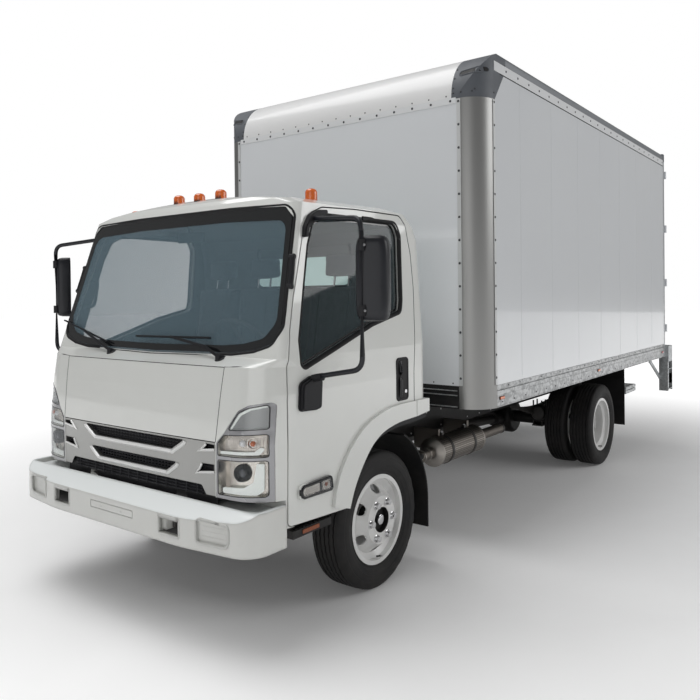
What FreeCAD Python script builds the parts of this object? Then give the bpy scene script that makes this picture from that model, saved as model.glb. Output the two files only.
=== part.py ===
import FreeCAD, Part
import math
import os

Vector = FreeCAD.Vector

# All sizes are millimetres. The builder functions work with X forward from the front axle,
# Y to the left of the centre plane and Z up from the ground.

# General clearances and thicknesses
FIT = 0.3
SHUT_GAP = 7.0
SWING_CLEARANCE = 9
OVERCUT = 1
LEAST_ROUND = 2
TINY = 0.001
FULL_TURN = 360

# Running gear
WHEELBASE = 3810
TYRE_RADIUS = 404
TYRE_WIDTH = 225
TREAD_HALF = 88
SHOULDER_DROP = 16
BEAD_RADIUS = 248
BEAD_HALF = 76
BULGE_RADIUS = 338
RIM_FLANGE_RADIUS = 263
RIM_FLANGE_WIDTH = 14
RIM_WELL_RADIUS = 212
RIM_WELL_HALF = 40
RIM_SKIN = 9
DISC_SKIN = 12
FRONT_TRACK = 1665
REAR_TRACK = 1650
TWIN_SPACING = 255
FRONT_DISC_OUTSET = 112
DISC_FLAT_RADIUS = 140
HAND_HOLES = 6
HAND_HOLE_CIRCLE = 176
HAND_HOLE_RADIUS = 24
HAND_HOLE_STRETCH = 20
LUGS = 6
LUG_CIRCLE = 111
LUG_RADIUS = 17
LUG_LENGTH = 24
HUB_RADIUS = 76
HUB_FLANGE_RADIUS = 92
HUB_OPENING_RADIUS = 74
HUB_SINK = 36
HUB_FLOOR_SKIN = 10
HUB_CAP_RADIUS = 30
HUB_CAP_LENGTH = 30
HUB_BORE = 30
REAR_HUB_LENGTH = 96
LEAST_RING = 9

KINGPIN_Y = 690
KINGPIN_RADIUS = 17
KINGPIN_EYE_RADIUS = 36
KINGPIN_EYE_HALF = 62
KNUCKLE_EAR = 34
SPINDLE_RADIUS = 29.7
SPINDLE_INNER_Y = 742
SPINDLE_END_CLEARANCE = 12
DRUM_RADIUS = 165
DRUM_DEPTH = 74
STEERING_ARM_LENGTH = 130
STEERING_ARM_WIDTH = 34
STEERING_ARM_THICKNESS = 20

BEAM_HALF_WIDTH = 38
BEAM_HEIGHT = 76
BEAM_DROP = 30
BEAM_WEB = 14
BEAM_FLANGE = 16
BEAM_PAD_HALF = 70

# Ladder frame
RAIL_OUTER_Y = 425
RAIL_WIDTH = 70
RAIL_SKIN = 7
RAIL_Z = (645, 825)
RAIL_FRONT_X = 990
RAIL_REAR_X = -5640
CROSSMEMBER_X = (880, 470, -620, -1700, -2750, -4500, -5380)
CROSSMEMBER_LENGTH = 60
TILT_PIVOT = (1000, 765)
TILT_PIN_RADIUS = 12
TILT_EYE_RADIUS = 25
TILT_EYE_WIDTH = 24
TILT_PIN_TIP_Y = 462
TILT_ARM_LENGTH = 70

SPRING_Y = 390
SPRING_WIDTH = 70
FRONT_SPRING_HALF = 600
FRONT_SPRING_LEAVES = 3
REAR_SPRING_HALF = 650
REAR_SPRING_LEAVES = 5
LEAF_THICKNESS = 14
LEAF_STEP = 95
LEAF_RISE = 70
SPRING_EYE_RADIUS = 26
SPRING_HANGER_LENGTH = 60

REAR_TUBE_RADIUS = 62
REAR_AXLE_END_Y = 560
DIFF_RADIUS = 178
DIFF_HALF = 120
DIFF_NOSE_LENGTH = 330
DIFF_NOSE_RADIUS = 70
DIFF_ROUND = 40
PROP_RADIUS = 45
PROP_FRONT_X = -1330
PROP_FRONT_Z = 520

ENGINE_X = (-420, 380)
ENGINE_HALF_WIDTH = 300
ENGINE_Z = (470, 940)
GEARBOX_X = (-1330, -420)
GEARBOX_HALF_WIDTH = 170
GEARBOX_Z = (400, 640)
RADIATOR_X = (570, 680)
RADIATOR_HALF_WIDTH = 335
RADIATOR_Z = (500, 845)

MUFFLER_X = (-1790, -1120)
MUFFLER_Y = 640
MUFFLER_Z = 560
MUFFLER_RADIUS = 105
EXHAUST_PIPE_RADIUS = 42
EXHAUST_INLET_X = -860
EXHAUST_TAIL_X = -2300
TANK_X = (-2350, -1250)
TANK_Y = (470, 900)
TANK_Z = (440, 800)
TANK_ROUND = 60
TANK_STRAP_X = (-2100, -1500)
TANK_STRAP_WIDTH = 50
TANK_STRAP_SKIN = 5
BATTERY_X = (-1180, -720)
BATTERY_Y = (470, 860)
BATTERY_Z = (520, 800)

GUARD_RADIUS = 520
GUARD_SKIN = 12
GUARD_Y = (600, 950)
GUARD_ANGLES = (118, 180)
FRONT_FLAP_FOOT_Z = 225
GUARD_STAY_RADIUS = 16
FLAP_X = -4560
FLAP_THICKNESS = 10
FLAP_Y = (590, 1060)
FLAP_Z = (285, 940)

# Front bumper
BUMPER_HALF_WIDTH = 1000
BUMPER_FACE_X = 1195
BUMPER_REAR_X = 1080
BUMPER_SWEEP_Y = 560
BUMPER_FACE_ROUND = 900
BUMPER_CORNER_SETBACK = 55
BUMPER_CORNER_ROUND = 130
BUMPER_SKIN = 30
BUMPER_TOP_Z = 715
BUMPER_CREASE_Z = 650
BUMPER_BOTTOM_Z = 510
BUMPER_SHELF_Y = 590
BUMPER_SHELF_Z = (664, 690)
BUMPER_LIP = 22
BUMPER_STAY_Z = (560, 635)
TOW_HOLE_Y = (402, 552)
TOW_HOLE_Z = (553, 640)
FOG_RECESS_Y = (672, 862)
FOG_RECESS_Z = (555, 655)
FOG_RECESS_DEPTH = 12
PLATE_HOLE_SPACING = 177.8
PLATE_HOLE_RADIUS = 3.5
PLATE_HOLE_Z = 600

# Cab
CAB_HALF_WIDTH = 1000
CAB_FRONT_X = 1062
CAB_REAR_X = -455
CAB_FRONT_CROWN = 14
CAB_SECTIONS = (
    # height, front, rear, half width at the front, half width at the rear, corner radius front, rear
    (583, 1062, -455, 1000, 1000, 230, 80),
    (1010, 1062, -455, 1000, 1000, 230, 80),
    (1250, 1035, -455, 1000, 1000, 225, 80),
    (1385, 1014, -455, 988, 1000, 215, 80),
    (1425, 905, -455, 984, 1000, 48, 80),
    (2229, 671, -310, 897, 965, 60, 100),
    (2262, 652, -215, 810, 878, 100, 115),
    (2286, 632, -140, 660, 735, 140, 130),
    (2304, 604, -70, 460, 540, 150, 140),
    (2319, 562, 10, 270, 345, 140, 130),
    (2326, 500, 110, 130, 190, 100, 100),
)
CROWNED_SECTIONS = 4
GLASS_FOOT_ROW = 4
REAR_TOP_CURVE = ((2080, -446), (2160, -404))
ROOF_SECTIONS = 6
CAB_WALL = 45
CAB_SKIN = 28
CAB_ROOM = 1200
PANEL_BOTTOM_Z = 738
PANEL_STEP_X = 889
BUMPER_END_X = PANEL_STEP_X + SHUT_GAP
SILL_Z = 597
ARCH_EDGE = (
    (407, 583), (363, 686, 480), (290, 788, 850), (200, 883, 390), (92, 944, 370), (-70, 977, 900),
    (-283, 984), (-470, 998),
)
ARCH_LIP = (
    (396, 583), (349, 676, 480), (275, 772, 850), (185, 858, 390), (82, 911, 370), (-70, 940, 900),
    (-286, 946), (-470, 958),
)
ARCH_LIP_Y = (915, 992)
ARCH_LIP_FOOT_Z = 600
WHEELHOUSE = ((440, 760), (360, 870), (250, 945), (92, 985))
WHEELHOUSE_HALF_WIDTH = 938
FLOOR_UNDER_Z = 985
TUNNEL_HALF_WIDTH = 455
TUNNEL_UNDER_Z = 872
FLOOR_SKIN = 36
FOOTWELL_REAR_X = 480

WINDSHIELD = ((905, 1492, 60), (948, 1570, 60), (884, 2145, 50), (820, 2206, 40), (400, 2224))
WINDSHIELD_FOOT = ((790, 1455), (640, 1436), (0, 1426))
WINDSHIELD_HEAD_Z = 2227
WINDSHIELD_DEPTH = 75
GLASS_FLANGE = 26
GLASS_SKIN = 6
GLASS_INSET = 8
SIDE_ZONE_MARGIN = 6

FRONT_PANEL_HALF = 668
FRONT_PANEL_Z = (1012, 1382)
FRONT_PANEL_TOP_HALF = 688
GRILLE_Z = (742, 1010)
LAMP = ((672, 738), (672, 1009, 30), (722, 1060), (806, 1176, 30), (860, 1204, 40), (966, 1222, 20),
        (966, 738))
LAMP_DEPTH = 80
LAMP_REAR_X = 886
LAMP_TIERS = ((752, 926), (948, 1054), (1076, 1214))
LAMP_BEZEL = 13
LAMP_RECESS = 7
GRILLE_UPPER = ((430, 1001), (328, 914))
GRILLE_LOWER = ((383, 872), (292, 792))
GRILLE_SIDE_UPPER = ((545, 998), (660, 998), (600, 950))
GRILLE_SIDE_LOWER = ((520, 892), (656, 892), (592, 838), (532, 838))
GRILLE_ROUND = 10

DOOR_REAR_X = -286
DOOR = (
    (877, 606, 20), (866, 1224), (852, 1400), (818, 1567), (773, 1717), (701, 1917), (645, 2074),
    (588, 2166, 80),
    (487, 2208, 60), (224, 2218), (-190, 2214, 60), (-257, 2160, 60), (-298, 1990), (-314, 1781),
    (-305, 1496),
    (DOOR_REAR_X, 1261), (DOOR_REAR_X, 984, 10),
) + tuple(reversed(ARCH_EDGE[:-2]))
DOOR_SKIN = 56
DOOR_WINDOW = (
    (757, 1362, 30), (758, 1510), (682, 1789), (624, 1995), (563, 2125, 60), (470, 2170, 40),
    (-150, 2170, 60),
    (-197, 2100), (-195, 2009), (-181, 1702), (-165, 1631, 40), (125, 1567), (439, 1464),
)
DOOR_HINGE = (870, 995)
DOOR_OPEN_DEGREES = 75
DOOR_HANDLE_X = (-215, -95)
DOOR_HANDLE_Z = (1110, 1340)
DOOR_HANDLE_DEPTH = 26
DOOR_HANDLE_BAR = 22
FLARE_OUTER = (
    (537, 622), (514, 745, 320), (415, 887, 520), (260, 1009, 480), (40, 1071, 700), (-123, 1082, 900),
    (DOOR_REAR_X, 1080),
)
FLARE_PROUD = 20
FLARE_REAR_X = -440
FLARE_REAR_Z = (998, 1078)
TURN_LAMP_X = (556, 806)
TURN_LAMP_Z = (722, 793)
TURN_LAMP_PROUD = 14

MIRROR_ARM = ((706, 1012, 1322), (706, 1327, 1378), (706, 1327, 2105), (575, 925, 2142))
MIRROR_ARM_RADIUS = 13
MIRROR_ARM_BEND = 55
MIRROR_BASE = ((806, 1158, 20), (645, 1150, 20), (633, 1312, 20), (707, 1330, 30), (795, 1298, 30))
MIRROR_BASE_PROUD = 34
MIRROR_BRACKET = ((664, 2040, 8), (652, 2094), (606, 2160, 40), (548, 2186, 40), (470, 2192, 8),
                  (470, 2172, 8), (545, 2160, 30), (580, 2136, 30), (622, 2086), (634, 2040, 8))
MIRROR_BRACKET_PROUD = 26
MIRROR_STAY = ((596, 2146), (-15, 2187))
MIRROR_STAY_OFF = 16
MIRROR_STAY_RADIUS = 11
MIRROR_STAY_GRIP = 150
MIRROR_STAY_GRIP_RADIUS = 15
MIRROR_HEAD = (642, 1347)
MIRROR_HEAD_Z = (1607, 2026)
MIRROR_HEAD_WIDTH = 168
MIRROR_HEAD_DEPTH = 96
MIRROR_HEAD_TURN = 27
MIRROR_HEAD_ROUND = 36
MIRROR_HEAD_EDGE = 8

WIPERS = (
    # pivot, elbow and end of the arm, then the tip of the blade, each as (y, z) on the glass
    ((-350, 1412), (-501, 1463), (-690, 1527), (-949, 1588)),
    ((586, 1412), (465, 1463), (150, 1510), (-163, 1507)),
)
WIPER_PIVOT_RADIUS = 16
WIPER_ARM = (15, 8)
WIPER_STAND_OFF = 32
WIPER_BLADE = (9, 17)
WIPER_BLADE_OFF = 5
WIPER_TIP_OFF = 18

ROOF_LAMP_Y = (-188, 0, 188)
ROOF_LAMP_X = 545
ROOF_LAMP_SIDE = (425, 785)
ROOF_LAMP_RADIUS = 34
ROOF_LAMP_HEIGHT = 44
ROOF_LAMP_COLLAR = 12
ROOF_LAMP_SINK = 30

DASH_X = (700, 950)
DASH_HALF_WIDTH = 880
DASH_Z = (1130, 1400)
DASH_ROUND = 60
WHEEL_HUB = (640, 480, 1430)
WHEEL_RADIUS = 215
WHEEL_GRIP = 14
WHEEL_TILT = 35
COLUMN_RADIUS = 30
WHEEL_BOSS_RADIUS = 48
WHEEL_SPOKE_RADIUS = 11
WHEEL_SPOKES = (0, 120, 240)
COLUMN_LENGTH = 250
SEAT_X = (-20, 470)
SEAT_DRIVER_Y = (270, 780)
SEAT_PASSENGER_Y = (-800, 60)
SEAT_CUSHION_Z = (1130, 1270)
SEAT_BASE_SHRINK = 40
SEAT_BACK_X = (-180, -20)
SEAT_BACK_TOP_Z = 1830
SEAT_BACK_LEAN = 110
SEAT_ROUND = 36
HEADREST_Z = (1850, 2010)
HEADREST_HALF = 130
HEADREST_POST = 9

STEP_X = (505, 811)
STEP_Y = (800, 965)
STEP_Z = (516, 556)
STEP_HANGER_WIDTH = 30

# Cargo body
BODY_FRONT_X = -820
BODY_REAR_X = -5705
BODY_HALF_WIDTH = 1219
BODY_SILL_Z = 957
SILL_RAIL_HEIGHT = 155
BODY_FLOOR_Z = BODY_SILL_Z + SILL_RAIL_HEIGHT
BODY_TOP_Z = 3392
BODY_WALL = 40
CORNER_RADIUS = 190
NOSE_RADIUS = 325
ROOF_EDGE_RADIUS = 36
POST_LEG = 190
POST_TOP_DROP = 335
POST_TOP_Z = BODY_TOP_Z - POST_TOP_DROP
CAP_LEG_X = 365
CAP_LEG_Y = 229
CAP_INNER_Y = BODY_HALF_WIDTH - CAP_LEG_Y
TOP_RAIL_HEIGHT = 104
TOP_RAIL_Z = BODY_TOP_Z - TOP_RAIL_HEIGHT
TOP_RAIL_LEG = 70
NOSE_FOOT_DROP = 326
NOSE_FOOT_Z = BODY_TOP_Z - NOSE_FOOT_DROP
NOSE_BACK_X = BODY_FRONT_X - NOSE_RADIUS
REAR_FRAME_LENGTH = 66
FLOOR_THICKNESS = 36
DECK_RISE = 6
FLOOR_BEAM_X = (-1300, -2100, -2900, -3500, -4100, -4700, -5255)
FLOOR_BEAM_LENGTH = 60
LONG_SILL_Y = (350, 420)
SILL_LEDGE = 9
SILL_LEDGE_RISE = 113
SILL_LEDGE_WIDTH = 12
SILL_LEDGE_Z = (BODY_SILL_Z + SILL_LEDGE_RISE, BODY_SILL_Z + SILL_LEDGE_RISE + SILL_LEDGE_WIDTH)
REAR_JAMB = 107
REAR_OPENING_HALF = BODY_HALF_WIDTH - REAR_JAMB
REAR_HEADER = 152
REAR_OPENING_TOP = BODY_TOP_Z - REAR_HEADER
REAR_LAMP_Y = (840, 1060)
REAR_LAMP_Z = (990, 1062)
REAR_LAMP_PROUD = 16
REAR_LAMP_ROUND = 20
MARKER_LAMP_INSET = 99
MARKER_LAMP_SPACING = 180
MARKER_LAMP_DROP = 46
MARKER_LAMP_Z = BODY_TOP_Z - MARKER_LAMP_DROP
MARKER_LAMP_RADIUS = 30

CARGO_DOOR_GAP = 4
CARGO_DOOR_INSET = 23
CARGO_DOOR_HALF = BODY_HALF_WIDTH - CARGO_DOOR_INSET
CARGO_DOOR_RISE = 14
CARGO_DOOR_DROP = 92
CARGO_DOOR_Z = (BODY_FLOOR_Z + CARGO_DOOR_RISE, BODY_TOP_Z - CARGO_DOOR_DROP)
CARGO_DOOR_THICKNESS = 40
CARGO_HINGE_OUT = 5
CARGO_HINGE_BACK = 47
CARGO_HINGE_X = BODY_REAR_X - CARGO_HINGE_BACK
CARGO_HINGE_Y = BODY_HALF_WIDTH + CARGO_HINGE_OUT
CARGO_HINGE_RADIUS = 9
CARGO_HINGE_SHARES = (0.08, 0.333, 0.632, 0.931)
CARGO_HINGE_LENGTH = 90
CARGO_STRAP_LENGTH = 260
CARGO_STRAP_THICKNESS = 6
LOCK_BAR_Y = 260
LOCK_BAR_RADIUS = 14
LOCK_BAR_STAND_OFF = 8
LOCK_HANDLE_Z = 1480
LOCK_HANDLE_LENGTH = 340

# Lift and rear steps
LIFT_X = (-5600, -5180)
LIFT_HALF_WIDTH = 900
LIFT_Z = (536, 572)
LIFT_LEAVES = 2
LIFT_LEAF_GAP = 8
LIFT_TUBE_X = -5080
LIFT_TUBE_Z = 584
LIFT_TUBE_RADIUS = 55
LIFT_ARM_Y = (330, 400)
LIFT_BRACKET_X = (-5130, -5000)
STEP_POST_X = (-5900, BODY_REAR_X - FIT)
STEP_POST_INSET = 73
STEP_POST_PROUD = 36
STEP_POST_Y = (BODY_HALF_WIDTH - STEP_POST_INSET, BODY_HALF_WIDTH + STEP_POST_PROUD)
STEP_POST_Z = (540, 1085)
STEP_POST_SKIN = 8
STEP_RUNGS_Z = (560, 800, 1040)
STEP_BRACE = ((-5249, 935), (-5720, 690))
STEP_BRACE_WIDTH = 42


# Shape helpers
def block(x, y, z):
    """Box between three (low, high) spans."""
    return Part.makeBox(x[1] - x[0], y[1] - y[0], z[1] - z[0], Vector(x[0], y[0], z[0]))


def corner_arc(before, here, after, radius):
    """Start, middle and end of the arc that rounds one corner of an outline."""
    back = (before - here).normalize()
    ahead = (after - here).normalize()
    half = back.getAngle(ahead) / 2
    reach = radius / math.tan(half)
    middle = here + (back + ahead).normalize() * (radius / math.sin(half) - radius)
    return here + back * reach, middle, here + ahead * reach


def rounded_wire(points, place):
    """Closed wire through (a, b) points, a third number being the radius of that corner."""
    flat = [Vector(p[0], p[1], 0) for p in points]
    spots = []
    for i, here in enumerate(flat):
        if len(points[i]) > 2 and points[i][2] > 0:
            after = flat[(i + 1) % len(flat)]
            spots.append(corner_arc(flat[i - 1], here, after, points[i][2]))
        else:
            spots.append((here, here, here))
    edges = []
    for i, (start, middle, end) in enumerate(spots):
        if start.distanceToPoint(end) > TINY:
            edges.append(Part.Arc(place(start), place(middle), place(end)).toShape())
        following = spots[(i + 1) % len(spots)][0]
        if end.distanceToPoint(following) > TINY:
            edges.append(Part.makeLine(place(end), place(following)))
    return Part.Wire(edges)


def side_prism(points, y):
    """XZ outline drawn across the span y."""
    wire = rounded_wire(points, lambda p: Vector(p.x, y[0], p.y))
    return Part.Face(wire).extrude(Vector(0, y[1] - y[0], 0))


def front_prism(points, x):
    """YZ outline drawn along the span x."""
    wire = rounded_wire(points, lambda p: Vector(x[0], p.x, p.y))
    return Part.Face(wire).extrude(Vector(x[1] - x[0], 0, 0))


def plan_prism(points, z):
    """XY outline drawn up the span z."""
    wire = rounded_wire(points, lambda p: Vector(p.x, p.y, z[0]))
    return Part.Face(wire).extrude(Vector(0, 0, z[1] - z[0]))


def turned(profile, centre):
    """(radius, y) outline turned about the cross line through centre = (x, z)."""
    wire = rounded_wire(profile, lambda p: Vector(centre[0], p.y, centre[1] + p.x))
    return Part.Face(wire).revolve(Vector(centre[0], 0, centre[1]), Vector(0, 1, 0), FULL_TURN)


def rod(start, end, radius):
    """Round bar between two points."""
    start, end = Vector(*start), Vector(*end)
    return Part.makeCylinder(radius, (end - start).Length, start, end - start)


def bent_tube(points, radius, bend):
    """Round bar along a path whose inner corners are bent to one radius."""
    spots = [Vector(*p) for p in points]
    edges, last = [], spots[0]
    for i in range(1, len(spots) - 1):
        start, middle, end = corner_arc(spots[i - 1], spots[i], spots[i + 1], bend)
        edges += [Part.makeLine(last, start), Part.Arc(start, middle, end).toShape()]
        last = end
    edges.append(Part.makeLine(last, spots[-1]))
    circle = Part.Wire(Part.makeCircle(radius, spots[0], spots[1] - spots[0]))
    return Part.Wire(edges).makePipeShell([circle], True, True)


def joined(*shapes):
    """One solid out of shapes that touch or overlap."""
    return shapes[0].multiFuse(list(shapes[1:])).removeSplitter()


def mirrored(shape):
    """The same shape on the other side of the centre plane."""
    return shape.mirror(Vector(0, 0, 0), Vector(0, 1, 0))


def both(shape):
    """A left shape together with its right twin."""
    return Part.makeCompound([shape, mirrored(shape)])


def span(middle, half):
    """(low, high) about a middle."""
    return middle - half, middle + half


def dome(x, y, z, radius, collar, height):
    """Round lamp: a collar up from z with a domed top."""
    profile = [(0, 0), (radius, 0), (radius, collar), (radius, height, radius * math.sqrt(0.5)), (0, height)]
    wire = rounded_wire(profile, lambda p: Vector(x + p.x, y, z + p.y))
    return Part.Face(wire).revolve(Vector(x, y, z), Vector(0, 0, 1), FULL_TURN)


def grown(points, amount):
    """Outline moved outwards by an amount, corner by corner, its radii kept."""
    count = len(points)
    area = sum(points[i - 1][0] * points[i][1] - points[i][0] * points[i - 1][1] for i in range(count))
    side = 1 if area > 0 else -1
    result = []
    for i, point in enumerate(points):
        here = Vector(point[0], point[1], 0)
        back = Vector(*points[i - 1][:2], 0)
        ahead = Vector(*points[(i + 1) % count][:2], 0)
        first = (here - back).normalize()
        second = (ahead - here).normalize()
        normals = [Vector(v.y, -v.x, 0) * side for v in (first, second)]
        middle = (normals[0] + normals[1]).normalize()
        moved = here + middle * (amount / max(middle.dot(normals[0]), TINY))
        result.append((moved.x, moved.y) + tuple(max(r + amount, 0) if r else 0 for r in point[2:]))
    return result


# Wheels
def tyre(y, x):
    """One tyre with its middle plane at y."""
    half = TYRE_WIDTH / 2
    right = [
        (BEAD_RADIUS, BEAD_HALF), (RIM_FLANGE_RADIUS + FIT, BEAD_HALF), (BULGE_RADIUS, half),
        (TYRE_RADIUS - SHOULDER_DROP * 2, half - SHOULDER_DROP / 2),
        (TYRE_RADIUS - SHOULDER_DROP / 2, TREAD_HALF),
        (TYRE_RADIUS, TREAD_HALF / 2),
    ]
    profile = [(r, y + w) for r, w in right] + [(r, y - w) for r, w in reversed(right)]
    return turned(profile, (x, TYRE_RADIUS))


def rim(y, x, disc_y, bore):
    """Rim barrel with its middle plane at y and a disc at disc_y, open in the middle."""
    seat = BEAD_RADIUS - FIT
    inner = RIM_WELL_RADIUS - RIM_SKIN
    flange = BEAD_HALF + FIT
    edge = flange + RIM_FLANGE_WIDTH
    outside = [
        (RIM_FLANGE_RADIUS, edge), (RIM_FLANGE_RADIUS, flange), (seat, flange),
        (seat, RIM_WELL_HALF + RIM_SKIN * 2), (RIM_WELL_RADIUS, RIM_WELL_HALF),
    ]
    inside = [
        (inner, RIM_WELL_HALF), (seat - RIM_SKIN, RIM_WELL_HALF + RIM_SKIN * 2),
        (seat - RIM_SKIN, edge),
    ]
    profile = [(r, y + w) for r, w in outside] + [(r, y - w) for r, w in reversed(outside)]
    profile += [(r, y - w) for r, w in reversed(inside)] + [(r, y + w) for r, w in inside]
    barrel = turned(profile, (x, TYRE_RADIUS))
    outward = 1 if disc_y > y else -1
    root = y + outward * RIM_WELL_HALF
    disc = turned(
        [
            (bore, disc_y), (DISC_FLAT_RADIUS, disc_y), (inner + TINY, root),
            (inner + TINY, root - outward * DISC_SKIN), (DISC_FLAT_RADIUS, disc_y - outward * DISC_SKIN),
            (bore, disc_y - outward * DISC_SKIN),
        ],
        (x, TYRE_RADIUS),
    )
    holes = []
    for i in range(HAND_HOLES):
        angle = math.radians(FULL_TURN * i / HAND_HOLES)
        for push in (-HAND_HOLE_STRETCH / 2, HAND_HOLE_STRETCH / 2):
            reach = HAND_HOLE_CIRCLE
            px = x + reach * math.sin(angle) + push * math.cos(angle)
            pz = TYRE_RADIUS + reach * math.cos(angle) - push * math.sin(angle)
            holes.append(rod((px, y - TYRE_WIDTH, pz), (px, y + TYRE_WIDTH, pz), HAND_HOLE_RADIUS))
    disc = disc.cut(holes)
    return joined(barrel, disc)


def lugs(x, y, length):
    """Ring of wheel nuts standing out from y."""
    result = []
    for i in range(LUGS):
        angle = math.radians(FULL_TURN * (i + 0.5) / LUGS)
        px, pz = x + LUG_CIRCLE * math.sin(angle), TYRE_RADIUS + LUG_CIRCLE * math.cos(angle)
        result.append(rod((px, y, pz), (px, y + length, pz), LUG_RADIUS))
    return result


def hub_bore_end():
    """Where the left front hub's bore ends behind its sunk face."""
    return FRONT_TRACK / 2 + FRONT_DISC_OUTSET - HUB_SINK - HUB_FLOOR_SKIN


def front_wheel_left():
    """White front wheel with its hub, brake drum and nuts."""
    middle = FRONT_TRACK / 2
    disc_y = middle + FRONT_DISC_OUTSET
    wheel = rim(middle, 0, disc_y, HUB_OPENING_RADIUS)
    inner = SPINDLE_INNER_Y + SWING_CLEARANCE
    rear, face = disc_y - DISC_SKIN + TINY, disc_y - HUB_SINK
    bore_end = hub_bore_end()
    hub = turned([(HUB_BORE, inner), (HUB_RADIUS, inner), (HUB_RADIUS, face - HUB_FLOOR_SKIN),
                  (HUB_FLANGE_RADIUS, face - HUB_FLOOR_SKIN), (HUB_FLANGE_RADIUS, rear),
                  (HUB_OPENING_RADIUS, rear), (HUB_OPENING_RADIUS, face),
                  (HUB_CAP_RADIUS, face), (HUB_CAP_RADIUS, face + HUB_CAP_LENGTH),
                  (0, face + HUB_CAP_LENGTH), (0, bore_end), (HUB_BORE, bore_end)], (0, TYRE_RADIUS))
    drum = turned([(HUB_BORE, inner), (DRUM_RADIUS, inner), (DRUM_RADIUS, inner + DRUM_DEPTH),
                   (HUB_BORE, inner + DRUM_DEPTH)], (0, TYRE_RADIUS))
    return joined(wheel, hub, drum, *lugs(0, disc_y, LUG_LENGTH))


def rear_wheels_left():
    """Two rims back to back on one hub."""
    middle = REAR_TRACK / 2
    outer, inner = middle + TWIN_SPACING / 2, middle - TWIN_SPACING / 2
    x = -WHEELBASE
    outer_rim = rim(outer, x, middle, HUB_BORE + FIT)
    inner_rim = rim(inner, x, middle, HUB_BORE + FIT)
    hub_in = REAR_AXLE_END_Y + SWING_CLEARANCE
    hub = turned([(HUB_BORE, hub_in), (HUB_RADIUS, hub_in), (HUB_RADIUS, middle + REAR_HUB_LENGTH),
                  (0, middle + REAR_HUB_LENGTH), (0, middle), (HUB_BORE, middle)], (x, TYRE_RADIUS))
    drum = turned([(HUB_BORE, hub_in), (DRUM_RADIUS, hub_in), (DRUM_RADIUS, hub_in + DRUM_DEPTH),
                   (HUB_BORE, hub_in + DRUM_DEPTH)], (x, TYRE_RADIUS))
    return joined(outer_rim, inner_rim, hub, drum, *lugs(x, middle, LUG_LENGTH + DISC_SKIN))


def front_tyre_left():
    """Single front tyre."""
    return tyre(FRONT_TRACK / 2, 0)


def rear_tyres_left():
    """Pair of rear tyres."""
    middle = REAR_TRACK / 2
    return Part.makeCompound([tyre(middle + side * TWIN_SPACING / 2, -WHEELBASE) for side in (-1, 1)])


# Axles and steering
def knuckle_left():
    """Steering knuckle: two ears round the kingpin, stub axle and steering arm."""
    ears = []
    for side in (-1, 1):
        low = TYRE_RADIUS + side * (KINGPIN_EYE_HALF + FIT)
        ends = sorted((low, low + side * KNUCKLE_EAR))
        eye = rod((0, KINGPIN_Y, ends[0]), (0, KINGPIN_Y, ends[1]), KINGPIN_EYE_RADIUS)
        arm = block(span(0, KINGPIN_EYE_RADIUS), (KINGPIN_Y, SPINDLE_INNER_Y + TINY), ends)
        ears += [eye, arm]
    reach = KINGPIN_EYE_HALF + FIT + KNUCKLE_EAR
    web_y = (KINGPIN_Y + KINGPIN_EYE_RADIUS + FIT * 2, SPINDLE_INNER_Y)
    web = block(span(0, KINGPIN_EYE_RADIUS), (min(web_y), max(web_y)), span(TYRE_RADIUS, reach))
    pin = rod((0, KINGPIN_Y, TYRE_RADIUS - reach), (0, KINGPIN_Y, TYRE_RADIUS + reach), KINGPIN_RADIUS)
    tip = hub_bore_end() - SPINDLE_END_CLEARANCE
    spindle = rod((0, SPINDLE_INNER_Y - FIT, TYRE_RADIUS), (0, tip, TYRE_RADIUS), SPINDLE_RADIUS)
    arm_z = TYRE_RADIUS - reach
    arm = block((-STEERING_ARM_LENGTH, 0), span(KINGPIN_Y, STEERING_ARM_WIDTH / 2),
                (arm_z, arm_z + STEERING_ARM_THICKNESS))
    return joined(*ears, web, pin, spindle, arm)


def front_axle():
    """Forged beam with an eye for each kingpin and raised pads under the springs."""
    top = TYRE_RADIUS - BEAM_DROP + BEAM_HEIGHT / 2
    bottom = top - BEAM_HEIGHT
    inner = KINGPIN_Y - KINGPIN_EYE_RADIUS - SWING_CLEARANCE
    web = block(span(0, BEAM_WEB / 2), (-inner, inner), (bottom, top))
    flanges = [block(span(0, BEAM_HALF_WIDTH), (-inner, inner), z)
               for z in ((bottom, bottom + BEAM_FLANGE), (top - BEAM_FLANGE, top))]
    pieces = [web] + flanges
    for side in (-1, 1):
        y = side * KINGPIN_Y
        pieces.append(rod((0, y, TYRE_RADIUS - KINGPIN_EYE_HALF), (0, y, TYRE_RADIUS + KINGPIN_EYE_HALF),
                          KINGPIN_EYE_RADIUS))
        tongue = sorted((side * (inner - OVERCUT), y))
        pieces.append(block(span(0, KINGPIN_EYE_RADIUS - OVERCUT), tongue,
                            (TYRE_RADIUS - KINGPIN_EYE_HALF + SWING_CLEARANCE, top)))
        pieces.append(block(span(0, BEAM_PAD_HALF), span(side * SPRING_Y, SPRING_WIDTH / 2),
                            (bottom, spring_seat_z(FRONT_SPRING_LEAVES))))
    bores = [rod((0, side * KINGPIN_Y, 0), (0, side * KINGPIN_Y, TYRE_RADIUS * 2), KINGPIN_RADIUS + FIT)
             for side in (-1, 1)]
    return joined(*pieces).cut(bores)


def spring_seat_z(leaves):
    """Height of the underside of a spring at its middle."""
    return RAIL_Z[0] - LEAF_RISE - SPRING_EYE_RADIUS - leaves * LEAF_THICKNESS


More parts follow.
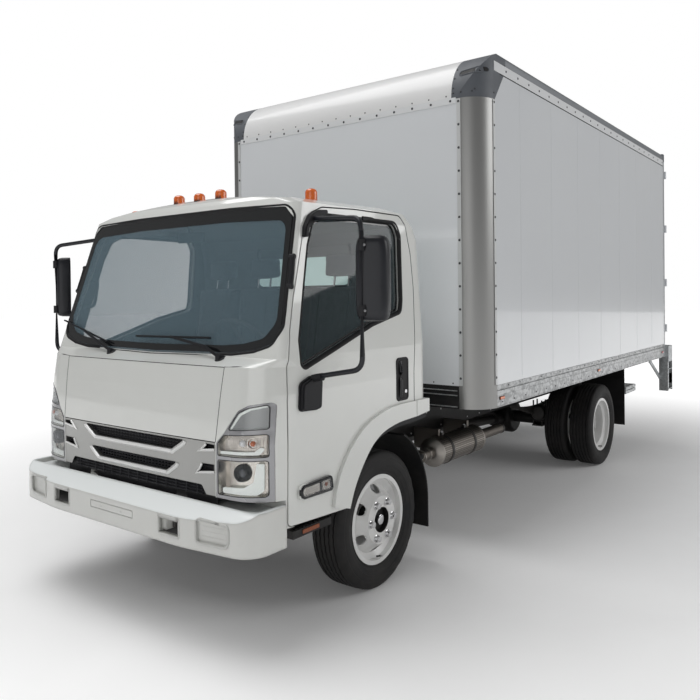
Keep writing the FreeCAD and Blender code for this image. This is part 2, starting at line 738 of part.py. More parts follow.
def leaf_spring(x, half, leaves):
    """Left leaf pack with its two hangers below the rail."""
    y = span(SPRING_Y, SPRING_WIDTH / 2)
    pieces = []
    top = RAIL_Z[0] - LEAF_RISE - SPRING_EYE_RADIUS
    for i in range(leaves):
        reach = half - i * LEAF_STEP
        rise = LEAF_RISE * (reach / half) ** 2
        z = top - i * LEAF_THICKNESS
        low = [Vector(x - reach, y[0], z + rise), Vector(x, y[0], z), Vector(x + reach, y[0], z + rise)]
        high = [p - Vector(0, 0, LEAF_THICKNESS) for p in low]
        edges = [Part.Arc(*low).toShape(), Part.makeLine(low[2], high[2]),
                 Part.Arc(*high[::-1]).toShape(), Part.makeLine(high[0], low[0])]
        pieces.append(Part.Face(Part.Wire(edges)).extrude(Vector(0, SPRING_WIDTH, 0)))
    eye_z = RAIL_Z[0] - SPRING_EYE_RADIUS
    for side in (-1, 1):
        px = x + side * half
        pieces.append(rod((px, y[0], eye_z), (px, y[1], eye_z), SPRING_EYE_RADIUS))
        pieces.append(block(span(px, SPRING_HANGER_LENGTH / 2), y, (eye_z, RAIL_Z[0] - FIT)))
    return joined(*pieces)


def leaf_springs():
    """All four leaf packs."""
    return Part.makeCompound([both(leaf_spring(0, FRONT_SPRING_HALF, FRONT_SPRING_LEAVES)),
                              both(leaf_spring(-WHEELBASE, REAR_SPRING_HALF, REAR_SPRING_LEAVES))])


def rear_axle():
    """Driven axle: tube, differential and the pads under the springs."""
    x = -WHEELBASE
    tube = rod((x, -REAR_AXLE_END_Y, TYRE_RADIUS), (x, REAR_AXLE_END_Y, TYRE_RADIUS), REAR_TUBE_RADIUS)
    case = turned([(0, -DIFF_HALF, 0), (DIFF_RADIUS, -DIFF_HALF, DIFF_ROUND),
                   (DIFF_RADIUS, DIFF_HALF, DIFF_ROUND), (0, DIFF_HALF, 0)], (x, TYRE_RADIUS))
    nose = rod((x, 0, TYRE_RADIUS), (x + DIFF_NOSE_LENGTH, 0, TYRE_RADIUS), DIFF_NOSE_RADIUS)
    pads = [block(span(x, BEAM_PAD_HALF), span(side * SPRING_Y, SPRING_WIDTH / 2),
                  (TYRE_RADIUS, spring_seat_z(REAR_SPRING_LEAVES))) for side in (-1, 1)]
    tip = REAR_TRACK / 2 - SPINDLE_END_CLEARANCE
    spindle = rod((x, -tip, TYRE_RADIUS), (x, tip, TYRE_RADIUS), SPINDLE_RADIUS)
    return joined(tube, case, nose, spindle, *pads)


def drive_shaft():
    """Propeller shaft between the gearbox and the differential."""
    start = (PROP_FRONT_X - FIT, 0, PROP_FRONT_Z)
    end = (-WHEELBASE + DIFF_NOSE_LENGTH + FIT, 0, TYRE_RADIUS)
    shaft = rod(start, end, PROP_RADIUS)
    room = block((end[0], start[0]), span(0, DIFF_RADIUS), (0, BODY_SILL_Z))
    return shaft.common(room)


# Frame and drive
def rail_left():
    """One channel rail, open towards the centre."""
    y = (RAIL_OUTER_Y - RAIL_WIDTH, RAIL_OUTER_Y)
    solid = block((RAIL_REAR_X, RAIL_FRONT_X), y, RAIL_Z)
    hollow = block((RAIL_REAR_X - OVERCUT, RAIL_FRONT_X + OVERCUT), (y[0] - OVERCUT, y[1] - RAIL_SKIN),
                   (RAIL_Z[0] + RAIL_SKIN, RAIL_Z[1] - RAIL_SKIN))
    return solid.cut(hollow)


def crossmember(x):
    """Box section between the rails."""
    half = RAIL_OUTER_Y - RAIL_SKIN
    z = (RAIL_Z[0] + RAIL_SKIN, RAIL_Z[1] - RAIL_SKIN)
    outer = block(span(x, CROSSMEMBER_LENGTH / 2), (-half, half), z)
    return outer


def ladder_frame():
    """Rails, cross members and the eyes the cab tilts on."""
    pieces = [rail_left(), mirrored(rail_left())]
    pieces += [crossmember(x) for x in CROSSMEMBER_X if not ENGINE_X[0] < x < ENGINE_X[1]]
    x, z = TILT_PIVOT
    eye_y = (RAIL_OUTER_Y - TILT_EYE_WIDTH, RAIL_OUTER_Y)
    for side in (-1, 1):
        ends = sorted((side * eye_y[0], side * eye_y[1]))
        pieces.append(rod((x, ends[0], z), (x, ends[1], z), TILT_EYE_RADIUS))
        pieces.append(block((x - TILT_ARM_LENGTH, x), ends, span(z, TILT_EYE_RADIUS)))
        pin = sorted((side * eye_y[0], side * TILT_PIN_TIP_Y))
        pieces.append(rod((x, pin[0], z), (x, pin[1], z), TILT_PIN_RADIUS))
    return joined(*pieces)


def engine():
    """Plain block of the engine with its gearbox behind."""
    motor = block(ENGINE_X, span(0, ENGINE_HALF_WIDTH), ENGINE_Z)
    gearbox = block(GEARBOX_X, span(0, GEARBOX_HALF_WIDTH), GEARBOX_Z)
    return joined(motor, gearbox)


def radiator():
    """Cooling pack behind the grille."""
    core = block(RADIATOR_X, span(0, RADIATOR_HALF_WIDTH), RADIATOR_Z)
    tab = block(span(sum(RADIATOR_X) / 2, RAIL_WIDTH / 2), (0, RAIL_OUTER_Y - RAIL_WIDTH / 2),
                (RAIL_Z[1] + FIT, RADIATOR_Z[1]))
    return joined(core, tab, mirrored(tab))


def exhaust():
    """Muffler with its two pipes along the left rail."""
    y, z = MUFFLER_Y, MUFFLER_Z
    can = rod((MUFFLER_X[0], y, z), (MUFFLER_X[1], y, z), MUFFLER_RADIUS)
    pipe = rod((EXHAUST_TAIL_X, y, z), (EXHAUST_INLET_X, y, z), EXHAUST_PIPE_RADIUS)
    hangers = [block(span(x, SPRING_HANGER_LENGTH / 4), (RAIL_OUTER_Y + FIT, y), (z, RAIL_Z[0] + RAIL_WIDTH))
               for x in (MUFFLER_X[0] + MUFFLER_RADIUS, MUFFLER_X[1] - MUFFLER_RADIUS)]
    return joined(can, pipe, *hangers)


def fuel_tank():
    """Rounded tank with straps, hung on the right rail."""
    y = (-TANK_Y[1], -TANK_Y[0])
    corners = [(y[0], TANK_Z[0]), (y[1], TANK_Z[0]), (y[1], TANK_Z[1]), (y[0], TANK_Z[1])]
    shape = front_prism([c + (TANK_ROUND,) for c in corners], TANK_X)
    straps = []
    for x in TANK_STRAP_X:
        outline = grown(corners, TANK_STRAP_SKIN)
        straps.append(front_prism([c + (TANK_ROUND + TANK_STRAP_SKIN,) for c in outline],
                                  span(x, TANK_STRAP_WIDTH / 2)))
        straps.append(block(span(x, TANK_STRAP_WIDTH / 2), (y[1] - TANK_ROUND, -RAIL_OUTER_Y - FIT),
                            (RAIL_Z[0], RAIL_Z[0] + RAIL_WIDTH)))
    return joined(shape, *straps)


def battery_box():
    """Box ahead of the tank with a bracket to the rail."""
    y = (-BATTERY_Y[1], -BATTERY_Y[0])
    box = block(BATTERY_X, y, BATTERY_Z)
    bracket = block(BATTERY_X, (y[1], -RAIL_OUTER_Y - FIT), (RAIL_Z[0], RAIL_Z[0] + RAIL_SKIN * 2))
    return joined(box, bracket)


def guard_left():
    """Curved guard behind the front wheel with its stay to the rail."""
    ring = turned([(GUARD_RADIUS, GUARD_Y[0]), (GUARD_RADIUS + GUARD_SKIN, GUARD_Y[0]),
                   (GUARD_RADIUS + GUARD_SKIN, GUARD_Y[1]), (GUARD_RADIUS, GUARD_Y[1])], (0, TYRE_RADIUS))
    reach = GUARD_RADIUS * 2
    wedge = [(0, TYRE_RADIUS)]
    middle = (GUARD_ANGLES[0] + GUARD_ANGLES[1]) / 2
    for degrees in (GUARD_ANGLES[0], middle, GUARD_ANGLES[1]):
        angle = math.radians(degrees)
        wedge.append((reach * math.cos(angle), TYRE_RADIUS + reach * math.sin(angle)))
    sheet = ring.common(side_prism(wedge, GUARD_Y))
    flap = block((-GUARD_RADIUS - GUARD_SKIN, -GUARD_RADIUS), GUARD_Y, (FRONT_FLAP_FOOT_Z, TYRE_RADIUS))
    x = -(GUARD_RADIUS + GUARD_SKIN / 2) * math.cos(math.radians(180 - middle))
    z = TYRE_RADIUS + (GUARD_RADIUS + GUARD_SKIN / 2) * math.sin(math.radians(180 - middle))
    stay = rod((x - GUARD_STAY_RADIUS, RAIL_OUTER_Y + FIT, z + GUARD_STAY_RADIUS),
               (x - GUARD_STAY_RADIUS, GUARD_Y[1], z + GUARD_STAY_RADIUS), GUARD_STAY_RADIUS)
    return joined(sheet, flap, stay)


def mud_guards():
    """Guards behind the front wheels and flaps behind the rear wheels, with their stays."""
    flap = block(span(FLAP_X, FLAP_THICKNESS / 2), FLAP_Y, FLAP_Z)
    stay = block(span(FLAP_X, FLAP_THICKNESS), (RAIL_OUTER_Y + FIT, FLAP_Y[1]),
                 (RAIL_Z[1] - SPRING_HANGER_LENGTH, RAIL_Z[1] - SPRING_HANGER_LENGTH / 2))
    return Part.makeCompound([both(guard_left()), both(joined(flap, stay))])


# Front bumper
def bumper_outline(inset):
    """Plan of the bumper, its ends swept back."""
    half = BUMPER_HALF_WIDTH - inset
    face = BUMPER_FACE_X - inset
    turn = face - BUMPER_CORNER_SETBACK
    corner = max(BUMPER_CORNER_ROUND - inset, LEAST_RING)
    return [
        (face, -BUMPER_SWEEP_Y, BUMPER_FACE_ROUND), (face, BUMPER_SWEEP_Y, BUMPER_FACE_ROUND),
        (turn, half, corner),
        (BUMPER_END_X, half), (BUMPER_END_X, -half), (turn, -half, corner),
    ]


def front_bumper():
    """Deep channel bumper with tow openings, blank lamp recesses and two stays."""
    body = plan_prism(bumper_outline(0), (BUMPER_BOTTOM_Z, BUMPER_TOP_Z))
    slope = side_prism(
        [(BUMPER_FACE_X + OVERCUT, BUMPER_CREASE_Z), (BUMPER_FACE_X + OVERCUT, BUMPER_TOP_Z + OVERCUT),
         (BUMPER_REAR_X - OVERCUT, BUMPER_TOP_Z + OVERCUT), (BUMPER_REAR_X - OVERCUT, BUMPER_TOP_Z)],
        (-BUMPER_HALF_WIDTH - OVERCUT, BUMPER_HALF_WIDTH + OVERCUT))
    body = body.cut(slope)
    hollow = plan_prism(bumper_outline(BUMPER_SKIN),
                        (BUMPER_BOTTOM_Z - OVERCUT, BUMPER_CREASE_Z - BUMPER_SKIN))
    room = block((0, BUMPER_REAR_X), span(0, BUMPER_HALF_WIDTH - BUMPER_SKIN), (0, BODY_SILL_Z))
    cuts = [hollow, room]
    for side in (-1, 1):
        y = sorted((side * TOW_HOLE_Y[0], side * TOW_HOLE_Y[1]))
        cuts.append(block((BUMPER_REAR_X, BUMPER_FACE_X + OVERCUT), y, TOW_HOLE_Z))
        y = sorted((side * FOG_RECESS_Y[0], side * FOG_RECESS_Y[1]))
        recess = block((BUMPER_REAR_X, BUMPER_FACE_X + OVERCUT), y, FOG_RECESS_Z)
        cuts.append(recess.cut(plan_prism(bumper_outline(FOG_RECESS_DEPTH), FOG_RECESS_Z)))
    for side in (-1, 1):
        y = side * PLATE_HOLE_SPACING / 2
        cuts.append(rod((BUMPER_REAR_X, y, PLATE_HOLE_Z), (BUMPER_FACE_X + OVERCUT, y, PLATE_HOLE_Z),
                        PLATE_HOLE_RADIUS))
    shelf = plan_prism(bumper_outline(0), BUMPER_SHELF_Z)
    shelf = shelf.cut(block((0, BUMPER_FACE_X), span(0, BUMPER_SHELF_Y), (0, BODY_SILL_Z)))
    shelf = shelf.common(block((0, BUMPER_REAR_X + BUMPER_LIP), span(0, BUMPER_HALF_WIDTH), (0, BODY_SILL_Z)))
    body = joined(body.cut(cuts), shelf)
    stays = []
    for side in (-1, 1):
        y = sorted((side * (RAIL_OUTER_Y - RAIL_WIDTH), side * RAIL_OUTER_Y))
        stays.append(block((RAIL_FRONT_X + FIT, BUMPER_FACE_X - BUMPER_SKIN), y, BUMPER_STAY_Z))
        stays.append(block((RAIL_FRONT_X + FIT, RAIL_FRONT_X + BUMPER_SKIN / 2), y, BUMPER_STAY_Z))
    return joined(body, *stays)


# Cab form
CAB_FORMS = {}


def cab_rows():
    """Every plan row of the cab, with the rows between that round off its rear top."""
    foot, head = CAB_SECTIONS[GLASS_FOOT_ROW:GLASS_FOOT_ROW + 2]
    between = []
    for z, rear in REAR_TOP_CURVE:
        part = (z - foot[0]) / (head[0] - foot[0])
        row = [low + (high - low) * part for low, high in zip(foot, head)]
        between.append((z, row[1], rear) + tuple(row[3:]))
    return CAB_SECTIONS[:GLASS_FOOT_ROW + 1] + tuple(between) + CAB_SECTIONS[GLASS_FOOT_ROW + 1:]


def cab_section(row, inset, crowned, lowered):
    """Plan outline of the cab at one height, drawn inwards by inset."""
    z, front, rear, half, rear_half, front_round, rear_round = row
    front, rear = front - inset, rear + inset
    half, rear_half = half - inset, rear_half - inset
    front_round = max(front_round - inset, LEAST_RING)
    rear_round = max(rear_round - inset, LEAST_RING)
    z = z - (min(inset, CAB_WALL) if lowered else 0)
    crown = CAB_FRONT_CROWN if crowned else 0
    flat = half - front_round
    back = front - crown
    swing = front_round * math.sqrt(0.5)
    centre = Vector(back - front_round, flat, z)
    rear_centre = Vector(rear + rear_round, rear_half - rear_round, z)
    rear_swing = rear_round * math.sqrt(0.5)

    def flipped(p):
        return Vector(p.x, -p.y, p.z)

    a, b = Vector(back, flat, z), Vector(centre.x, half, z)
    m = centre + Vector(swing, swing, 0)
    c, d = Vector(rear_centre.x, rear_half, z), Vector(rear, rear_centre.y, z)
    n = rear_centre + Vector(-rear_swing, rear_swing, 0)
    nose = Part.Arc(flipped(a), Vector(front, 0, z), a).toShape() if crown else Part.makeLine(flipped(a), a)
    return Part.Wire([
        nose, Part.Arc(a, m, b).toShape(), Part.makeLine(b, c), Part.Arc(c, n, d).toShape(),
        Part.makeLine(d, flipped(d)), Part.Arc(flipped(d), flipped(n), flipped(c)).toShape(),
        Part.makeLine(flipped(c), flipped(b)), Part.Arc(flipped(b), flipped(m), flipped(a)).toShape(),
    ])


def facet(low, high):
    """Face between two edges, flat where both are straight and ruled where one is bent."""
    corners = [low.firstVertex(True).Point, low.lastVertex(True).Point,
               high.lastVertex(True).Point, high.firstVertex(True).Point]
    straight = all(isinstance(edge.Curve, Part.Line) for edge in (low, high))
    if straight and (corners[1] - corners[0]).cross(corners[2] - corners[3]).Length < TINY:
        return Part.Face(Part.makePolygon(corners + corners[:1]))
    return Part.makeRuledSurface(low, high)


def cab_form(inset):
    """Whole cab as one solid, every face drawn inwards by inset."""
    if inset in CAB_FORMS:
        return CAB_FORMS[inset].copy()
    rows = cab_rows()
    count = len(rows)
    rings = []
    for i, row in enumerate(rows):
        deep = (row[0] - max(inset, 0),) + row[1:] if i == 0 else row
        rings.append(cab_section(deep, inset, i < CROWNED_SECTIONS, i >= count - ROOF_SECTIONS))
    faces = [Part.Face(rings[0]), Part.Face(rings[-1])]
    for low, high in zip(rings, rings[1:]):
        faces += [facet(a, b) for a, b in zip(low.OrderedEdges, high.OrderedEdges)]
    shell = Part.makeShell(faces)
    shell.sewShape()
    solid = Part.Solid(shell)
    if solid.Volume < 0:
        solid.reverse()
    CAB_FORMS[inset] = solid
    return solid.copy()


def in_skin(prism, outer, inner):
    """The part of a prism that lies between two depths of the cab's skin."""
    return prism.common(cab_form(outer)).cut(cab_form(inner))


def arch_outline(edge):
    """Opening of the wheel arch below a line of points, from its foot to behind the cab."""
    far = CAB_REAR_X - CAB_WALL - OVERCUT
    low = SILL_Z - CAB_HALF_WIDTH
    return ((edge[0][0], low),) + edge + ((far, edge[-1][1]), (far, low))


def house_outline():
    """Side view of the wheel housing."""
    far = CAB_REAR_X - CAB_WALL
    low = SILL_Z - CAB_HALF_WIDTH
    return ((WHEELHOUSE[0][0], low),) + WHEELHOUSE + ((far, FLOOR_UNDER_Z), (far, low))


def underside_cuts():
    """Everything the cab leaves free below: wheel arch, wheel housing, tunnel and bumper room."""
    wide = CAB_ROOM
    far = CAB_REAR_X - CAB_WALL
    low = SILL_Z - CAB_HALF_WIDTH
    arch = side_prism(arch_outline(ARCH_EDGE), (-wide, wide))
    start = WHEELHOUSE[0][0]
    house = side_prism(house_outline(), span(0, WHEELHOUSE_HALF_WIDTH))
    tunnel = block((far, CAB_FRONT_X - CAB_SKIN - FIT), span(0, TUNNEL_HALF_WIDTH), (low, TUNNEL_UNDER_Z))
    sill = block((far, CAB_FRONT_X * 2), (-wide, wide), (low, SILL_Z))
    step = block((PANEL_STEP_X, CAB_FRONT_X * 2), (-wide, wide), (low, PANEL_BOTTOM_Z))
    engine_room = block((far, start - CAB_WALL), span(0, TUNNEL_HALF_WIDTH), (low, FLOOR_UNDER_Z))
    return [arch, house, tunnel, engine_room, sill, step]


def cabin_space():
    """Hollow inside of the cab with footwells and a raised floor over the wheels."""
    inner = cab_form(CAB_WALL)
    half = CAB_HALF_WIDTH
    upper = block((CAB_REAR_X, CAB_FRONT_X), span(0, half), (FLOOR_UNDER_Z + FLOOR_SKIN, CAB_SECTIONS[-1][0]))
    rear = WHEELHOUSE[0][0] + CAB_WALL
    wells = []
    for side in (-1, 1):
        y = sorted((side * (TUNNEL_HALF_WIDTH + CAB_WALL), side * half))
        ramp = WHEELHOUSE[1][0] + CAB_WALL
        wells.append(side_prism(
            [(rear, SILL_Z + FLOOR_SKIN), (PANEL_STEP_X - CAB_WALL, SILL_Z + FLOOR_SKIN),
             (PANEL_STEP_X - CAB_WALL, PANEL_BOTTOM_Z + FLOOR_SKIN),
             (CAB_FRONT_X, PANEL_BOTTOM_Z + FLOOR_SKIN),
             (CAB_FRONT_X, FLOOR_UNDER_Z + FLOOR_SKIN * 2), (ramp - CAB_WALL, FLOOR_UNDER_Z + FLOOR_SKIN * 2),
             (ramp, WHEELHOUSE[1][1]), (rear, WHEELHOUSE[0][1])], y))
    centre = block((WHEELHOUSE[0][0], CAB_FRONT_X), span(0, TUNNEL_HALF_WIDTH + CAB_WALL + OVERCUT),
                   (TUNNEL_UNDER_Z + FLOOR_SKIN, FLOOR_UNDER_Z + FLOOR_SKIN * 2))
    room = upper.multiFuse(wells + [centre])
    return inner.common(room)


def windshield_outline():
    """Front glass outline in YZ, symmetric about the centre."""
    right = list(WINDSHIELD)
    left = [(-p[0],) + tuple(p[1:]) for p in reversed(right)]
    foot = [p for p in WINDSHIELD_FOOT if p[0] > 0]
    low = [(-p[0], p[1]) for p in foot] + [WINDSHIELD_FOOT[-1]] + foot[::-1]
    return right + [(0, WINDSHIELD_HEAD_Z)] + left + low


def windshield_room(gap):
    """Front glass outline grown by a gap, drawn through the front wall only."""
    low, high = CAB_SECTIONS[GLASS_FOOT_ROW][0] - CAB_WALL, CAB_SECTIONS[GLASS_FOOT_ROW + 1][0] + CAB_WALL
    front = CAB_FRONT_X + CAB_WALL
    slab = side_prism([(glass_x(low) - WINDSHIELD_DEPTH, low), (front, low), (front, high),
                       (glass_x(high) - WINDSHIELD_DEPTH, high)], span(0, CAB_ROOM))
    return front_prism(grown(windshield_outline(), gap), (0, front)).common(slab)


def windshield():
    """Flat laminated front glass."""
    return in_skin(windshield_room(0), GLASS_INSET, GLASS_INSET + GLASS_SKIN)


def lamp_outline(side):
    """Headlamp outline on one side."""
    return [(side * p[0],) + tuple(p[1:]) for p in LAMP]


def lamp_room(side, gap):
    """Pocket of one headlamp with a gap all round it."""
    prism = front_prism(grown(lamp_outline(side), gap), (LAMP_REAR_X - gap, CAB_FRONT_X + CAB_WALL))
    return prism.cut(cab_form(LAMP_DEPTH + gap))


def headlamp_left():
    """Headlamp cluster that wraps the corner, with a sunk lens on each of its three tiers."""
    lamp = lamp_room(1, 0).common(cab_form(0))
    far = (LAMP_REAR_X - LAMP_DEPTH, CAB_FRONT_X + CAB_WALL)
    lens = front_prism(grown(lamp_outline(1), -LAMP_BEZEL), far)
    tiers = [block(far, (0, CAB_ROOM), z) for z in LAMP_TIERS]
    return largest(lamp.cut(lens.common(Part.makeCompound(tiers)).cut(cab_form(LAMP_RECESS))))


def headlamps():
    """Both headlamps."""
    return both(headlamp_left())


def front_panel_outline():
    """Painted panel between grille and cowl."""
    low, high = FRONT_PANEL_Z
    return [(-FRONT_PANEL_HALF, low), (FRONT_PANEL_HALF, low), (FRONT_PANEL_TOP_HALF, high),
            (-FRONT_PANEL_TOP_HALF, high)]


def front_panel():
    """Painted lid between the grille and the windscreen."""
    prism = front_prism(front_panel_outline(), (CAB_FRONT_X / 2, CAB_FRONT_X + CAB_WALL))
    return in_skin(prism, 0, CAB_SKIN)


def trapezium(points):
    """Symmetric opening from its upper and lower half widths."""
    upper, lower = points
    return [upper + (GRILLE_ROUND,), (-upper[0], upper[1], GRILLE_ROUND),
            (-lower[0], lower[1], GRILLE_ROUND), lower + (GRILLE_ROUND,)]


def grille():
    """Silver grille panel with its air openings."""
    x = (CAB_FRONT_X / 2, CAB_FRONT_X + CAB_WALL)
    prism = block(x, span(0, FRONT_PANEL_HALF), GRILLE_Z)
    holes = [front_prism(trapezium(GRILLE_UPPER), x), front_prism(trapezium(GRILLE_LOWER), x)]
    for outline in (GRILLE_SIDE_UPPER, GRILLE_SIDE_LOWER):
        for side in (-1, 1):
            holes.append(front_prism([(side * p[0], p[1]) for p in outline], x))
    return in_skin(prism, 0, CAB_SKIN).cut(holes)


def side_zone(gap):
    """Left side wall seen from the front, from its skin in by a door's thickness and a gap."""
    wide = CAB_ROOM
    rows = CAB_SECTIONS[:GLASS_FOOT_ROW + 2]
    inner = [(side_y_at(row[0]) - DOOR_SKIN - gap, row[0]) for row in rows]
    inner[0] = (inner[0][0], SILL_Z - CAB_HALF_WIDTH)
    return front_prism([(wide, inner[0][1])] + inner + [(wide, inner[-1][1])],
                       (CAB_REAR_X - CAB_WALL, CAB_FRONT_X))


def door_prism(outline, gap):
    """XZ outline drawn through the left side wall only."""
    deep = side_prism(grown(outline, gap) if gap else outline, (CAB_HALF_WIDTH / 2, CAB_ROOM))
    return deep.common(side_zone(SIDE_ZONE_MARGIN + max(gap, 0)))


def cab_shell():
    """Roof, pillars, back wall, corners and floor in one welded shell."""
    shell = cab_form(0).cut(cabin_space())
    shell = shell.cut(underside_cuts())
    x = (CAB_FRONT_X / 2, CAB_FRONT_X + CAB_WALL)
    panel_room = front_prism(grown(front_panel_outline(), FIT), x)
    grille_room = block(x, span(0, FRONT_PANEL_HALF + FIT), (PANEL_BOTTOM_Z - OVERCUT, GRILLE_Z[1] + FIT))
    cuts = [panel_room.fuse(grille_room).cut(cab_form(CAB_SKIN + FIT))]
    cuts.append(windshield_room(FIT).cut(cab_form(GLASS_INSET + GLASS_SKIN + FIT)))
    cuts.append(windshield_room(-GLASS_FLANGE))
    for side in (-1, 1):
        cuts.append(lamp_room(side, FIT))
        opening = door_prism(DOOR, SHUT_GAP)
        cuts.append(opening if side > 0 else mirrored(opening))
    grille_air = block(x, span(0, TUNNEL_HALF_WIDTH), (PANEL_BOTTOM_Z, TUNNEL_UNDER_Z))
    cuts.append(grille_air)
    shell = shell.cut(cuts)
    arms = []
    px, pz = TILT_PIVOT
    for side in (-1, 1):
        y = sorted((side * (RAIL_OUTER_Y + FIT * 2), side * (RAIL_OUTER_Y + TILT_EYE_WIDTH)))
        arms.append(rod((px, y[0], pz), (px, y[1], pz), TILT_EYE_RADIUS))
        arms.append(block(span(px, TILT_PIN_RADIUS), y, (pz, TUNNEL_UNDER_Z + FLOOR_SKIN / 2)))
    shell = joined(shell, *arms)
    pins = [rod((px, -CAB_HALF_WIDTH, pz), (px, CAB_HALF_WIDTH, pz), TILT_PIN_RADIUS + FIT)]
    return largest(shell.cut(pins))


def arch_lip():
    """Dark lip inside the wheel arch, with a flange up to the wheel housing."""
    low, high = ARCH_LIP_Y
    x = (FLARE_REAR_X, CAB_FRONT_X)
    reach = (ARCH_LIP_FOOT_Z, FLOOR_UNDER_Z + FLOOR_SKIN)
    opening = side_prism(arch_outline(ARCH_LIP), (low - OVERCUT, high + OVERCUT))
    edge = side_prism(grown(arch_outline(ARCH_EDGE), -SHUT_GAP), (low, high))
    house = side_prism(grown(house_outline(), -FIT), (low, WHEELHOUSE_HALF_WIDTH - FIT))
    return joined(edge, house).common(block(x, (low, high), reach)).cut(opening)


def arch_flares():
    """Rear ends of the arch flares on the cab's corners and the dark lips inside the arches."""
    low, high = FLARE_REAR_Z
    start = DOOR_REAR_X - SHUT_GAP
    strip = side_prism([(start, ARCH_EDGE[-2][1]), (start, FLARE_OUTER[-1][1]), (FLARE_REAR_X, high),
                        (FLARE_REAR_X, low)], (CAB_HALF_WIDTH - CAB_WALL, CAB_HALF_WIDTH + FLARE_PROUD))
    return Part.makeCompound([both(strip.cut(cab_form(-FIT))), both(arch_lip())])


def largest(shape):
    """The biggest solid of a result."""
    return max(shape.Solids, key=lambda s: s.Volume)


# Cab doors
def door_left():
    """Door skin and frame with its arch flare, handle pocket and side lamp."""
    door = in_skin(door_prism(DOOR, 0), 0, DOOR_SKIN)
    window = door_prism(DOOR_WINDOW, 0)
    door = largest(door.cut(window))
    outer = CAB_HALF_WIDTH
    flare_points = ARCH_EDGE[:-2] + ((DOOR_REAR_X, ARCH_EDGE[-2][1]),) + tuple(reversed(FLARE_OUTER))
    flare = side_prism(flare_points, (outer - FLARE_PROUD, outer + FLARE_PROUD))
    pocket = block(DOOR_HANDLE_X, (outer - DOOR_HANDLE_DEPTH, outer + OVERCUT), DOOR_HANDLE_Z)
    bar_z = span(sum(DOOR_HANDLE_Z) / 2, (DOOR_HANDLE_Z[1] - DOOR_HANDLE_Z[0]) / 2 - DOOR_HANDLE_BAR)
    bar = block(span(DOOR_HANDLE_X[0] + DOOR_HANDLE_BAR * 2, DOOR_HANDLE_BAR),
                (outer - DOOR_HANDLE_DEPTH - TINY, outer), bar_z)
    lamp = block(TURN_LAMP_X, (outer - FLARE_PROUD, outer + TURN_LAMP_PROUD), TURN_LAMP_Z)
    return joined(door.cut(pocket), flare, bar, lamp)


def door_glass_left():
    """Side glass seated in the door frame."""
    pane = door_prism(DOOR_WINDOW, -FIT)
    return largest(in_skin(pane, DOOR_SKIN / 2, DOOR_SKIN / 2 + GLASS_SKIN))


def mirror_stay():
    """Round bar along the top of the door, with a thicker grip at its rear end."""
    (x0, z0), (x1, z1) = MIRROR_STAY
    start = Vector(x0, side_y_at(z0, x0) + MIRROR_STAY_OFF, z0)
    end = Vector(x1, side_y_at(z1, x1) + MIRROR_STAY_OFF, z1)
    grip = end + (start - end).normalize() * MIRROR_STAY_GRIP
    return [rod(start, end, MIRROR_STAY_RADIUS), rod(grip, end, MIRROR_STAY_GRIP_RADIUS)]


def mirror_head():
    """Tall mirror housing, turned towards the driver."""
    half_w, half_d = MIRROR_HEAD_WIDTH / 2, MIRROR_HEAD_DEPTH / 2
    head = plan_prism([(half_d, -half_w, MIRROR_HEAD_ROUND), (half_d, half_w, MIRROR_HEAD_ROUND),
                       (-half_d, half_w, MIRROR_HEAD_EDGE), (-half_d, -half_w, MIRROR_HEAD_EDGE)],
                       MIRROR_HEAD_Z)
    head.rotate(Vector(0, 0, 0), Vector(0, 0, 1), MIRROR_HEAD_TURN)
    head.translate(Vector(*MIRROR_HEAD, 0))
    return head


def mirror_left():
    """Tall mirror on a tubular loop between a foot and a curved bracket on the door."""
    skin = CAB_HALF_WIDTH + FIT
    foot = side_prism(MIRROR_BASE, (skin - MIRROR_BASE_PROUD, skin + MIRROR_BASE_PROUD))
    x, z = MIRROR_BRACKET[-1][:2]
    top_y = side_y_at(z, x)
    bracket = side_prism(MIRROR_BRACKET, (top_y - CAB_WALL, top_y + MIRROR_BRACKET_PROUD))
    loop = bent_tube(MIRROR_ARM, MIRROR_ARM_RADIUS, MIRROR_ARM_BEND)
    return joined(loop, foot, bracket, mirror_head(), *mirror_stay()).cut(cab_form(-FIT))


def side_y_at(z, x=None):
    """Half width of the cab side at a height, at its front end unless x is given."""
    rows = cab_rows()
    for low, high in zip(rows, rows[1:]):
        if low[0] <= z <= high[0]:
            part = (z - low[0]) / (high[0] - low[0])
            front, rear, fore, aft = (low[i] + (high[i] - low[i]) * part for i in (1, 2, 3, 4))
            back = 0 if x is None else (front - x) / (front - rear)
            return fore + (aft - fore) * back
    return rows[-1][3]


# Cab fittings
def flat_bar(start, end, facing, size):
    """Flat bar between two points, (width, thickness) in size, its thickness rising along facing."""
    along = (end - start).normalize()
    side = facing.cross(along).normalize() * (size[0] / 2)
    rise = along.cross(side).normalize() * size[1]
    corners = [start - side, end - side, end + side, start + side]
    return Part.Face(Part.makePolygon(corners + corners[:1])).extrude(rise)


def wiper(spots):
    """One cranked arm with its blade lying just off the glass."""
    off = glass_normal()
    pivot, elbow, end, tip = (Vector(glass_x(z), y, z) for y, z in spots)
    post = rod(pivot - off * WIPER_PIVOT_RADIUS, pivot + off * (WIPER_STAND_OFF + WIPER_PIVOT_RADIUS),
               WIPER_PIVOT_RADIUS)
    high = off * WIPER_STAND_OFF
    past = (elbow - pivot).normalize() * (WIPER_ARM[0] / 2)
    arm = flat_bar(pivot + high, elbow + high + past, off, WIPER_ARM)
    reach = flat_bar(elbow + high, end + off * WIPER_TIP_OFF, off, WIPER_ARM)
    blade = flat_bar(end * 2 - tip + off * WIPER_BLADE_OFF, tip + off * WIPER_BLADE_OFF, off, WIPER_BLADE)
    return joined(post, arm, reach, blade)


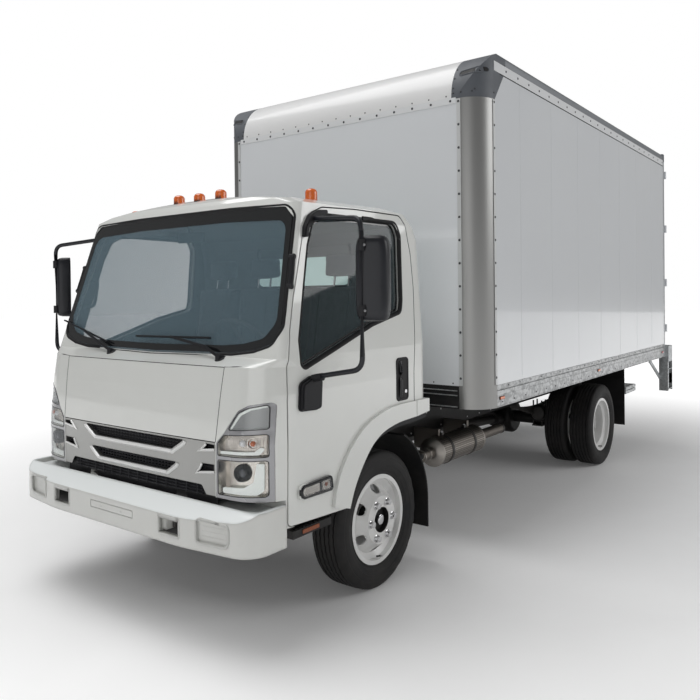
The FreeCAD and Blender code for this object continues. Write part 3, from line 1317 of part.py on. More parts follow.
def glass_normal():
    """Outward direction of the front glass."""
    low, high = CAB_SECTIONS[GLASS_FOOT_ROW:GLASS_FOOT_ROW + 2]
    return Vector(high[0] - low[0], 0, low[1] - high[1]).normalize()


def glass_x(z):
    """X of the outer face of the front glass plane at a height."""
    low, high = CAB_SECTIONS[GLASS_FOOT_ROW:GLASS_FOOT_ROW + 2]
    return low[1] + (high[1] - low[1]) * (z - low[0]) / (high[0] - low[0])


def wipers():
    """Both wipers parked low on the glass."""
    return Part.makeCompound([wiper(spots) for spots in WIPERS]).cut(cab_form(-FIT))


def roof_z_at(x, y):
    """Height of the roof above a spot in plan."""
    column = rod((x, y, CAB_SECTIONS[0][0]), (x, y, CAB_SECTIONS[-1][0] * 2), 1)
    return column.common(cab_form(0)).BoundBox.ZMax


def roof_lamps():
    """Five clearance lamps along the front of the roof."""
    spots = [(ROOF_LAMP_X, y) for y in ROOF_LAMP_Y]
    spots += [(ROOF_LAMP_SIDE[0], side * ROOF_LAMP_SIDE[1]) for side in (-1, 1)]
    result = []
    for x, y in spots:
        foot = roof_z_at(x, y) - ROOF_LAMP_SINK
        result.append(dome(x, y, foot, ROOF_LAMP_RADIUS, ROOF_LAMP_SINK + ROOF_LAMP_COLLAR,
                           ROOF_LAMP_SINK + ROOF_LAMP_HEIGHT))
    return Part.makeCompound(result).cut(cab_form(-FIT))


def dashboard():
    """Dashboard across the cab."""
    corners = [(DASH_X[0], DASH_Z[0]), (DASH_X[1], DASH_Z[0]), (DASH_X[1], DASH_Z[1]),
               (DASH_X[0] + DASH_ROUND, DASH_Z[1], DASH_ROUND),
               (DASH_X[0], DASH_Z[1] - DASH_ROUND, DASH_ROUND / 2)]
    shape = side_prism(corners, span(0, DASH_HALF_WIDTH))
    return shape.common(cab_form(CAB_WALL + FIT)).cut([lamp_room(side, FIT) for side in (-1, 1)])


def steering_wheel():
    """Steering wheel with its column down to the dashboard."""
    centre = Vector(*WHEEL_HUB)
    tilt = math.radians(WHEEL_TILT)
    axis = Vector(-math.cos(tilt), 0, math.sin(tilt))
    ring = Part.makeTorus(WHEEL_RADIUS, WHEEL_GRIP, centre, axis)
    hub = Part.makeCylinder(WHEEL_BOSS_RADIUS, COLUMN_RADIUS, centre - axis * COLUMN_RADIUS, axis)
    cross = axis.cross(Vector(0, 1, 0))
    spokes = []
    for degrees in WHEEL_SPOKES:
        angle = math.radians(degrees)
        along = Vector(0, 1, 0) * math.sin(angle) - cross * math.cos(angle)
        spokes.append(rod(centre, centre + along * WHEEL_RADIUS, WHEEL_SPOKE_RADIUS))
    foot = centre - axis * COLUMN_LENGTH
    column = largest(rod(foot, centre, COLUMN_RADIUS).cut(dashboard()))
    return joined(ring, hub, column, *spokes)


def seat(y):
    """Cushion, leaning back and headrests on a low base."""
    low, high = SEAT_CUSHION_Z
    cushion = block(SEAT_X, y, (low, high))
    base = block((SEAT_X[0] + SEAT_BASE_SHRINK, SEAT_X[1] - SEAT_BASE_SHRINK),
                 (y[0] + SEAT_BASE_SHRINK, y[1] - SEAT_BASE_SHRINK), (FLOOR_UNDER_Z + FLOOR_SKIN + FIT, low))
    front, back = SEAT_BACK_X[1], SEAT_BACK_X[0]
    rest = side_prism([(back, low), (front + FIT, low), (front + FIT, high),
                       (front - SEAT_BACK_LEAN, SEAT_BACK_TOP_Z, SEAT_ROUND),
                       (back - SEAT_BACK_LEAN, SEAT_BACK_TOP_Z, SEAT_ROUND)], y)
    middle = sum(y) / 2
    head_x = (back + front) / 2 - SEAT_BACK_LEAN
    head = block(span(head_x, SEAT_ROUND), span(middle, HEADREST_HALF), HEADREST_Z)
    posts = [rod((head_x, middle + s * HEADREST_HALF / 2, SEAT_BACK_TOP_Z - SEAT_ROUND),
                 (head_x, middle + s * HEADREST_HALF / 2, HEADREST_Z[0] + SEAT_ROUND),
                 HEADREST_POST) for s in (-1, 1)]
    return joined(cushion, base, rest, head, *posts)


def seats():
    """Driver's seat on the left and the bench on the right."""
    return Part.makeCompound([seat(SEAT_DRIVER_Y), seat(SEAT_PASSENGER_Y)])


def cab_steps():
    """Step under each door on two hangers."""
    tread = block(STEP_X, STEP_Y, STEP_Z)
    hangers = [block((x, x + STEP_HANGER_WIDTH), (STEP_Y[0], STEP_Y[1] - STEP_HANGER_WIDTH),
                     (STEP_Z[0], SILL_Z - FIT))
               for x in (STEP_X[0], STEP_X[1] - STEP_HANGER_WIDTH)]
    return both(joined(tread, *hangers))


# Cargo body
def body_form(inset):
    """Cargo body with rounded front corners and nose, every face drawn inwards by inset."""
    half = BODY_HALF_WIDTH - inset
    front = BODY_FRONT_X - inset
    top = BODY_TOP_Z - inset
    low = BODY_SILL_Z - CAB_HALF_WIDTH
    rear = BODY_REAR_X
    corner = max(CORNER_RADIUS - inset, LEAST_RING)
    plan = plan_prism([(front, -half, corner), (front, half, corner), (rear, half), (rear, -half)],
                      (low, top + OVERCUT))
    side = side_prism([(rear, low), (front, low), (front, top, NOSE_RADIUS - inset), (rear, top)],
                      (-half - OVERCUT, half + OVERCUT))
    edge = max(ROOF_EDGE_RADIUS - inset, LEAST_ROUND)
    face = front_prism([(-half, low), (half, low), (half, top, edge), (-half, top, edge)],
                       (rear - OVERCUT, front + OVERCUT))
    return plan.common(side).common(face)


def body_skin(inner=BODY_WALL):
    """Walls and roof of the cargo body as one hollow form."""
    return body_form(0).cut(body_form(inner))


def side_wall_left():
    """Flat left wall between corner post and rear frame."""
    x = (BODY_REAR_X + REAR_FRAME_LENGTH + FIT, BODY_FRONT_X - POST_LEG - FIT)
    wall = block(x, (BODY_HALF_WIDTH - BODY_WALL, BODY_HALF_WIDTH), (BODY_FLOOR_Z, TOP_RAIL_Z - FIT))
    return wall.cut(cap_room(FIT))


def body_walls():
    """Flat front wall between the posts and both side walls."""
    half = BODY_HALF_WIDTH - POST_LEG - FIT
    wall = block((BODY_FRONT_X - BODY_WALL, BODY_FRONT_X), (-half, half), (BODY_FLOOR_Z, NOSE_FOOT_Z - FIT))
    return Part.makeCompound([wall.cut(both(cap_room(FIT))), both(side_wall_left())])


def corner_posts():
    """Rounded front posts."""
    room = block((BODY_FRONT_X - POST_LEG, BODY_FRONT_X), (BODY_HALF_WIDTH - POST_LEG, BODY_HALF_WIDTH),
                 (BODY_SILL_Z, POST_TOP_Z - FIT))
    return both(body_skin().common(room))


def cap_room(gap):
    """Space of the left cap with a gap all round it."""
    outline = [(BODY_FRONT_X + OVERCUT, POST_TOP_Z), (BODY_FRONT_X + OVERCUT, BODY_TOP_Z + OVERCUT),
               (BODY_FRONT_X - CAP_LEG_X, BODY_TOP_Z + OVERCUT), (BODY_FRONT_X - CAP_LEG_X, TOP_RAIL_Z),
               (BODY_FRONT_X - POST_LEG, POST_TOP_Z)]
    return side_prism(grown(outline, gap), (CAP_INNER_Y - gap, BODY_HALF_WIDTH + OVERCUT))


def corner_caps():
    """Moulded caps over the top front corners."""
    return both(body_skin().common(cap_room(0)))


def nose_cap():
    """Curved white nose between the corner caps."""
    room = block((NOSE_BACK_X, BODY_FRONT_X), span(0, CAP_INNER_Y - FIT), (NOSE_FOOT_Z, BODY_TOP_Z))
    return body_skin().common(room)


def top_rail_left():
    """Rail along the left edge of the roof."""
    x = (BODY_REAR_X + REAR_FRAME_LENGTH + FIT, BODY_FRONT_X - CAP_LEG_X - FIT)
    room = block(x, (BODY_HALF_WIDTH - TOP_RAIL_LEG, BODY_HALF_WIDTH), (TOP_RAIL_Z, BODY_TOP_Z))
    return body_skin().common(room)


def cargo_roof():
    """Flat roof sheet between the rails."""
    x = (BODY_REAR_X + REAR_FRAME_LENGTH + FIT, NOSE_BACK_X - FIT)
    half = BODY_HALF_WIDTH - TOP_RAIL_LEG - FIT
    sheet = block(x, (-half, half), (BODY_TOP_Z - BODY_WALL, BODY_TOP_Z))
    return sheet.cut(both(cap_room(FIT)))


def sill_rail_left():
    """Grooved bottom rail along the left side."""
    x = (BODY_REAR_X + REAR_FRAME_LENGTH + FIT, BODY_FRONT_X - POST_LEG - FIT)
    rail = block(x, (BODY_HALF_WIDTH - BODY_WALL, BODY_HALF_WIDTH), (BODY_SILL_Z, BODY_FLOOR_Z - FIT))
    groove = block((x[0] - OVERCUT, x[1] + OVERCUT),
                   (BODY_HALF_WIDTH - SILL_LEDGE, BODY_HALF_WIDTH + OVERCUT),
                   SILL_LEDGE_Z)
    return rail.cut(groove)


def body_rails():
    """Top and bottom rails of both sides."""
    return Part.makeCompound([both(top_rail_left()), both(sill_rail_left())])


def cargo_floor():
    """Floor boards inside the walls."""
    x = (BODY_REAR_X + REAR_FRAME_LENGTH + FIT, BODY_FRONT_X)
    top = BODY_FLOOR_Z + DECK_RISE
    slab = block(x, span(0, BODY_HALF_WIDTH), (top - FLOOR_THICKNESS, top))
    return slab.common(body_form(BODY_WALL + FIT))


def floor_beams():
    """Front sill, cross beams under the boards and the two long sills on the frame."""
    under = BODY_FLOOR_Z + DECK_RISE - FLOOR_THICKNESS - FIT
    half = BODY_HALF_WIDTH - BODY_WALL - FIT
    front = BODY_FRONT_X - BODY_WALL
    sill_half = BODY_HALF_WIDTH - POST_LEG - FIT
    sill = block((front, BODY_FRONT_X), span(0, sill_half), (BODY_SILL_Z, BODY_FLOOR_Z - FIT))
    foot = block((front - FLOOR_BEAM_LENGTH, front), span(0, sill_half), (BODY_SILL_Z, under))
    result = [joined(sill, foot)]
    result += [block(span(x, FLOOR_BEAM_LENGTH / 2), (-half, half),
                     (BODY_SILL_Z, under)) for x in FLOOR_BEAM_X]
    rear = BODY_REAR_X + REAR_FRAME_LENGTH + FIT
    result.append(both(block((rear, BODY_FRONT_X), LONG_SILL_Y, (RAIL_Z[1] + FIT, BODY_SILL_Z - FIT))))
    return Part.makeCompound(result)


def rear_frame():
    """Rear frame round the load opening, with its lamps."""
    x = (BODY_REAR_X, BODY_REAR_X + REAR_FRAME_LENGTH)
    outer = body_form(0).common(block(x, span(0, BODY_HALF_WIDTH), (BODY_SILL_Z, BODY_TOP_Z)))
    hole = block((x[0] - OVERCUT, x[1] + OVERCUT), span(0, REAR_OPENING_HALF),
                 (BODY_FLOOR_Z, REAR_OPENING_TOP))
    proud = (BODY_REAR_X - REAR_LAMP_PROUD, BODY_REAR_X + REAR_LAMP_PROUD)
    (low, high), (foot, head) = REAR_LAMP_Y, REAR_LAMP_Z
    cluster = front_prism([(low, foot, REAR_LAMP_ROUND), (high, foot, REAR_LAMP_ROUND),
                           (high, head, REAR_LAMP_ROUND), (low, head, REAR_LAMP_ROUND)], proud)
    edge = BODY_HALF_WIDTH - MARKER_LAMP_INSET
    spots = (-edge, -MARKER_LAMP_SPACING, 0, MARKER_LAMP_SPACING, edge)
    markers = [rod((proud[0], y, MARKER_LAMP_Z), (proud[1], y, MARKER_LAMP_Z),
                   MARKER_LAMP_RADIUS) for y in spots]
    return joined(outer.cut(hole), cluster, mirrored(cluster), *markers)


def cargo_door_left():
    """Left rear door with hinges, lock bar and handle."""
    face = BODY_REAR_X - FIT
    x = (face - CARGO_DOOR_THICKNESS, face)
    leaf = block(x, (CARGO_DOOR_GAP, CARGO_DOOR_HALF), CARGO_DOOR_Z)
    pieces = [leaf]
    for share in CARGO_HINGE_SHARES:
        z = CARGO_DOOR_Z[0] + (CARGO_DOOR_Z[1] - CARGO_DOOR_Z[0]) * share
        ends = span(z, CARGO_HINGE_LENGTH / 2)
        pieces.append(rod((CARGO_HINGE_X, CARGO_HINGE_Y, ends[0]), (CARGO_HINGE_X, CARGO_HINGE_Y, ends[1]),
                          CARGO_HINGE_RADIUS))
        strap = (CARGO_HINGE_Y - CARGO_STRAP_LENGTH, CARGO_HINGE_Y)
        pieces.append(block((x[0] - CARGO_STRAP_THICKNESS, x[0]), strap, ends))
    bar_x = x[0] - LOCK_BAR_STAND_OFF - LOCK_BAR_RADIUS
    pieces.append(rod((bar_x, LOCK_BAR_Y, CARGO_DOOR_Z[0]), (bar_x, LOCK_BAR_Y, CARGO_DOOR_Z[1]),
                      LOCK_BAR_RADIUS))
    for z in (CARGO_DOOR_Z[0] + CARGO_HINGE_LENGTH, LOCK_HANDLE_Z - CARGO_HINGE_LENGTH * 2,
              CARGO_DOOR_Z[1] / 2 + CARGO_DOOR_Z[0] / 2, CARGO_DOOR_Z[1] - CARGO_HINGE_LENGTH):
        pieces.append(block((bar_x - LOCK_BAR_RADIUS / 2, x[0]), span(LOCK_BAR_Y, LOCK_BAR_RADIUS * 2),
                            span(z, LOCK_BAR_RADIUS * 2)))
    grip_x = bar_x - LOCK_BAR_RADIUS
    pieces.append(block((grip_x - LOCK_BAR_STAND_OFF, bar_x), (LOCK_BAR_Y, LOCK_BAR_Y + LOCK_HANDLE_LENGTH),
                        span(LOCK_HANDLE_Z, LOCK_BAR_RADIUS)))
    return joined(*pieces)


# Lift and rear steps
def tail_lift():
    """Folded platform, cross tube and arms stowed under the rear."""
    pieces = []
    for i in range(LIFT_LEAVES):
        rise = i * (LIFT_Z[1] - LIFT_Z[0] + LIFT_LEAF_GAP)
        pieces.append(block(LIFT_X, span(0, LIFT_HALF_WIDTH), (LIFT_Z[0] + rise, LIFT_Z[1] + rise)))
    pieces.append(block((LIFT_X[1] - LIFT_LEAF_GAP * 4, LIFT_X[1]), span(0, LIFT_HALF_WIDTH),
                        (LIFT_Z[0], LIFT_Z[1] * 2 - LIFT_Z[0] + LIFT_LEAF_GAP)))
    pieces.append(rod((LIFT_TUBE_X, -LIFT_HALF_WIDTH, LIFT_TUBE_Z),
                      (LIFT_TUBE_X, LIFT_HALF_WIDTH, LIFT_TUBE_Z),
                      LIFT_TUBE_RADIUS))
    for side in (-1, 1):
        y = sorted((side * LIFT_ARM_Y[0], side * LIFT_ARM_Y[1]))
        pieces.append(block((LIFT_X[1] - LIFT_TUBE_RADIUS, LIFT_TUBE_X), y,
                            span(LIFT_TUBE_Z, LIFT_TUBE_RADIUS / 2)))
        pieces.append(block(LIFT_BRACKET_X, (min(y), max(y)),
                            (LIFT_TUBE_Z - LIFT_TUBE_RADIUS / 2, RAIL_Z[0] - FIT)))
    return joined(*pieces)


def rear_step_left():
    """Galvanised corner step below the left rear corner."""
    x, y, z = STEP_POST_X, STEP_POST_Y, STEP_POST_Z
    plate = block((x[0], x[0] + STEP_POST_SKIN), y, z)
    side = block((x[0], x[1]), (y[1] - STEP_POST_SKIN, y[1]), (z[1] - POST_LEG, z[1]))
    post = block((x[1] - POST_LEG / 4, x[1]), (y[0], y[1] - STEP_POST_SKIN), z)
    rungs = [block(x, y, (low, low + STEP_POST_SKIN)) for low in STEP_RUNGS_Z]
    (x0, z0), (x1, z1) = STEP_BRACE
    along = Vector(x1 - x0, 0, z1 - z0).normalize()
    up = Vector(-along.z, 0, along.x) * (STEP_BRACE_WIDTH / 2)
    corners = [Vector(x0, 0, z0) - up, Vector(x1, 0, z1) - up, Vector(x1, 0, z1) + up, Vector(x0, 0, z0) + up]
    brace = side_prism([(c.x, c.z) for c in corners], (y[0], y[0] + STEP_POST_SKIN * 2))
    foot = block(span(FLOOR_BEAM_X[-1], FLOOR_BEAM_LENGTH / 2), (y[0], y[0] + STEP_POST_SKIN * 2),
                 (z0 - STEP_BRACE_WIDTH / 2, BODY_SILL_Z - FIT))
    return joined(plate, side, post, *rungs, brace, foot)


def rear_steps():
    """Corner steps on both sides."""
    return both(rear_step_left())


# Output
def pieces():
    """Every node by name."""
    result = {}
    for build in (
        ladder_frame, engine, radiator, front_axle, rear_axle, leaf_springs, drive_shaft, exhaust, fuel_tank,
        battery_box, mud_guards, front_bumper, tail_lift, rear_steps, cargo_floor, floor_beams, body_walls,
        corner_posts, corner_caps, nose_cap, body_rails, cargo_roof, rear_frame, cab_shell, arch_flares,
        windshield, front_panel, grille, headlamps, wipers, roof_lamps, dashboard, steering_wheel, seats,
        cab_steps,
    ):
        result[build.__name__] = build()
    for build in (
        door_left, door_glass_left, mirror_left, knuckle_left, front_wheel_left, front_tyre_left,
        rear_wheels_left, rear_tyres_left, cargo_door_left,
    ):
        left = build()
        result[build.__name__] = left
        result[build.__name__.replace("left", "right")] = mirrored(left)
    return result


def main():
    """Write one file a node, the whole truck centred on the origin."""
    os.makedirs("parts", exist_ok=True)
    shift = Vector(-(BUMPER_FACE_X + STEP_POST_X[0]) / 2, 0, 0)
    for name, shape in pieces().items():
        shape.translate(shift)
        shape.exportStep("parts/" + name + ".step")


main()
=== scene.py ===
import logging
import math
from dataclasses import dataclass
from enum import Enum
from typing import Callable, Iterable, Optional, Sequence

import bmesh
import bpy
from mathutils import Matrix, Vector
from mathutils.bvhtree import BVHTree
from mathutils.geometry import delaunay_2d_cdt


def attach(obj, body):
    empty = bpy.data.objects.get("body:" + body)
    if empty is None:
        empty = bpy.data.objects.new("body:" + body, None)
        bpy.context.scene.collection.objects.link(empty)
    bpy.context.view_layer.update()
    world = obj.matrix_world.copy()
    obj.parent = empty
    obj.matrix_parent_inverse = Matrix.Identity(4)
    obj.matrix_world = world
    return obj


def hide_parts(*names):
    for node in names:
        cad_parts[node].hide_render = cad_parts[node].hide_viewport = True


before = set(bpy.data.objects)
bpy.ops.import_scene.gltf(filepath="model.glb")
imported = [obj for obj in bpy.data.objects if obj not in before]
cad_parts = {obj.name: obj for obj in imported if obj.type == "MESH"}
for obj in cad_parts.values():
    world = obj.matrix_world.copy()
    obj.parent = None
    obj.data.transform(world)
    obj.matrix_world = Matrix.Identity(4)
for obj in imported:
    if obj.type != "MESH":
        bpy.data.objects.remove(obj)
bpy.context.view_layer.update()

log = logging.getLogger("box_truck")
MM = 0.001
FRONT_AXLE_X = 2352.5
WHEELBASE = 3810.0
TYRE_RADIUS = 404.0
# Front glass: its x at a height, that height, and how far back it leans per unit of rise.
GLASS_PLANE = (875.2, 1500.0, 0.29104)
Colour = tuple[float, float, float]
Spot = tuple[float, float, float]
Flat = tuple[float, float]
AHEAD = Vector((1, 0, 0))
BEHIND = -AHEAD
UP = Vector((0, 0, 1))
DOWN = -UP


def at(x: float, y: float, z: float) -> Vector:
    """Turn a place measured from the front axle on the ground, in millimetres, into scene metres.

    Args:
        x: forward of the front axle.
        y: left of the centre plane.
        z: above the ground.

    Returns:
        The same place in the scene.
    """
    return Vector(((x + FRONT_AXLE_X) * MM, y * MM, z * MM))


def sided(sign: int, near: float, far: float) -> Flat:
    """Rising span between two distances from the centre plane, on the side that the sign names."""
    return tuple(sorted((sign * near, sign * far)))


class Side(Enum):
    """Left and right of the truck, with the sign of Y."""

    LEFT = 1
    RIGHT = -1

    @property
    def word(self) -> str:
        """Name used in pieces and bodies."""
        return self.name.lower()


class Texture(Enum):
    """Surface effects, each one shader group with the same sockets."""

    PAINT = "paint_peel"
    BRUSHED = "brushed_metal"
    SPANGLE = "zinc_spangle"
    PEBBLE = "moulded_pebble"
    CAST = "cast_grain"
    RUBBER = "rubber_skin"
    WEAVE = "cloth_weave"
    WOOD = "plank_grain"
    PANEL = "panel_sheet"
    FLUTED = "fluted_lens"


class Graph:
    """Short way to place and join shader nodes."""

    def __init__(self, tree: bpy.types.NodeTree) -> None:
        """Keep the tree that gets the nodes."""
        self.tree = tree

    def node(self, kind: str, **settings: object) -> bpy.types.Node:
        """Add one node.

        Args:
            kind: class name after ShaderNode.
            settings: attributes to set on it.

        Returns:
            The node.
        """
        made = self.tree.nodes.new("ShaderNode" + kind)
        for key, value in settings.items():
            setattr(made, key, value)
        return made

    def join(self, source: bpy.types.NodeSocket, target: bpy.types.NodeSocket) -> None:
        """Link two sockets."""
        self.tree.links.new(source, target)

    def place(self) -> bpy.types.NodeSocket:
        """Coordinates fixed to the object, in metres."""
        return self.node("TexCoord").outputs["Object"]

    def sum(self, operation: str, first: object, second: object, clamp: bool = False) -> bpy.types.NodeSocket:
        """Math node whose inputs may be sockets or numbers.

        Args:
            operation: Blender's name for it.
            first: first input.
            second: second input.
            clamp: keep the result from 0 to 1.

        Returns:
            The result.
        """
        made = self.node("Math", operation=operation, use_clamp=clamp)
        for slot, value in zip(made.inputs, (first, second)):
            if isinstance(value, (int, float)):
                slot.default_value = value
            else:
                self.join(value, slot)
        return made.outputs[0]

    def stretched(self, place: bpy.types.NodeSocket, scale: object) -> bpy.types.NodeSocket:
        """Coordinates times a vector or a value.

        Args:
            place: coordinates.
            scale: three numbers or a value socket.

        Returns:
            Scaled coordinates.
        """
        made = self.node("VectorMath", operation="MULTIPLY")
        self.join(place, made.inputs[0])
        if isinstance(scale, (tuple, list)):
            made.inputs[1].default_value = scale
        else:
            self.join(scale, made.inputs[1])
        return made.outputs[0]

    def noise(self, place: bpy.types.NodeSocket, scale: float, detail: float = 4.0) -> bpy.types.NodeSocket:
        """Soft noise from 0 to 1.

        Args:
            place: where on the surface, as a shader vector.
            scale: size of the pattern, larger for finer.
            detail: how many finer layers.

        Returns:
            The noise.
        """
        made = self.node("TexNoise")
        made.inputs["Detail"].default_value = detail
        made.inputs["Scale"].default_value = scale
        self.join(place, made.inputs["Vector"])
        return made.outputs["Fac"]

    def cells(self, place: bpy.types.NodeSocket, scale: float) -> bpy.types.NodeSocket:
        """Distance to the middle of a Voronoi cell.

        Args:
            place: where on the surface, as a shader vector.
            scale: size of the pattern, larger for finer.

        Returns:
            The distance.
        """
        made = self.node("TexVoronoi", feature="F1")
        made.inputs["Scale"].default_value = scale
        self.join(place, made.inputs["Vector"])
        return made.outputs["Distance"]

    def span(self, value: bpy.types.NodeSocket, low: float, high: float, to_low: float = 0.0,
             to_high: float = 1.0) -> bpy.types.NodeSocket:
        """Map a value from one span to another, held at its ends.

        Args:
            value: what to map.
            low: lower end of its span.
            high: upper end of its span.
            to_low: what the lower end gives.
            to_high: what the upper end gives.

        Returns:
            The mapped value.
        """
        made = self.node("MapRange")
        self.join(value, made.inputs["Value"])
        for name, number in (("From Min", low), ("From Max", high), ("To Min", to_low), ("To Max", to_high)):
            made.inputs[name].default_value = number
        return made.outputs["Result"]

    def blend(self, factor: object, first: object, second: object) -> bpy.types.NodeSocket:
        """Mix two colours, each a socket or three numbers.

        Args:
            factor: share of the second colour.
            first: first colour.
            second: second colour.

        Returns:
            The mixed colour.
        """
        made = self.node("Mix", data_type="RGBA")
        sockets = [made.inputs[0], made.inputs[6], made.inputs[7]]
        for slot, value in zip(sockets, (factor, first, second)):
            if isinstance(value, (int, float)):
                slot.default_value = value
            elif isinstance(value, tuple):
                slot.default_value = (*value, 1.0)
            else:
                self.join(value, slot)
        return made.outputs[2]


class SurfaceGroups:
    """The shader groups that the finishes share, each built once."""

    INPUTS = (("Scale", 1.0), ("Dirt", 0.0))

    def __init__(self) -> None:
        """Build every group."""
        self.trees: dict[Texture, bpy.types.NodeTree] = {}
        makers: dict[Texture, Callable[[Graph, bpy.types.NodeSocket], tuple]] = {
            Texture.PAINT: self.paint, Texture.BRUSHED: self.brushed, Texture.SPANGLE: self.spangle,
            Texture.PEBBLE: self.pebble, Texture.CAST: self.cast, Texture.RUBBER: self.rubber,
            Texture.WEAVE: self.weave, Texture.WOOD: self.wood, Texture.PANEL: self.panel,
            Texture.FLUTED: self.fluted,
        }
        for texture, maker in makers.items():
            self.trees[texture] = self.group(texture, maker)

    def group(self, texture: Texture, maker: Callable) -> bpy.types.NodeTree:
        """Wrap one effect with its named sockets and the road dust that all of them share.

        Args:
            texture: which effect.
            maker: method that gives its shade and height.

        Returns:
            The group.
        """
        tree = bpy.data.node_groups.new(texture.value, "ShaderNodeTree")
        for name, value in self.INPUTS:
            tree.interface.new_socket(name, in_out="INPUT",
                                      socket_type="NodeSocketFloat").default_value = value
        for name in ("Shade", "Height", "Dust"):
            tree.interface.new_socket(name, in_out="OUTPUT", socket_type="NodeSocketFloat")
        graph = Graph(tree)
        entry = graph.tree.nodes.new("NodeGroupInput")
        leave = graph.tree.nodes.new("NodeGroupOutput")
        scaled = graph.stretched(graph.place(), entry.outputs["Scale"])
        shade, height = maker(graph, scaled)
        graph.join(shade, leave.inputs["Shade"])
        graph.join(height, leave.inputs["Height"])
        graph.join(self.dust(graph, entry.outputs["Dirt"]), leave.inputs["Dust"])
        return tree

    @staticmethod
    def dust(graph: Graph, amount: bpy.types.NodeSocket) -> bpy.types.NodeSocket:
        """Dust that thickens towards the road, broken up by noise.

        Args:
            graph: the node graph.
            amount: how much dust there is.

        Returns:
            The share of dust.
        """
        parts = graph.node("SeparateXYZ")
        graph.join(graph.place(), parts.inputs[0])
        low = graph.span(parts.outputs["Z"], 1.5, 0.1)
        patches = graph.span(graph.noise(graph.place(), 6.0, 6.0), 0.35, 0.75)
        return graph.sum("MULTIPLY", graph.sum("MULTIPLY", low, patches), amount, True)

    @staticmethod
    def paint(graph: Graph, place: bpy.types.NodeSocket) -> tuple:
        """Faint orange peel under a clear coat."""
        return graph.noise(place, 0.9, 2.0), graph.noise(place, 260.0, 1.0)

    @staticmethod
    def brushed(graph: Graph, place: bpy.types.NodeSocket) -> tuple:
        """Fine upright scratches with broad clouding.

        Args:
            graph: the node graph.
            place: where on the surface, as a shader vector.

        Returns:
            Shade and height.
        """
        fine = graph.noise(graph.stretched(place, (420.0, 420.0, 5.0)), 1.0, 3.0)
        cloud = graph.noise(graph.stretched(place, (5.0, 5.0, 1.4)), 1.0, 5.0)
        return graph.sum("MULTIPLY_ADD", cloud, 1.0), fine

    @staticmethod
    def spangle(graph: Graph, place: bpy.types.NodeSocket) -> tuple:
        """Zinc crystals.

        Args:
            graph: the node graph.
            place: where on the surface, as a shader vector.

        Returns:
            Shade and height.
        """
        crystals = graph.node("TexVoronoi", feature="F1")
        graph.join(place, crystals.inputs["Vector"])
        crystals.inputs["Scale"].default_value = 55.0
        parts = graph.node("SeparateColor")
        graph.join(crystals.outputs["Color"], parts.inputs[0])
        return parts.outputs["Red"], graph.noise(place, 90.0, 3.0)

    @staticmethod
    def pebble(graph: Graph, place: bpy.types.NodeSocket) -> tuple:
        """Moulded plastic grain."""
        return graph.noise(place, 7.0, 5.0), graph.cells(place, 620.0)

    @staticmethod
    def cast(graph: Graph, place: bpy.types.NodeSocket) -> tuple:
        """Rough sand-cast skin."""
        return graph.noise(place, 14.0, 6.0), graph.noise(place, 240.0, 5.0)

    @staticmethod
    def rubber(graph: Graph, place: bpy.types.NodeSocket) -> tuple:
        """Dull mottled rubber."""
        return graph.noise(place, 22.0, 6.0), graph.noise(place, 500.0, 3.0)

    @staticmethod
    def weave(graph: Graph, place: bpy.types.NodeSocket) -> tuple:
        """Crossed threads in the three planes of the cloth.

        Args:
            graph: the node graph.
            place: where on the surface, as a shader vector.

        Returns:
            Shade and height.
        """
        waves = []
        for direction in ("X", "Y", "Z"):
            wave = graph.node("TexWave", wave_type="BANDS", bands_direction=direction, wave_profile="SIN")
            wave.inputs["Scale"].default_value = 110.0
            graph.join(place, wave.inputs["Vector"])
            waves.append(wave.outputs["Fac"])
        height = graph.sum("MAXIMUM", graph.sum("MAXIMUM", waves[0], waves[1]), waves[2])
        return graph.sum("MULTIPLY", graph.noise(place, 34.0, 5.0), height), height

    @staticmethod
    def wood(graph: Graph, place: bpy.types.NodeSocket) -> tuple:
        """Long grain along the load floor, in narrow planks.

        Args:
            graph: the node graph.
            place: where on the surface, as a shader vector.

        Returns:
            Shade and height.
        """
        grain = graph.noise(graph.stretched(place, (1.2, 60.0, 60.0)), 1.0, 6.0)
        wave = graph.node("TexWave", wave_type="BANDS", bands_direction="Y", wave_profile="SAW")
        wave.inputs["Scale"].default_value = 4.5
        graph.join(place, wave.inputs["Vector"])
        return grain, graph.span(wave.outputs["Fac"], 0.0, 0.05)

    @staticmethod
    def panel(graph: Graph, place: bpy.types.NodeSocket) -> tuple:
        """Glassy laminate with faint long waves, as a large glossy sheet has."""
        waves = graph.noise(graph.stretched(place, (1.1, 1.1, 0.55)), 1.0, 2.0)
        return graph.noise(place, 0.6, 3.0), graph.sum("MULTIPLY_ADD", waves, 1.0)

    @staticmethod
    def fluted(graph: Graph, place: bpy.types.NodeSocket) -> tuple:
        """Prism rows on the inside of a lens."""
        rows = graph.cells(place, 140.0)
        return rows, rows


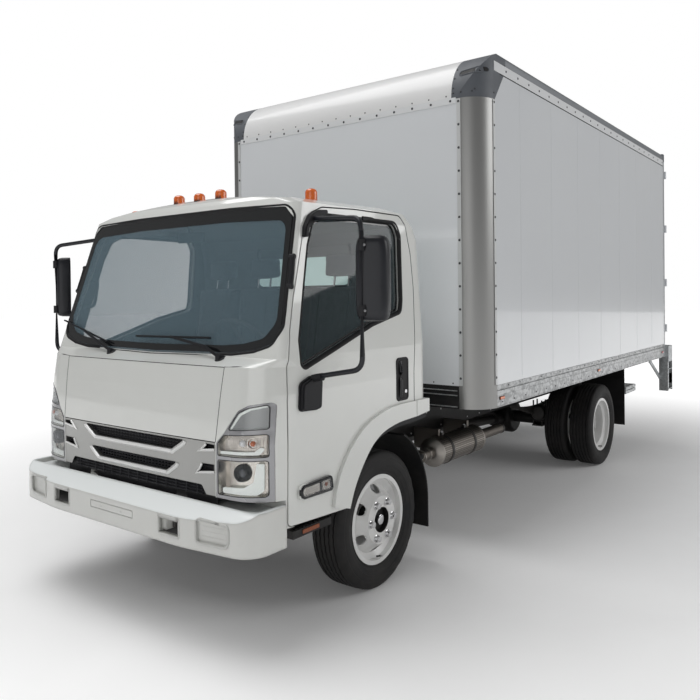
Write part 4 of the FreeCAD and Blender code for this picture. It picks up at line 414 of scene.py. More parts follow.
@dataclass(frozen=True)
class Finish:
    """One opaque material: its base values and the shared effect that varies them."""

    name: str
    colour: Colour
    second: Colour
    roughness: float
    texture: Texture
    metallic: float = 0.0
    coat: float = 0.0
    scale: float = 1.0
    tint: float = 0.25
    bump: float = 0.1
    depth: float = 0.0004
    rough_swing: float = 0.08
    dirt: float = 0.0
    dust_colour: Colour = (0.30, 0.27, 0.23)
    sheen: float = 0.0
    shine: float = 0.5
    soften: float = 0.0
    glow: float = 0.0
    glow_colour: Colour = (1.0, 1.0, 1.0)

    def build(self, groups: SurfaceGroups) -> bpy.types.Material:
        """Make the material.

        Args:
            groups: the shared effects.

        Returns:
            The Blender material.
        """
        material = bpy.data.materials.new(self.name)
        material.use_nodes = True
        graph = Graph(material.node_tree)
        shader = material.node_tree.nodes["Principled BSDF"]
        effect = graph.node("Group", node_tree=groups.trees[self.texture])
        effect.inputs["Scale"].default_value = self.scale
        effect.inputs["Dirt"].default_value = self.dirt
        shade = graph.span(effect.outputs["Shade"], 0.3, 0.7, 0.0, self.tint)
        colour = graph.blend(shade, self.colour, self.second)
        if self.dirt:
            colour = graph.blend(effect.outputs["Dust"], colour, self.dust_colour)
        graph.join(colour, shader.inputs["Base Color"])
        rough = graph.span(effect.outputs["Shade"], 0.2, 0.8, self.roughness - self.rough_swing,
                           self.roughness + self.rough_swing)
        graph.join(rough, shader.inputs["Roughness"])
        shader.inputs["Metallic"].default_value = self.metallic
        shader.inputs["Specular IOR Level"].default_value = self.shine
        shader.inputs["Coat Weight"].default_value = self.coat
        shader.inputs["Coat Roughness"].default_value = 0.04
        shader.inputs["Sheen Weight"].default_value = self.sheen
        shader.inputs["Emission Strength"].default_value = self.glow
        shader.inputs["Emission Color"].default_value = (*self.glow_colour, 1.0)
        bump = graph.node("Bump")
        bump.inputs["Strength"].default_value = self.bump
        bump.inputs["Distance"].default_value = self.depth
        graph.join(effect.outputs["Height"], bump.inputs["Height"])
        if self.soften:
            edge = graph.node("Bevel", samples=6)
            edge.inputs["Radius"].default_value = self.soften
            graph.join(edge.outputs[0], bump.inputs["Normal"])
        graph.join(bump.outputs[0], shader.inputs["Normal"])
        material.diffuse_color = (*self.colour, 1.0)
        return material


@dataclass(frozen=True)
class Pane:
    """One see-through material: it lets more through straight on than at a slant."""

    name: str
    colour: Colour
    clear: float
    slant: float = 0.95
    roughness: float = 0.03
    texture: Texture = Texture.PAINT
    scale: float = 1.0
    bump: float = 0.02
    tint: float = 0.2

    def build(self, groups: SurfaceGroups) -> bpy.types.Material:
        """Make the material.

        Args:
            groups: the shared effects.

        Returns:
            The Blender material.
        """
        material = bpy.data.materials.new(self.name)
        material.use_nodes = True
        graph = Graph(material.node_tree)
        shader = material.node_tree.nodes["Principled BSDF"]
        effect = graph.node("Group", node_tree=groups.trees[self.texture])
        effect.inputs["Scale"].default_value = self.scale
        darker = tuple(part * 0.7 for part in self.colour)
        shade = graph.span(effect.outputs["Shade"], 0.3, 0.7, 0.0, self.tint)
        graph.join(graph.blend(shade, self.colour, darker), shader.inputs["Base Color"])
        shader.inputs["Roughness"].default_value = self.roughness
        shader.inputs["IOR"].default_value = 1.5
        shader.inputs["Specular IOR Level"].default_value = 0.8
        facing = graph.node("LayerWeight")
        facing.inputs["Blend"].default_value = 0.35
        graph.join(graph.span(facing.outputs["Facing"], 0.2, 1.0, 1.0 - self.clear, self.slant),
                   shader.inputs["Alpha"])
        bump = graph.node("Bump")
        bump.inputs["Strength"].default_value = self.bump
        bump.inputs["Distance"].default_value = 0.0005
        graph.join(effect.outputs["Height"], bump.inputs["Height"])
        graph.join(bump.outputs[0], shader.inputs["Normal"])
        material.diffuse_color = (*self.colour, self.clear)
        return material


class Palette:
    """Every finish of the truck by a plain name."""

    FINISHES = (
        Finish("cab_paint", (0.775, 0.785, 0.755), (0.715, 0.725, 0.70), 0.32, Texture.PAINT, coat=1.0,
               bump=0.03, depth=0.0002, tint=0.3, dirt=0.10),
        Finish("bumper_paint", (0.74, 0.745, 0.715), (0.68, 0.685, 0.66), 0.42, Texture.PAINT, coat=0.5,
               bump=0.05, tint=0.4, dirt=0.12, soften=0.024),
        # Bumper top: paler and bluer than the bumper's paint, a painted highlight of the sky on the upward
        # faces.
        Finish("bumper_top", (0.93, 0.965, 0.96), (0.88, 0.915, 0.91), 0.36, Texture.PAINT, coat=0.6,
               bump=0.05, soften=0.024),
        Finish("bolt_dark", (0.05, 0.052, 0.056), (0.10, 0.105, 0.11), 0.45, Texture.CAST, metallic=0.6,
               tint=0.4),
        # Top rails: the same aluminium in a darker grey, a painted dark reflection.
        Finish("rail_top", (0.26, 0.27, 0.285), (0.20, 0.21, 0.225), 0.40, Texture.BRUSHED, metallic=0.7,
               tint=0.5, bump=0.05),
        Finish("body_sheet", (0.76, 0.78, 0.80), (0.70, 0.72, 0.75), 0.20, Texture.PANEL, coat=0.6, bump=0.25,
               depth=0.004, tint=0.5, rough_swing=0.04),
        Finish("nose_white", (0.80, 0.80, 0.80), (0.73, 0.73, 0.73), 0.38, Texture.PAINT, coat=0.3, tint=0.4),
        Finish("white_trim", (0.78, 0.79, 0.80), (0.70, 0.71, 0.72), 0.36, Texture.PAINT, coat=0.3, tint=0.4),
        Finish("bright_post", (0.72, 0.72, 0.71), (0.24, 0.24, 0.235), 0.30, Texture.BRUSHED, metallic=1.0,
               tint=0.9, scale=0.35, bump=0.08, rough_swing=0.10, dirt=0.2),
        Finish("flange_bright", (0.66, 0.67, 0.67), (0.56, 0.57, 0.57), 0.42, Texture.BRUSHED, metallic=0.3,
               tint=0.5, bump=0.05),
        Finish("rail_aluminium", (0.45, 0.46, 0.465), (0.29, 0.295, 0.30), 0.42, Texture.SPANGLE,
               metallic=1.0, scale=0.9, tint=0.6, bump=0.35, dirt=0.25),
        Finish("rivet_steel", (0.50, 0.50, 0.51), (0.30, 0.30, 0.31), 0.35, Texture.CAST, metallic=1.0,
               tint=0.4),
        Finish("galvanised", (0.52, 0.54, 0.55), (0.36, 0.38, 0.39), 0.45, Texture.SPANGLE, metallic=0.9,
               tint=0.7, bump=0.2, dirt=0.4),
        Finish("cap_grey", (0.10, 0.11, 0.125), (0.075, 0.082, 0.095), 0.55, Texture.PEBBLE, tint=0.5,
               bump=0.25),
        Finish("black_plastic", (0.012, 0.012, 0.014), (0.022, 0.022, 0.025), 0.50, Texture.PEBBLE, tint=0.5,
               bump=0.35, dirt=0.02, shine=0.25),
        Finish("black_gloss", (0.008, 0.009, 0.011), (0.016, 0.017, 0.02), 0.18, Texture.PAINT, shine=0.4),
        Finish("mirror_shell", (0.010, 0.011, 0.015), (0.020, 0.021, 0.026), 0.34, Texture.PEBBLE, tint=0.5,
               bump=0.15, shine=0.35),
        Finish("frame_black", (0.010, 0.010, 0.011), (0.024, 0.023, 0.022), 0.5, Texture.CAST, tint=0.6,
               bump=0.2, dirt=0.06, shine=0.25),
        Finish("seal_rubber", (0.010, 0.010, 0.011), (0.02, 0.02, 0.02), 0.6, Texture.RUBBER, bump=0.1,
               shine=0.25),
        Finish("tyre_rubber", (0.010, 0.010, 0.011), (0.024, 0.023, 0.023), 0.62, Texture.RUBBER, tint=0.7,
               bump=0.25, dirt=0.05, shine=0.25),
        Finish("flap_rubber", (0.009, 0.009, 0.010), (0.02, 0.02, 0.02), 0.66, Texture.RUBBER, bump=0.3,
               dirt=0.08, shine=0.2),
        Finish("wheel_paint", (0.80, 0.80, 0.79), (0.70, 0.70, 0.69), 0.36, Texture.PAINT, coat=0.4, tint=0.4,
               dirt=0.15),
        Finish("lug_chrome", (0.62, 0.62, 0.63), (0.45, 0.45, 0.46), 0.22, Texture.CAST, metallic=1.0,
               bump=0.04),
        Finish("silver_trim", (0.33, 0.33, 0.32), (0.27, 0.27, 0.26), 0.36, Texture.PAINT, metallic=0.8,
               tint=0.4, bump=0.03, coat=0.4),
        Finish("panel_gap", (0.012, 0.012, 0.013), (0.03, 0.03, 0.03), 0.7, Texture.RUBBER, shine=0.1),
        Finish("seam_grey", (0.62, 0.64, 0.66), (0.56, 0.58, 0.60), 0.45, Texture.PAINT),
        Finish("exhaust_bright", (0.60, 0.59, 0.57), (0.34, 0.31, 0.28), 0.30, Texture.BRUSHED, metallic=1.0,
               tint=0.8, dirt=0.1),
        Finish("dark_steel", (0.05, 0.05, 0.05), (0.09, 0.085, 0.08), 0.5, Texture.CAST, metallic=0.7,
               tint=0.7, bump=0.3, dirt=0.1),
        Finish("exhaust_steel", (0.30, 0.29, 0.28), (0.16, 0.14, 0.12), 0.38, Texture.BRUSHED, metallic=1.0,
               tint=0.8, dirt=0.1),
        Finish("engine_cast", (0.05, 0.05, 0.05), (0.08, 0.075, 0.07), 0.6, Texture.CAST, metallic=0.4,
               tint=0.7, bump=0.5, dirt=0.1),
        Finish("amber_lamp", (0.74, 0.14, 0.012), (0.50, 0.07, 0.008), 0.24, Texture.FLUTED, coat=0.8,
               tint=0.6, bump=0.25, glow=0.06, glow_colour=(1.0, 0.25, 0.02)),
        Finish("amber_dull", (0.30, 0.07, 0.015), (0.18, 0.04, 0.01), 0.45, Texture.FLUTED, tint=0.6,
               dirt=0.1),
        Finish("red_lamp", (0.55, 0.012, 0.01), (0.35, 0.008, 0.008), 0.24, Texture.FLUTED, coat=0.8,
               tint=0.6, bump=0.25, glow=0.08, glow_colour=(1.0, 0.03, 0.02)),
        Finish("white_lamp", (0.80, 0.81, 0.82), (0.55, 0.57, 0.6), 0.2, Texture.FLUTED, coat=0.8, tint=0.7,
               bump=0.3, glow=0.15),
        Finish("lamp_line", (0.84, 0.87, 0.84), (0.66, 0.69, 0.66), 0.25, Texture.FLUTED, tint=0.6, glow=0.28,
               glow_colour=(0.95, 1.0, 0.97)),
        Finish("lamp_silver", (0.70, 0.67, 0.62), (0.34, 0.31, 0.28), 0.20, Texture.CAST, metallic=1.0,
               scale=0.8, tint=0.9, bump=0.10),
        Finish("lamp_panel", (0.36, 0.37, 0.37), (0.29, 0.30, 0.30), 0.35, Texture.CAST, metallic=0.5,
               coat=0.5),
        Finish("lamp_bezel", (0.30, 0.30, 0.31), (0.16, 0.16, 0.17), 0.25, Texture.PAINT, metallic=0.7,
               coat=0.5),
        Finish("projector_glass", (0.035, 0.04, 0.05), (0.10, 0.11, 0.13), 0.05, Texture.PAINT, coat=1.0,
               bump=0.0),
        Finish("bright_lip", (0.93, 0.93, 0.92), (0.84, 0.84, 0.83), 0.14, Texture.PAINT, coat=1.0),
        Finish("grille_slat", (0.012, 0.012, 0.016), (0.022, 0.022, 0.026), 0.40, Texture.PEBBLE, shine=0.3),
        Finish("dash_grey", (0.085, 0.088, 0.092), (0.05, 0.052, 0.055), 0.6, Texture.PEBBLE, bump=0.3),
        Finish("cabin_lining", (0.22, 0.225, 0.23), (0.15, 0.155, 0.16), 0.8, Texture.WEAVE, bump=0.2),
        Finish("seat_cloth", (0.085, 0.09, 0.10), (0.17, 0.175, 0.185), 0.86, Texture.WEAVE, tint=0.9,
               bump=0.8, depth=0.0008, sheen=0.25),
        Finish("seat_seam", (0.03, 0.03, 0.033), (0.05, 0.05, 0.053), 0.8, Texture.WEAVE, bump=0.4),
        Finish("deck_wood", (0.36, 0.24, 0.13), (0.22, 0.14, 0.07), 0.62, Texture.WOOD, tint=0.9, bump=0.5),
        Finish("mirror_face", (0.72, 0.75, 0.77), (0.62, 0.65, 0.67), 0.04, Texture.PAINT, metallic=1.0,
               bump=0.01),
        Finish("glass_border", (0.010, 0.011, 0.012), (0.018, 0.019, 0.02), 0.14, Texture.PAINT, coat=0.4),
        # Rear window pane: glows pale teal, a painted glow of daylight behind the cab, though it is no lamp.
        Finish("rear_glass", (0.55, 0.68, 0.66), (0.48, 0.60, 0.58), 0.10, Texture.PAINT, coat=0.6, glow=0.55,
               glow_colour=(0.72, 0.98, 0.94)),
        Finish("gauge_face", (0.02, 0.02, 0.022), (0.05, 0.05, 0.055), 0.3, Texture.PAINT, coat=1.0),
    )
    PANES = (
        Pane("front_glass", (0.165, 0.25, 0.30), clear=0.66, slant=0.97),
        Pane("side_glass", (0.06, 0.095, 0.105), clear=0.82, slant=0.96),
        Pane("lamp_lens", (0.30, 0.32, 0.34), clear=0.93, slant=0.7, bump=0.01),
    )

    def __init__(self) -> None:
        """Build every material."""
        groups = SurfaceGroups()
        self.made = {finish.name: finish.build(groups) for finish in self.FINISHES + self.PANES}

    def __getitem__(self, name: str) -> bpy.types.Material:
        """Material by its name."""
        return self.made[name]


class Form:
    """A mesh in the making. Solids are added to it one by one, each in the finish last chosen."""

    def __init__(self) -> None:
        """Start empty."""
        self.bm = bmesh.new()
        self.finishes: list[str] = []
        self.number = 0

    def use(self, finish: str) -> "Form":
        """Choose the finish of what is added next.

        Args:
            finish: name of the finish.

        Returns:
            The form itself.
        """
        if finish not in self.finishes:
            self.finishes.append(finish)
        self.number = self.finishes.index(finish)
        return self

    def face(self, corners: Sequence[bmesh.types.BMVert]) -> None:
        """Add one face in the chosen finish."""
        made = self.bm.faces.new(corners)
        made.material_index = self.number

    def box(self, x: Flat, y: Flat, z: Flat, turn: Optional[Matrix] = None) -> None:
        """Add a box between three (low, high) spans in millimetres from the front axle.

        Args:
            x: span forward.
            y: span left.
            z: span up.
            turn: matrix applied about the box's middle.
        """
        middle = at(sum(x) / 2, sum(y) / 2, sum(z) / 2)
        half = Vector((abs(x[1] - x[0]), abs(y[1] - y[0]), abs(z[1] - z[0]))) * (MM / 2)
        spots = []
        for i in (-1, 1):
            for j in (-1, 1):
                for k in (-1, 1):
                    offset = Vector((half.x * i, half.y * j, half.z * k))
                    spots.append(middle + (turn @ offset if turn else offset))
        v = [self.bm.verts.new(spot) for spot in spots]
        for quad in ((0, 1, 3, 2), (4, 6, 7, 5), (0, 4, 5, 1), (2, 3, 7, 6), (0, 2, 6, 4), (1, 5, 7, 3)):
            self.face([v[i] for i in quad])

    def prism(self, outline: Iterable[Vector], push: Vector) -> None:
        """Add a solid between an outline and the same outline pushed along a vector.

        Args:
            outline: closed outline.
            push: vector from one face to the other.
        """
        low = [self.bm.verts.new(spot) for spot in outline]
        high = [self.bm.verts.new(v.co + push) for v in low]
        count = len(low)
        self.face(low[::-1])
        self.face(high)
        for i in range(count):
            self.face([low[i], low[(i + 1) % count], high[(i + 1) % count], high[i]])

    def rod(self, start: Vector, end: Vector, radius: float, sides: int = 16,
            tip: Optional[float] = None) -> None:
        """Add a round or tapered bar between two scene places.

        Args:
            start: middle of the first end.
            end: middle of the other end.
            radius: radius in millimetres.
            sides: flats round it.
            tip: radius of the other end, if it differs.
        """
        profile = [(radius, 0.0), (radius if tip is None else tip, (end - start).length / MM)]
        self.turned(start, (end - start).normalized(), profile, sides)

    def turned(self, centre: Vector, axis: Vector, profile: Sequence[Flat], sides: int = 32,
               closed: bool = False) -> None:
        """Add a turned solid.

        Args:
            centre: scene place that height 0 sits on.
            axis: unit direction of height.
            profile: (radius, height) points in millimetres, from one end of the axis to the other.
            sides: flats round it.
            closed: join the last point to the first, as for a ring.
        """
        rings = []
        turn = axis.to_track_quat("Z", "Y").to_matrix()
        for radius, height in profile:
            ring = []
            for i in range(sides):
                angle = 2 * math.pi * i / sides
                flat = Vector((math.cos(angle) * radius, math.sin(angle) * radius, height)) * MM
                ring.append(self.bm.verts.new(centre + turn @ flat))
            rings.append(ring)
        pairs = list(zip(rings, rings[1:])) + ([(rings[-1], rings[0])] if closed else [])
        for low, high in pairs:
            for i in range(sides):
                self.face([low[i], low[(i + 1) % sides], high[(i + 1) % sides], high[i]])
        if not closed:
            self.face(rings[0][::-1])
            self.face(rings[-1])

    def tube(self, route: Sequence[Vector], radius: float, sides: int = 10) -> None:
        """Add a round bar along a route of scene places.

        Args:
            route: places in metres.
            radius: radius in millimetres.
            sides: faces round the bar.
        """
        rings = []
        for i, spot in enumerate(route):
            back = route[max(i - 1, 0)]
            ahead = route[min(i + 1, len(route) - 1)]
            turn = (ahead - back).normalized().to_track_quat("Z", "Y").to_matrix()
            ring = []
            for k in range(sides):
                angle = 2 * math.pi * k / sides
                ray = Vector((math.cos(angle), math.sin(angle), 0))
                ring.append(self.bm.verts.new(spot + turn @ ray * radius * MM))
            rings.append(ring)
        for low, high in zip(rings, rings[1:]):
            for i in range(sides):
                self.face([low[i], low[(i + 1) % sides], high[(i + 1) % sides], high[i]])
        self.face(rings[0][::-1])
        self.face(rings[-1])

    def rivet(self, spot: Vector, out: Vector, radius: float, height: float, sides: int = 8) -> None:
        """Add a low domed rivet head standing on a surface."""
        profile = [(radius, -height * 0.3), (radius, height * 0.25), (radius * 0.72, height * 0.8),
                   (radius * 0.25, height)]
        self.turned(spot, out, profile, sides)

    def bolt(self, spot: Vector, out: Vector, radius: float, height: float) -> None:
        """Add a six-sided head on a washer."""
        self.turned(spot, out, [(radius * 1.5, 0), (radius * 1.5, height * 0.2)], 12)
        self.turned(spot, out, [(radius, height * 0.2), (radius, height * 0.85), (radius * 0.8, height)], 6)

    def sheet(self, rows: Sequence[Sequence[Vector]], thick: float) -> None:
        """Add a closed sheet through rows of scene places, thickened along its own normals.

        Args:
            rows: rows of equal length.
            thick: thickness in millimetres.
        """
        count = len(rows[0])
        normals = []
        for i, row in enumerate(rows):
            line = []
            for j, spot in enumerate(row):
                along = row[min(j + 1, count - 1)] - row[max(j - 1, 0)]
                across = rows[min(i + 1, len(rows) - 1)][j] - rows[max(i - 1, 0)][j]
                line.append(along.cross(across).normalized() * thick * MM)
            normals.append(line)
        top = [[self.bm.verts.new(spot) for spot in row] for row in rows]
        under = [[self.bm.verts.new(spot - normals[i][j]) for j, spot in enumerate(row)]
                 for i, row in enumerate(rows)]
        for i in range(len(rows) - 1):
            for j in range(count - 1):
                self.face([top[i][j], top[i][j + 1], top[i + 1][j + 1], top[i + 1][j]])
                self.face([under[i][j], under[i + 1][j], under[i + 1][j + 1], under[i][j + 1]])
        border = [(0, j) for j in range(count)] + [(i, count - 1) for i in range(1, len(rows))]
        border += [(len(rows) - 1, j) for j in range(count - 2, -1, -1)]
        border += [(i, 0) for i in range(len(rows) - 2, 0, -1)]
        for (a, b), (c, d) in zip(border, border[1:] + border[:1]):
            self.face([top[a][b], under[a][b], under[c][d], top[c][d]])

    def piece(self, name: str, body: str, palette: Palette, bevel: float = 0.0, smooth: float = 35.0,
              slot: Optional[str] = None, replaces: Sequence[str] = ()) -> bpy.types.Object:
        """Turn the form into a scene piece that rides on a body.

        Args:
            name: piece name.
            body: CAD body it moves with.
            palette: the finishes.
            bevel: width in millimetres of the softened edges.
            smooth: angle in degrees below which an edge is shaded smooth.
            slot: not used.
            replaces: CAD nodes that it stands for.

        Returns:
            The object.
        """
        bmesh.ops.recalc_face_normals(self.bm, faces=self.bm.faces)
        mesh = bpy.data.meshes.new(name)
        self.bm.to_mesh(mesh)
        self.bm.free()
        for finish in self.finishes:
            mesh.materials.append(palette[finish])
        mesh.polygons.foreach_set("use_smooth", [True] * len(mesh.polygons))
        made = bpy.data.objects.new(name, mesh)
        bpy.context.scene.collection.objects.link(made)
        if bevel:
            soften = made.modifiers.new("soften", "BEVEL")
            soften.width = bevel * MM
            soften.segments = 2
            soften.limit_method = "ANGLE"
            soften.angle_limit = math.radians(40)
        mesh.set_sharp_from_angle(angle=math.radians(smooth))
        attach(made, body)
        if replaces:
            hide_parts(*replaces)
        log.info("%s: %d faces on %s", name, len(mesh.polygons), body)
        return made


CAB_MIDDLE = at(300, 0, 1600)
Rule = Callable[[Vector, Vector], Optional[str]]


def in_axle_frame(spot: Vector) -> Vector:
    """Scene metres back to millimetres from the front axle on the ground."""
    return Vector((spot.x / MM - FRONT_AXLE_X, spot.y / MM, spot.z / MM))


def dress(node: str, palette: Palette, finish: str, rule: Optional[Rule] = None) -> None:
    """Give a CAD node its finishes.

    Args:
        node: CAD node name.
        palette: the finishes.
        finish: the one for most of it.
        rule: gives another finish for a face from its middle in millimetres and its normal, or None.
    """
    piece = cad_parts[node]
    mesh = piece.data
    mesh.materials.clear()
    names = [finish]
    mesh.materials.append(palette[finish])
    for face in mesh.polygons:
        chosen = rule(in_axle_frame(face.center), face.normal) if rule else None
        chosen = chosen or finish
        if chosen not in names:
            names.append(chosen)
            mesh.materials.append(palette[chosen])
        face.material_index = names.index(chosen)
    log.info("%s: dressed in %s", node, ", ".join(names))


def between(value: float, span: Flat) -> bool:
    """Whether a value lies in a span."""
    return span[0] <= value <= span[1]


@dataclass
class TyreSet:
    """Tyres of all wheels: ribbed tread with zigzag grooves, shoulder blocks and ringed walls."""

    radius: float = 404.0
    groove_depth: float = 10.0
    groove_half: float = 4.5
    groove_spots: tuple[float, ...] = (-62.0, -31.0, 0.0, 31.0, 62.0)
    zigzag: float = 2.4
    steps: int = 108
    wall: tuple = ((76, 249), (84, 256), (91, 268), (94, 271), (93, 276), (99, 289), (101, 290), (104, 299),
                   (109, 318), (110.6, 319), (111.5, 330), (112, 338), (111, 350), (109, 358), (109.8, 360),
                   (107, 372), (103, 383), (97, 391.5), (90, 398), (84, 401))
    notch_ring: Flat = (380.5, 391.9)
    notch_side: float = 95.0
    notch_depth: float = 3.0
    front_y: float = 832.5
    rear_y: float = 825.0
    twin: float = 127.5

    def profile(self) -> list[tuple[float, float, float]]:
        """Half section from the inner bead to the outer one.

        Returns:
            (across, radius, sway) points; sway is how much of the zigzag the point follows.
        """
        left = [(-across, radius, 0.0) for across, radius in self.wall]
        tread = []
        half, top = self.groove_half, self.radius
        deep = top - self.groove_depth
        groove = ((-half - 1.2, top), (-half, top - 1.5), (-half + 1.5, deep), (half - 1.5, deep),
                  (half, top - 1.5), (half + 1.2, top))
        for spot in self.groove_spots:
            tread += [(spot + offset, radius - 0.02 * abs(spot), 1.0) for offset, radius in groove]
        right = [(across, radius, 0.0) for across, radius in reversed(self.wall)]
        return left + tread + right

    def add_tyre(self, form: Form, x: float, y: float) -> None:
        """Add one tyre.

        Args:
            form: mesh that gets it.
            x: axle place forward.
            y: middle of the tyre.
        """
        section = self.profile()
        rings = []
        for i in range(self.steps):
            angle = 2 * math.pi * i / self.steps
            sway = self.zigzag if i % 2 else -self.zigzag
            ring = []
            for across, radius, follow in section:
                shoulder = between(radius, self.notch_ring) and abs(across) > self.notch_side
                r = radius - (self.notch_depth if shoulder and i % 4 < 2 else 0.0)
                ring.append(form.bm.verts.new(at(x + r * math.cos(angle), y + across + sway * follow,
                                                 self.radius + r * math.sin(angle))))
            rings.append(ring)
        count = len(section)
        for i in range(self.steps):
            here, there = rings[i], rings[(i + 1) % self.steps]
            for j in range(count):
                form.face([here[j], here[(j + 1) % count], there[(j + 1) % count], there[j]])

    def build(self, palette: Palette) -> None:
        """Build the four tyre pieces.

        Args:
            palette: the finishes.
        """
        for side in Side:
            form = Form().use("tyre_rubber")
            self.add_tyre(form, 0.0, side.value * self.front_y)
            form.piece(f"tread_front_{side.word}", f"front_wheel_body_{side.word}", palette, smooth=32,
                       slot="tyre_rubber", replaces=[f"front_tyre_{side.word}"])
            form = Form().use("tyre_rubber")
            for offset in (-self.twin, self.twin):
                self.add_tyre(form, -WHEELBASE, side.value * self.rear_y + offset)
            form.piece(f"tread_rear_{side.word}", f"rear_wheels_body_{side.word}", palette, smooth=32,
                       slot="tyre_rubber", replaces=[f"rear_tyres_{side.word}"])


@dataclass
class Cladding:
    """Finishes of the CAD nodes that stay in view."""

    plain: tuple[tuple[str, str], ...] = (
        ("ladder_frame", "frame_black"), ("engine", "engine_cast"), ("radiator", "frame_black"),
        ("front_axle", "frame_black"), ("rear_axle", "frame_black"), ("leaf_springs", "dark_steel"),
        ("drive_shaft", "dark_steel"), ("exhaust", "exhaust_steel"), ("fuel_tank", "galvanised"),
        ("battery_box", "black_plastic"), ("mud_guards", "flap_rubber"), ("tail_lift", "galvanised"),
        ("rear_steps", "galvanised"), ("floor_beams", "frame_black"), ("corner_posts", "bright_post"),
        ("corner_caps", "cap_grey"), ("nose_cap", "nose_white"), ("cargo_roof", "white_trim"),
        ("wipers", "black_plastic"), ("steering_wheel", "dash_grey"),
        ("cab_steps", "frame_black"),
    )
    paired: tuple[tuple[str, str], ...] = (
        ("mirror", "mirror_shell"), ("knuckle", "dark_steel"), ("cargo_door", "body_sheet"),
    )
    sill_z: float = 1005.0
    arch_top: float = 990.0
    arch_x: Flat = (-420, 470)
    arch_side: float = 960.0
    tunnel_side: float = 640.0
    lining_foot: float = 985.0
    lining_split: float = 1250.0
    pocket_x: Flat = (-218, -92)
    pocket_z: Flat = (1100, 1352)
    cap_radius: float = 50.0
    hub_radius: float = 80.0
    nut_ring: Flat = (90, 133)
    nut_reach: float = 946.5
    wall_inside: Flat = (1190, -850)
    dome_foot: Flat = (2323, 2268)
    cluster_y: Flat = (836, 1064)
    cluster_z: Flat = (985, 1066)
    lens_x: float = -5708.0
    marker_foot: float = 3310.0
    bumper_edge: float = 655.0

    def cab(self, spot: Vector, normal: Vector) -> Optional[str]:
        """Lining inside, dark paint under the floor and in the wheel arches.

        Args:
            spot: middle of the face in millimetres.
            normal: outward direction of the face.

        Returns:
            The finish of the face, or None for the usual one.
        """
        inward = (at(*spot) - CAB_MIDDLE).dot(normal) < 0
        if spot.z < self.sill_z and normal.z < -0.4:
            return "frame_black"
        if spot.z < self.arch_top and between(spot.x, self.arch_x) and abs(spot.y) < self.arch_side:
            return "frame_black"
        if spot.z > self.lining_foot and inward:
            return "dash_grey" if spot.z < self.lining_split else "cabin_lining"
        if spot.z < self.arch_top and abs(spot.y) < self.tunnel_side:
            return "frame_black"
        return None

    def door(self, spot: Vector, normal: Vector) -> Optional[str]:
        """Door card inside, dark handle pocket outside.

        Args:
            spot: middle of the face in millimetres.
            normal: outward direction of the face.

        Returns:
            The finish of the face, or None for the usual one.
        """
        side = 1 if spot.y > 0 else -1
        if normal.y * side < -0.3:
            return "dash_grey"
        if between(spot.x, self.pocket_x) and between(spot.z, self.pocket_z) and abs(normal.y) < 0.95:
            return "black_plastic"
        return None

    def wheel(self, spot: Vector, normal: Vector) -> Optional[str]:
        """Bright nuts, black hub with a bright cap.

        Args:
            spot: middle of the face in millimetres.
            normal: outward direction of the face.

        Returns:
            The finish of the face, or None for the usual one.
        """
        front = spot.x > -WHEELBASE / 2
        radius = math.hypot(spot.x - (0.0 if front else -WHEELBASE), spot.z - TYRE_RADIUS)
        if radius < self.cap_radius:
            return "lug_chrome" if front else "frame_black"
        if radius < self.hub_radius:
            return "frame_black"
        if between(radius, self.nut_ring) and front and abs(spot.y) > self.nut_reach:
            return "lug_chrome"
        return None

    @staticmethod
    def floor(spot: Vector, normal: Vector) -> Optional[str]:
        """Boards on top, dark sheet under them."""
        return "deck_wood" if normal.z > 0.5 else None

    def walls(self, spot: Vector, normal: Vector) -> Optional[str]:
        """Glossy sheet outside, plain lining inside."""
        inside = abs(spot.y) < self.wall_inside[0] and spot.x < self.wall_inside[1]
        return "white_trim" if inside else None

    @staticmethod
    def rails(spot: Vector, normal: Vector) -> Optional[str]:
        """Top rails in a darker grey that paints the dark reflection they show, bare metal bottom rails."""
        return "rail_top" if spot.z > 2500 else None

    def roof_lamp(self, spot: Vector, normal: Vector) -> Optional[str]:
        """Dark collars under amber domes; the middle ones sit higher on the roof."""
        middle, outer = self.dome_foot
        return None if spot.z > (middle if abs(spot.y) < 300 else outer) else "black_plastic"

    def rear_frame(self, spot: Vector, normal: Vector) -> Optional[str]:
        """Red lamp clusters and marker lamps.

        Args:
            spot: middle of the face in millimetres.
            normal: outward direction of the face.

        Returns:
            The finish of the face, or None for the usual one.
        """
        if spot.x >= self.lens_x:
            return None
        cluster = between(spot.z, self.cluster_z) and between(abs(spot.y), self.cluster_y)
        return "red_lamp" if cluster or spot.z > self.marker_foot else None

    @staticmethod
    def flare(spot: Vector, normal: Vector) -> Optional[str]:
        """Black lip round the wheel under a painted strip."""
        return None if spot.x < -150 and spot.z > 985 else "black_plastic"

    def bumper(self, spot: Vector, normal: Vector) -> Optional[str]:
        """Dark inside, and a paler, bluer top where faces look up: a painted highlight of the sky.

        Args:
            spot: middle of the face in millimetres.
            normal: outward direction of the face.

        Returns:
            The finish of the face, or None for the usual one.
        """
        if normal.x < -0.5:
            return "frame_black"
        # Upward faces above this height get the painted sky highlight.
        return "bumper_top" if normal.z > 0.45 and spot.z > self.bumper_edge else None

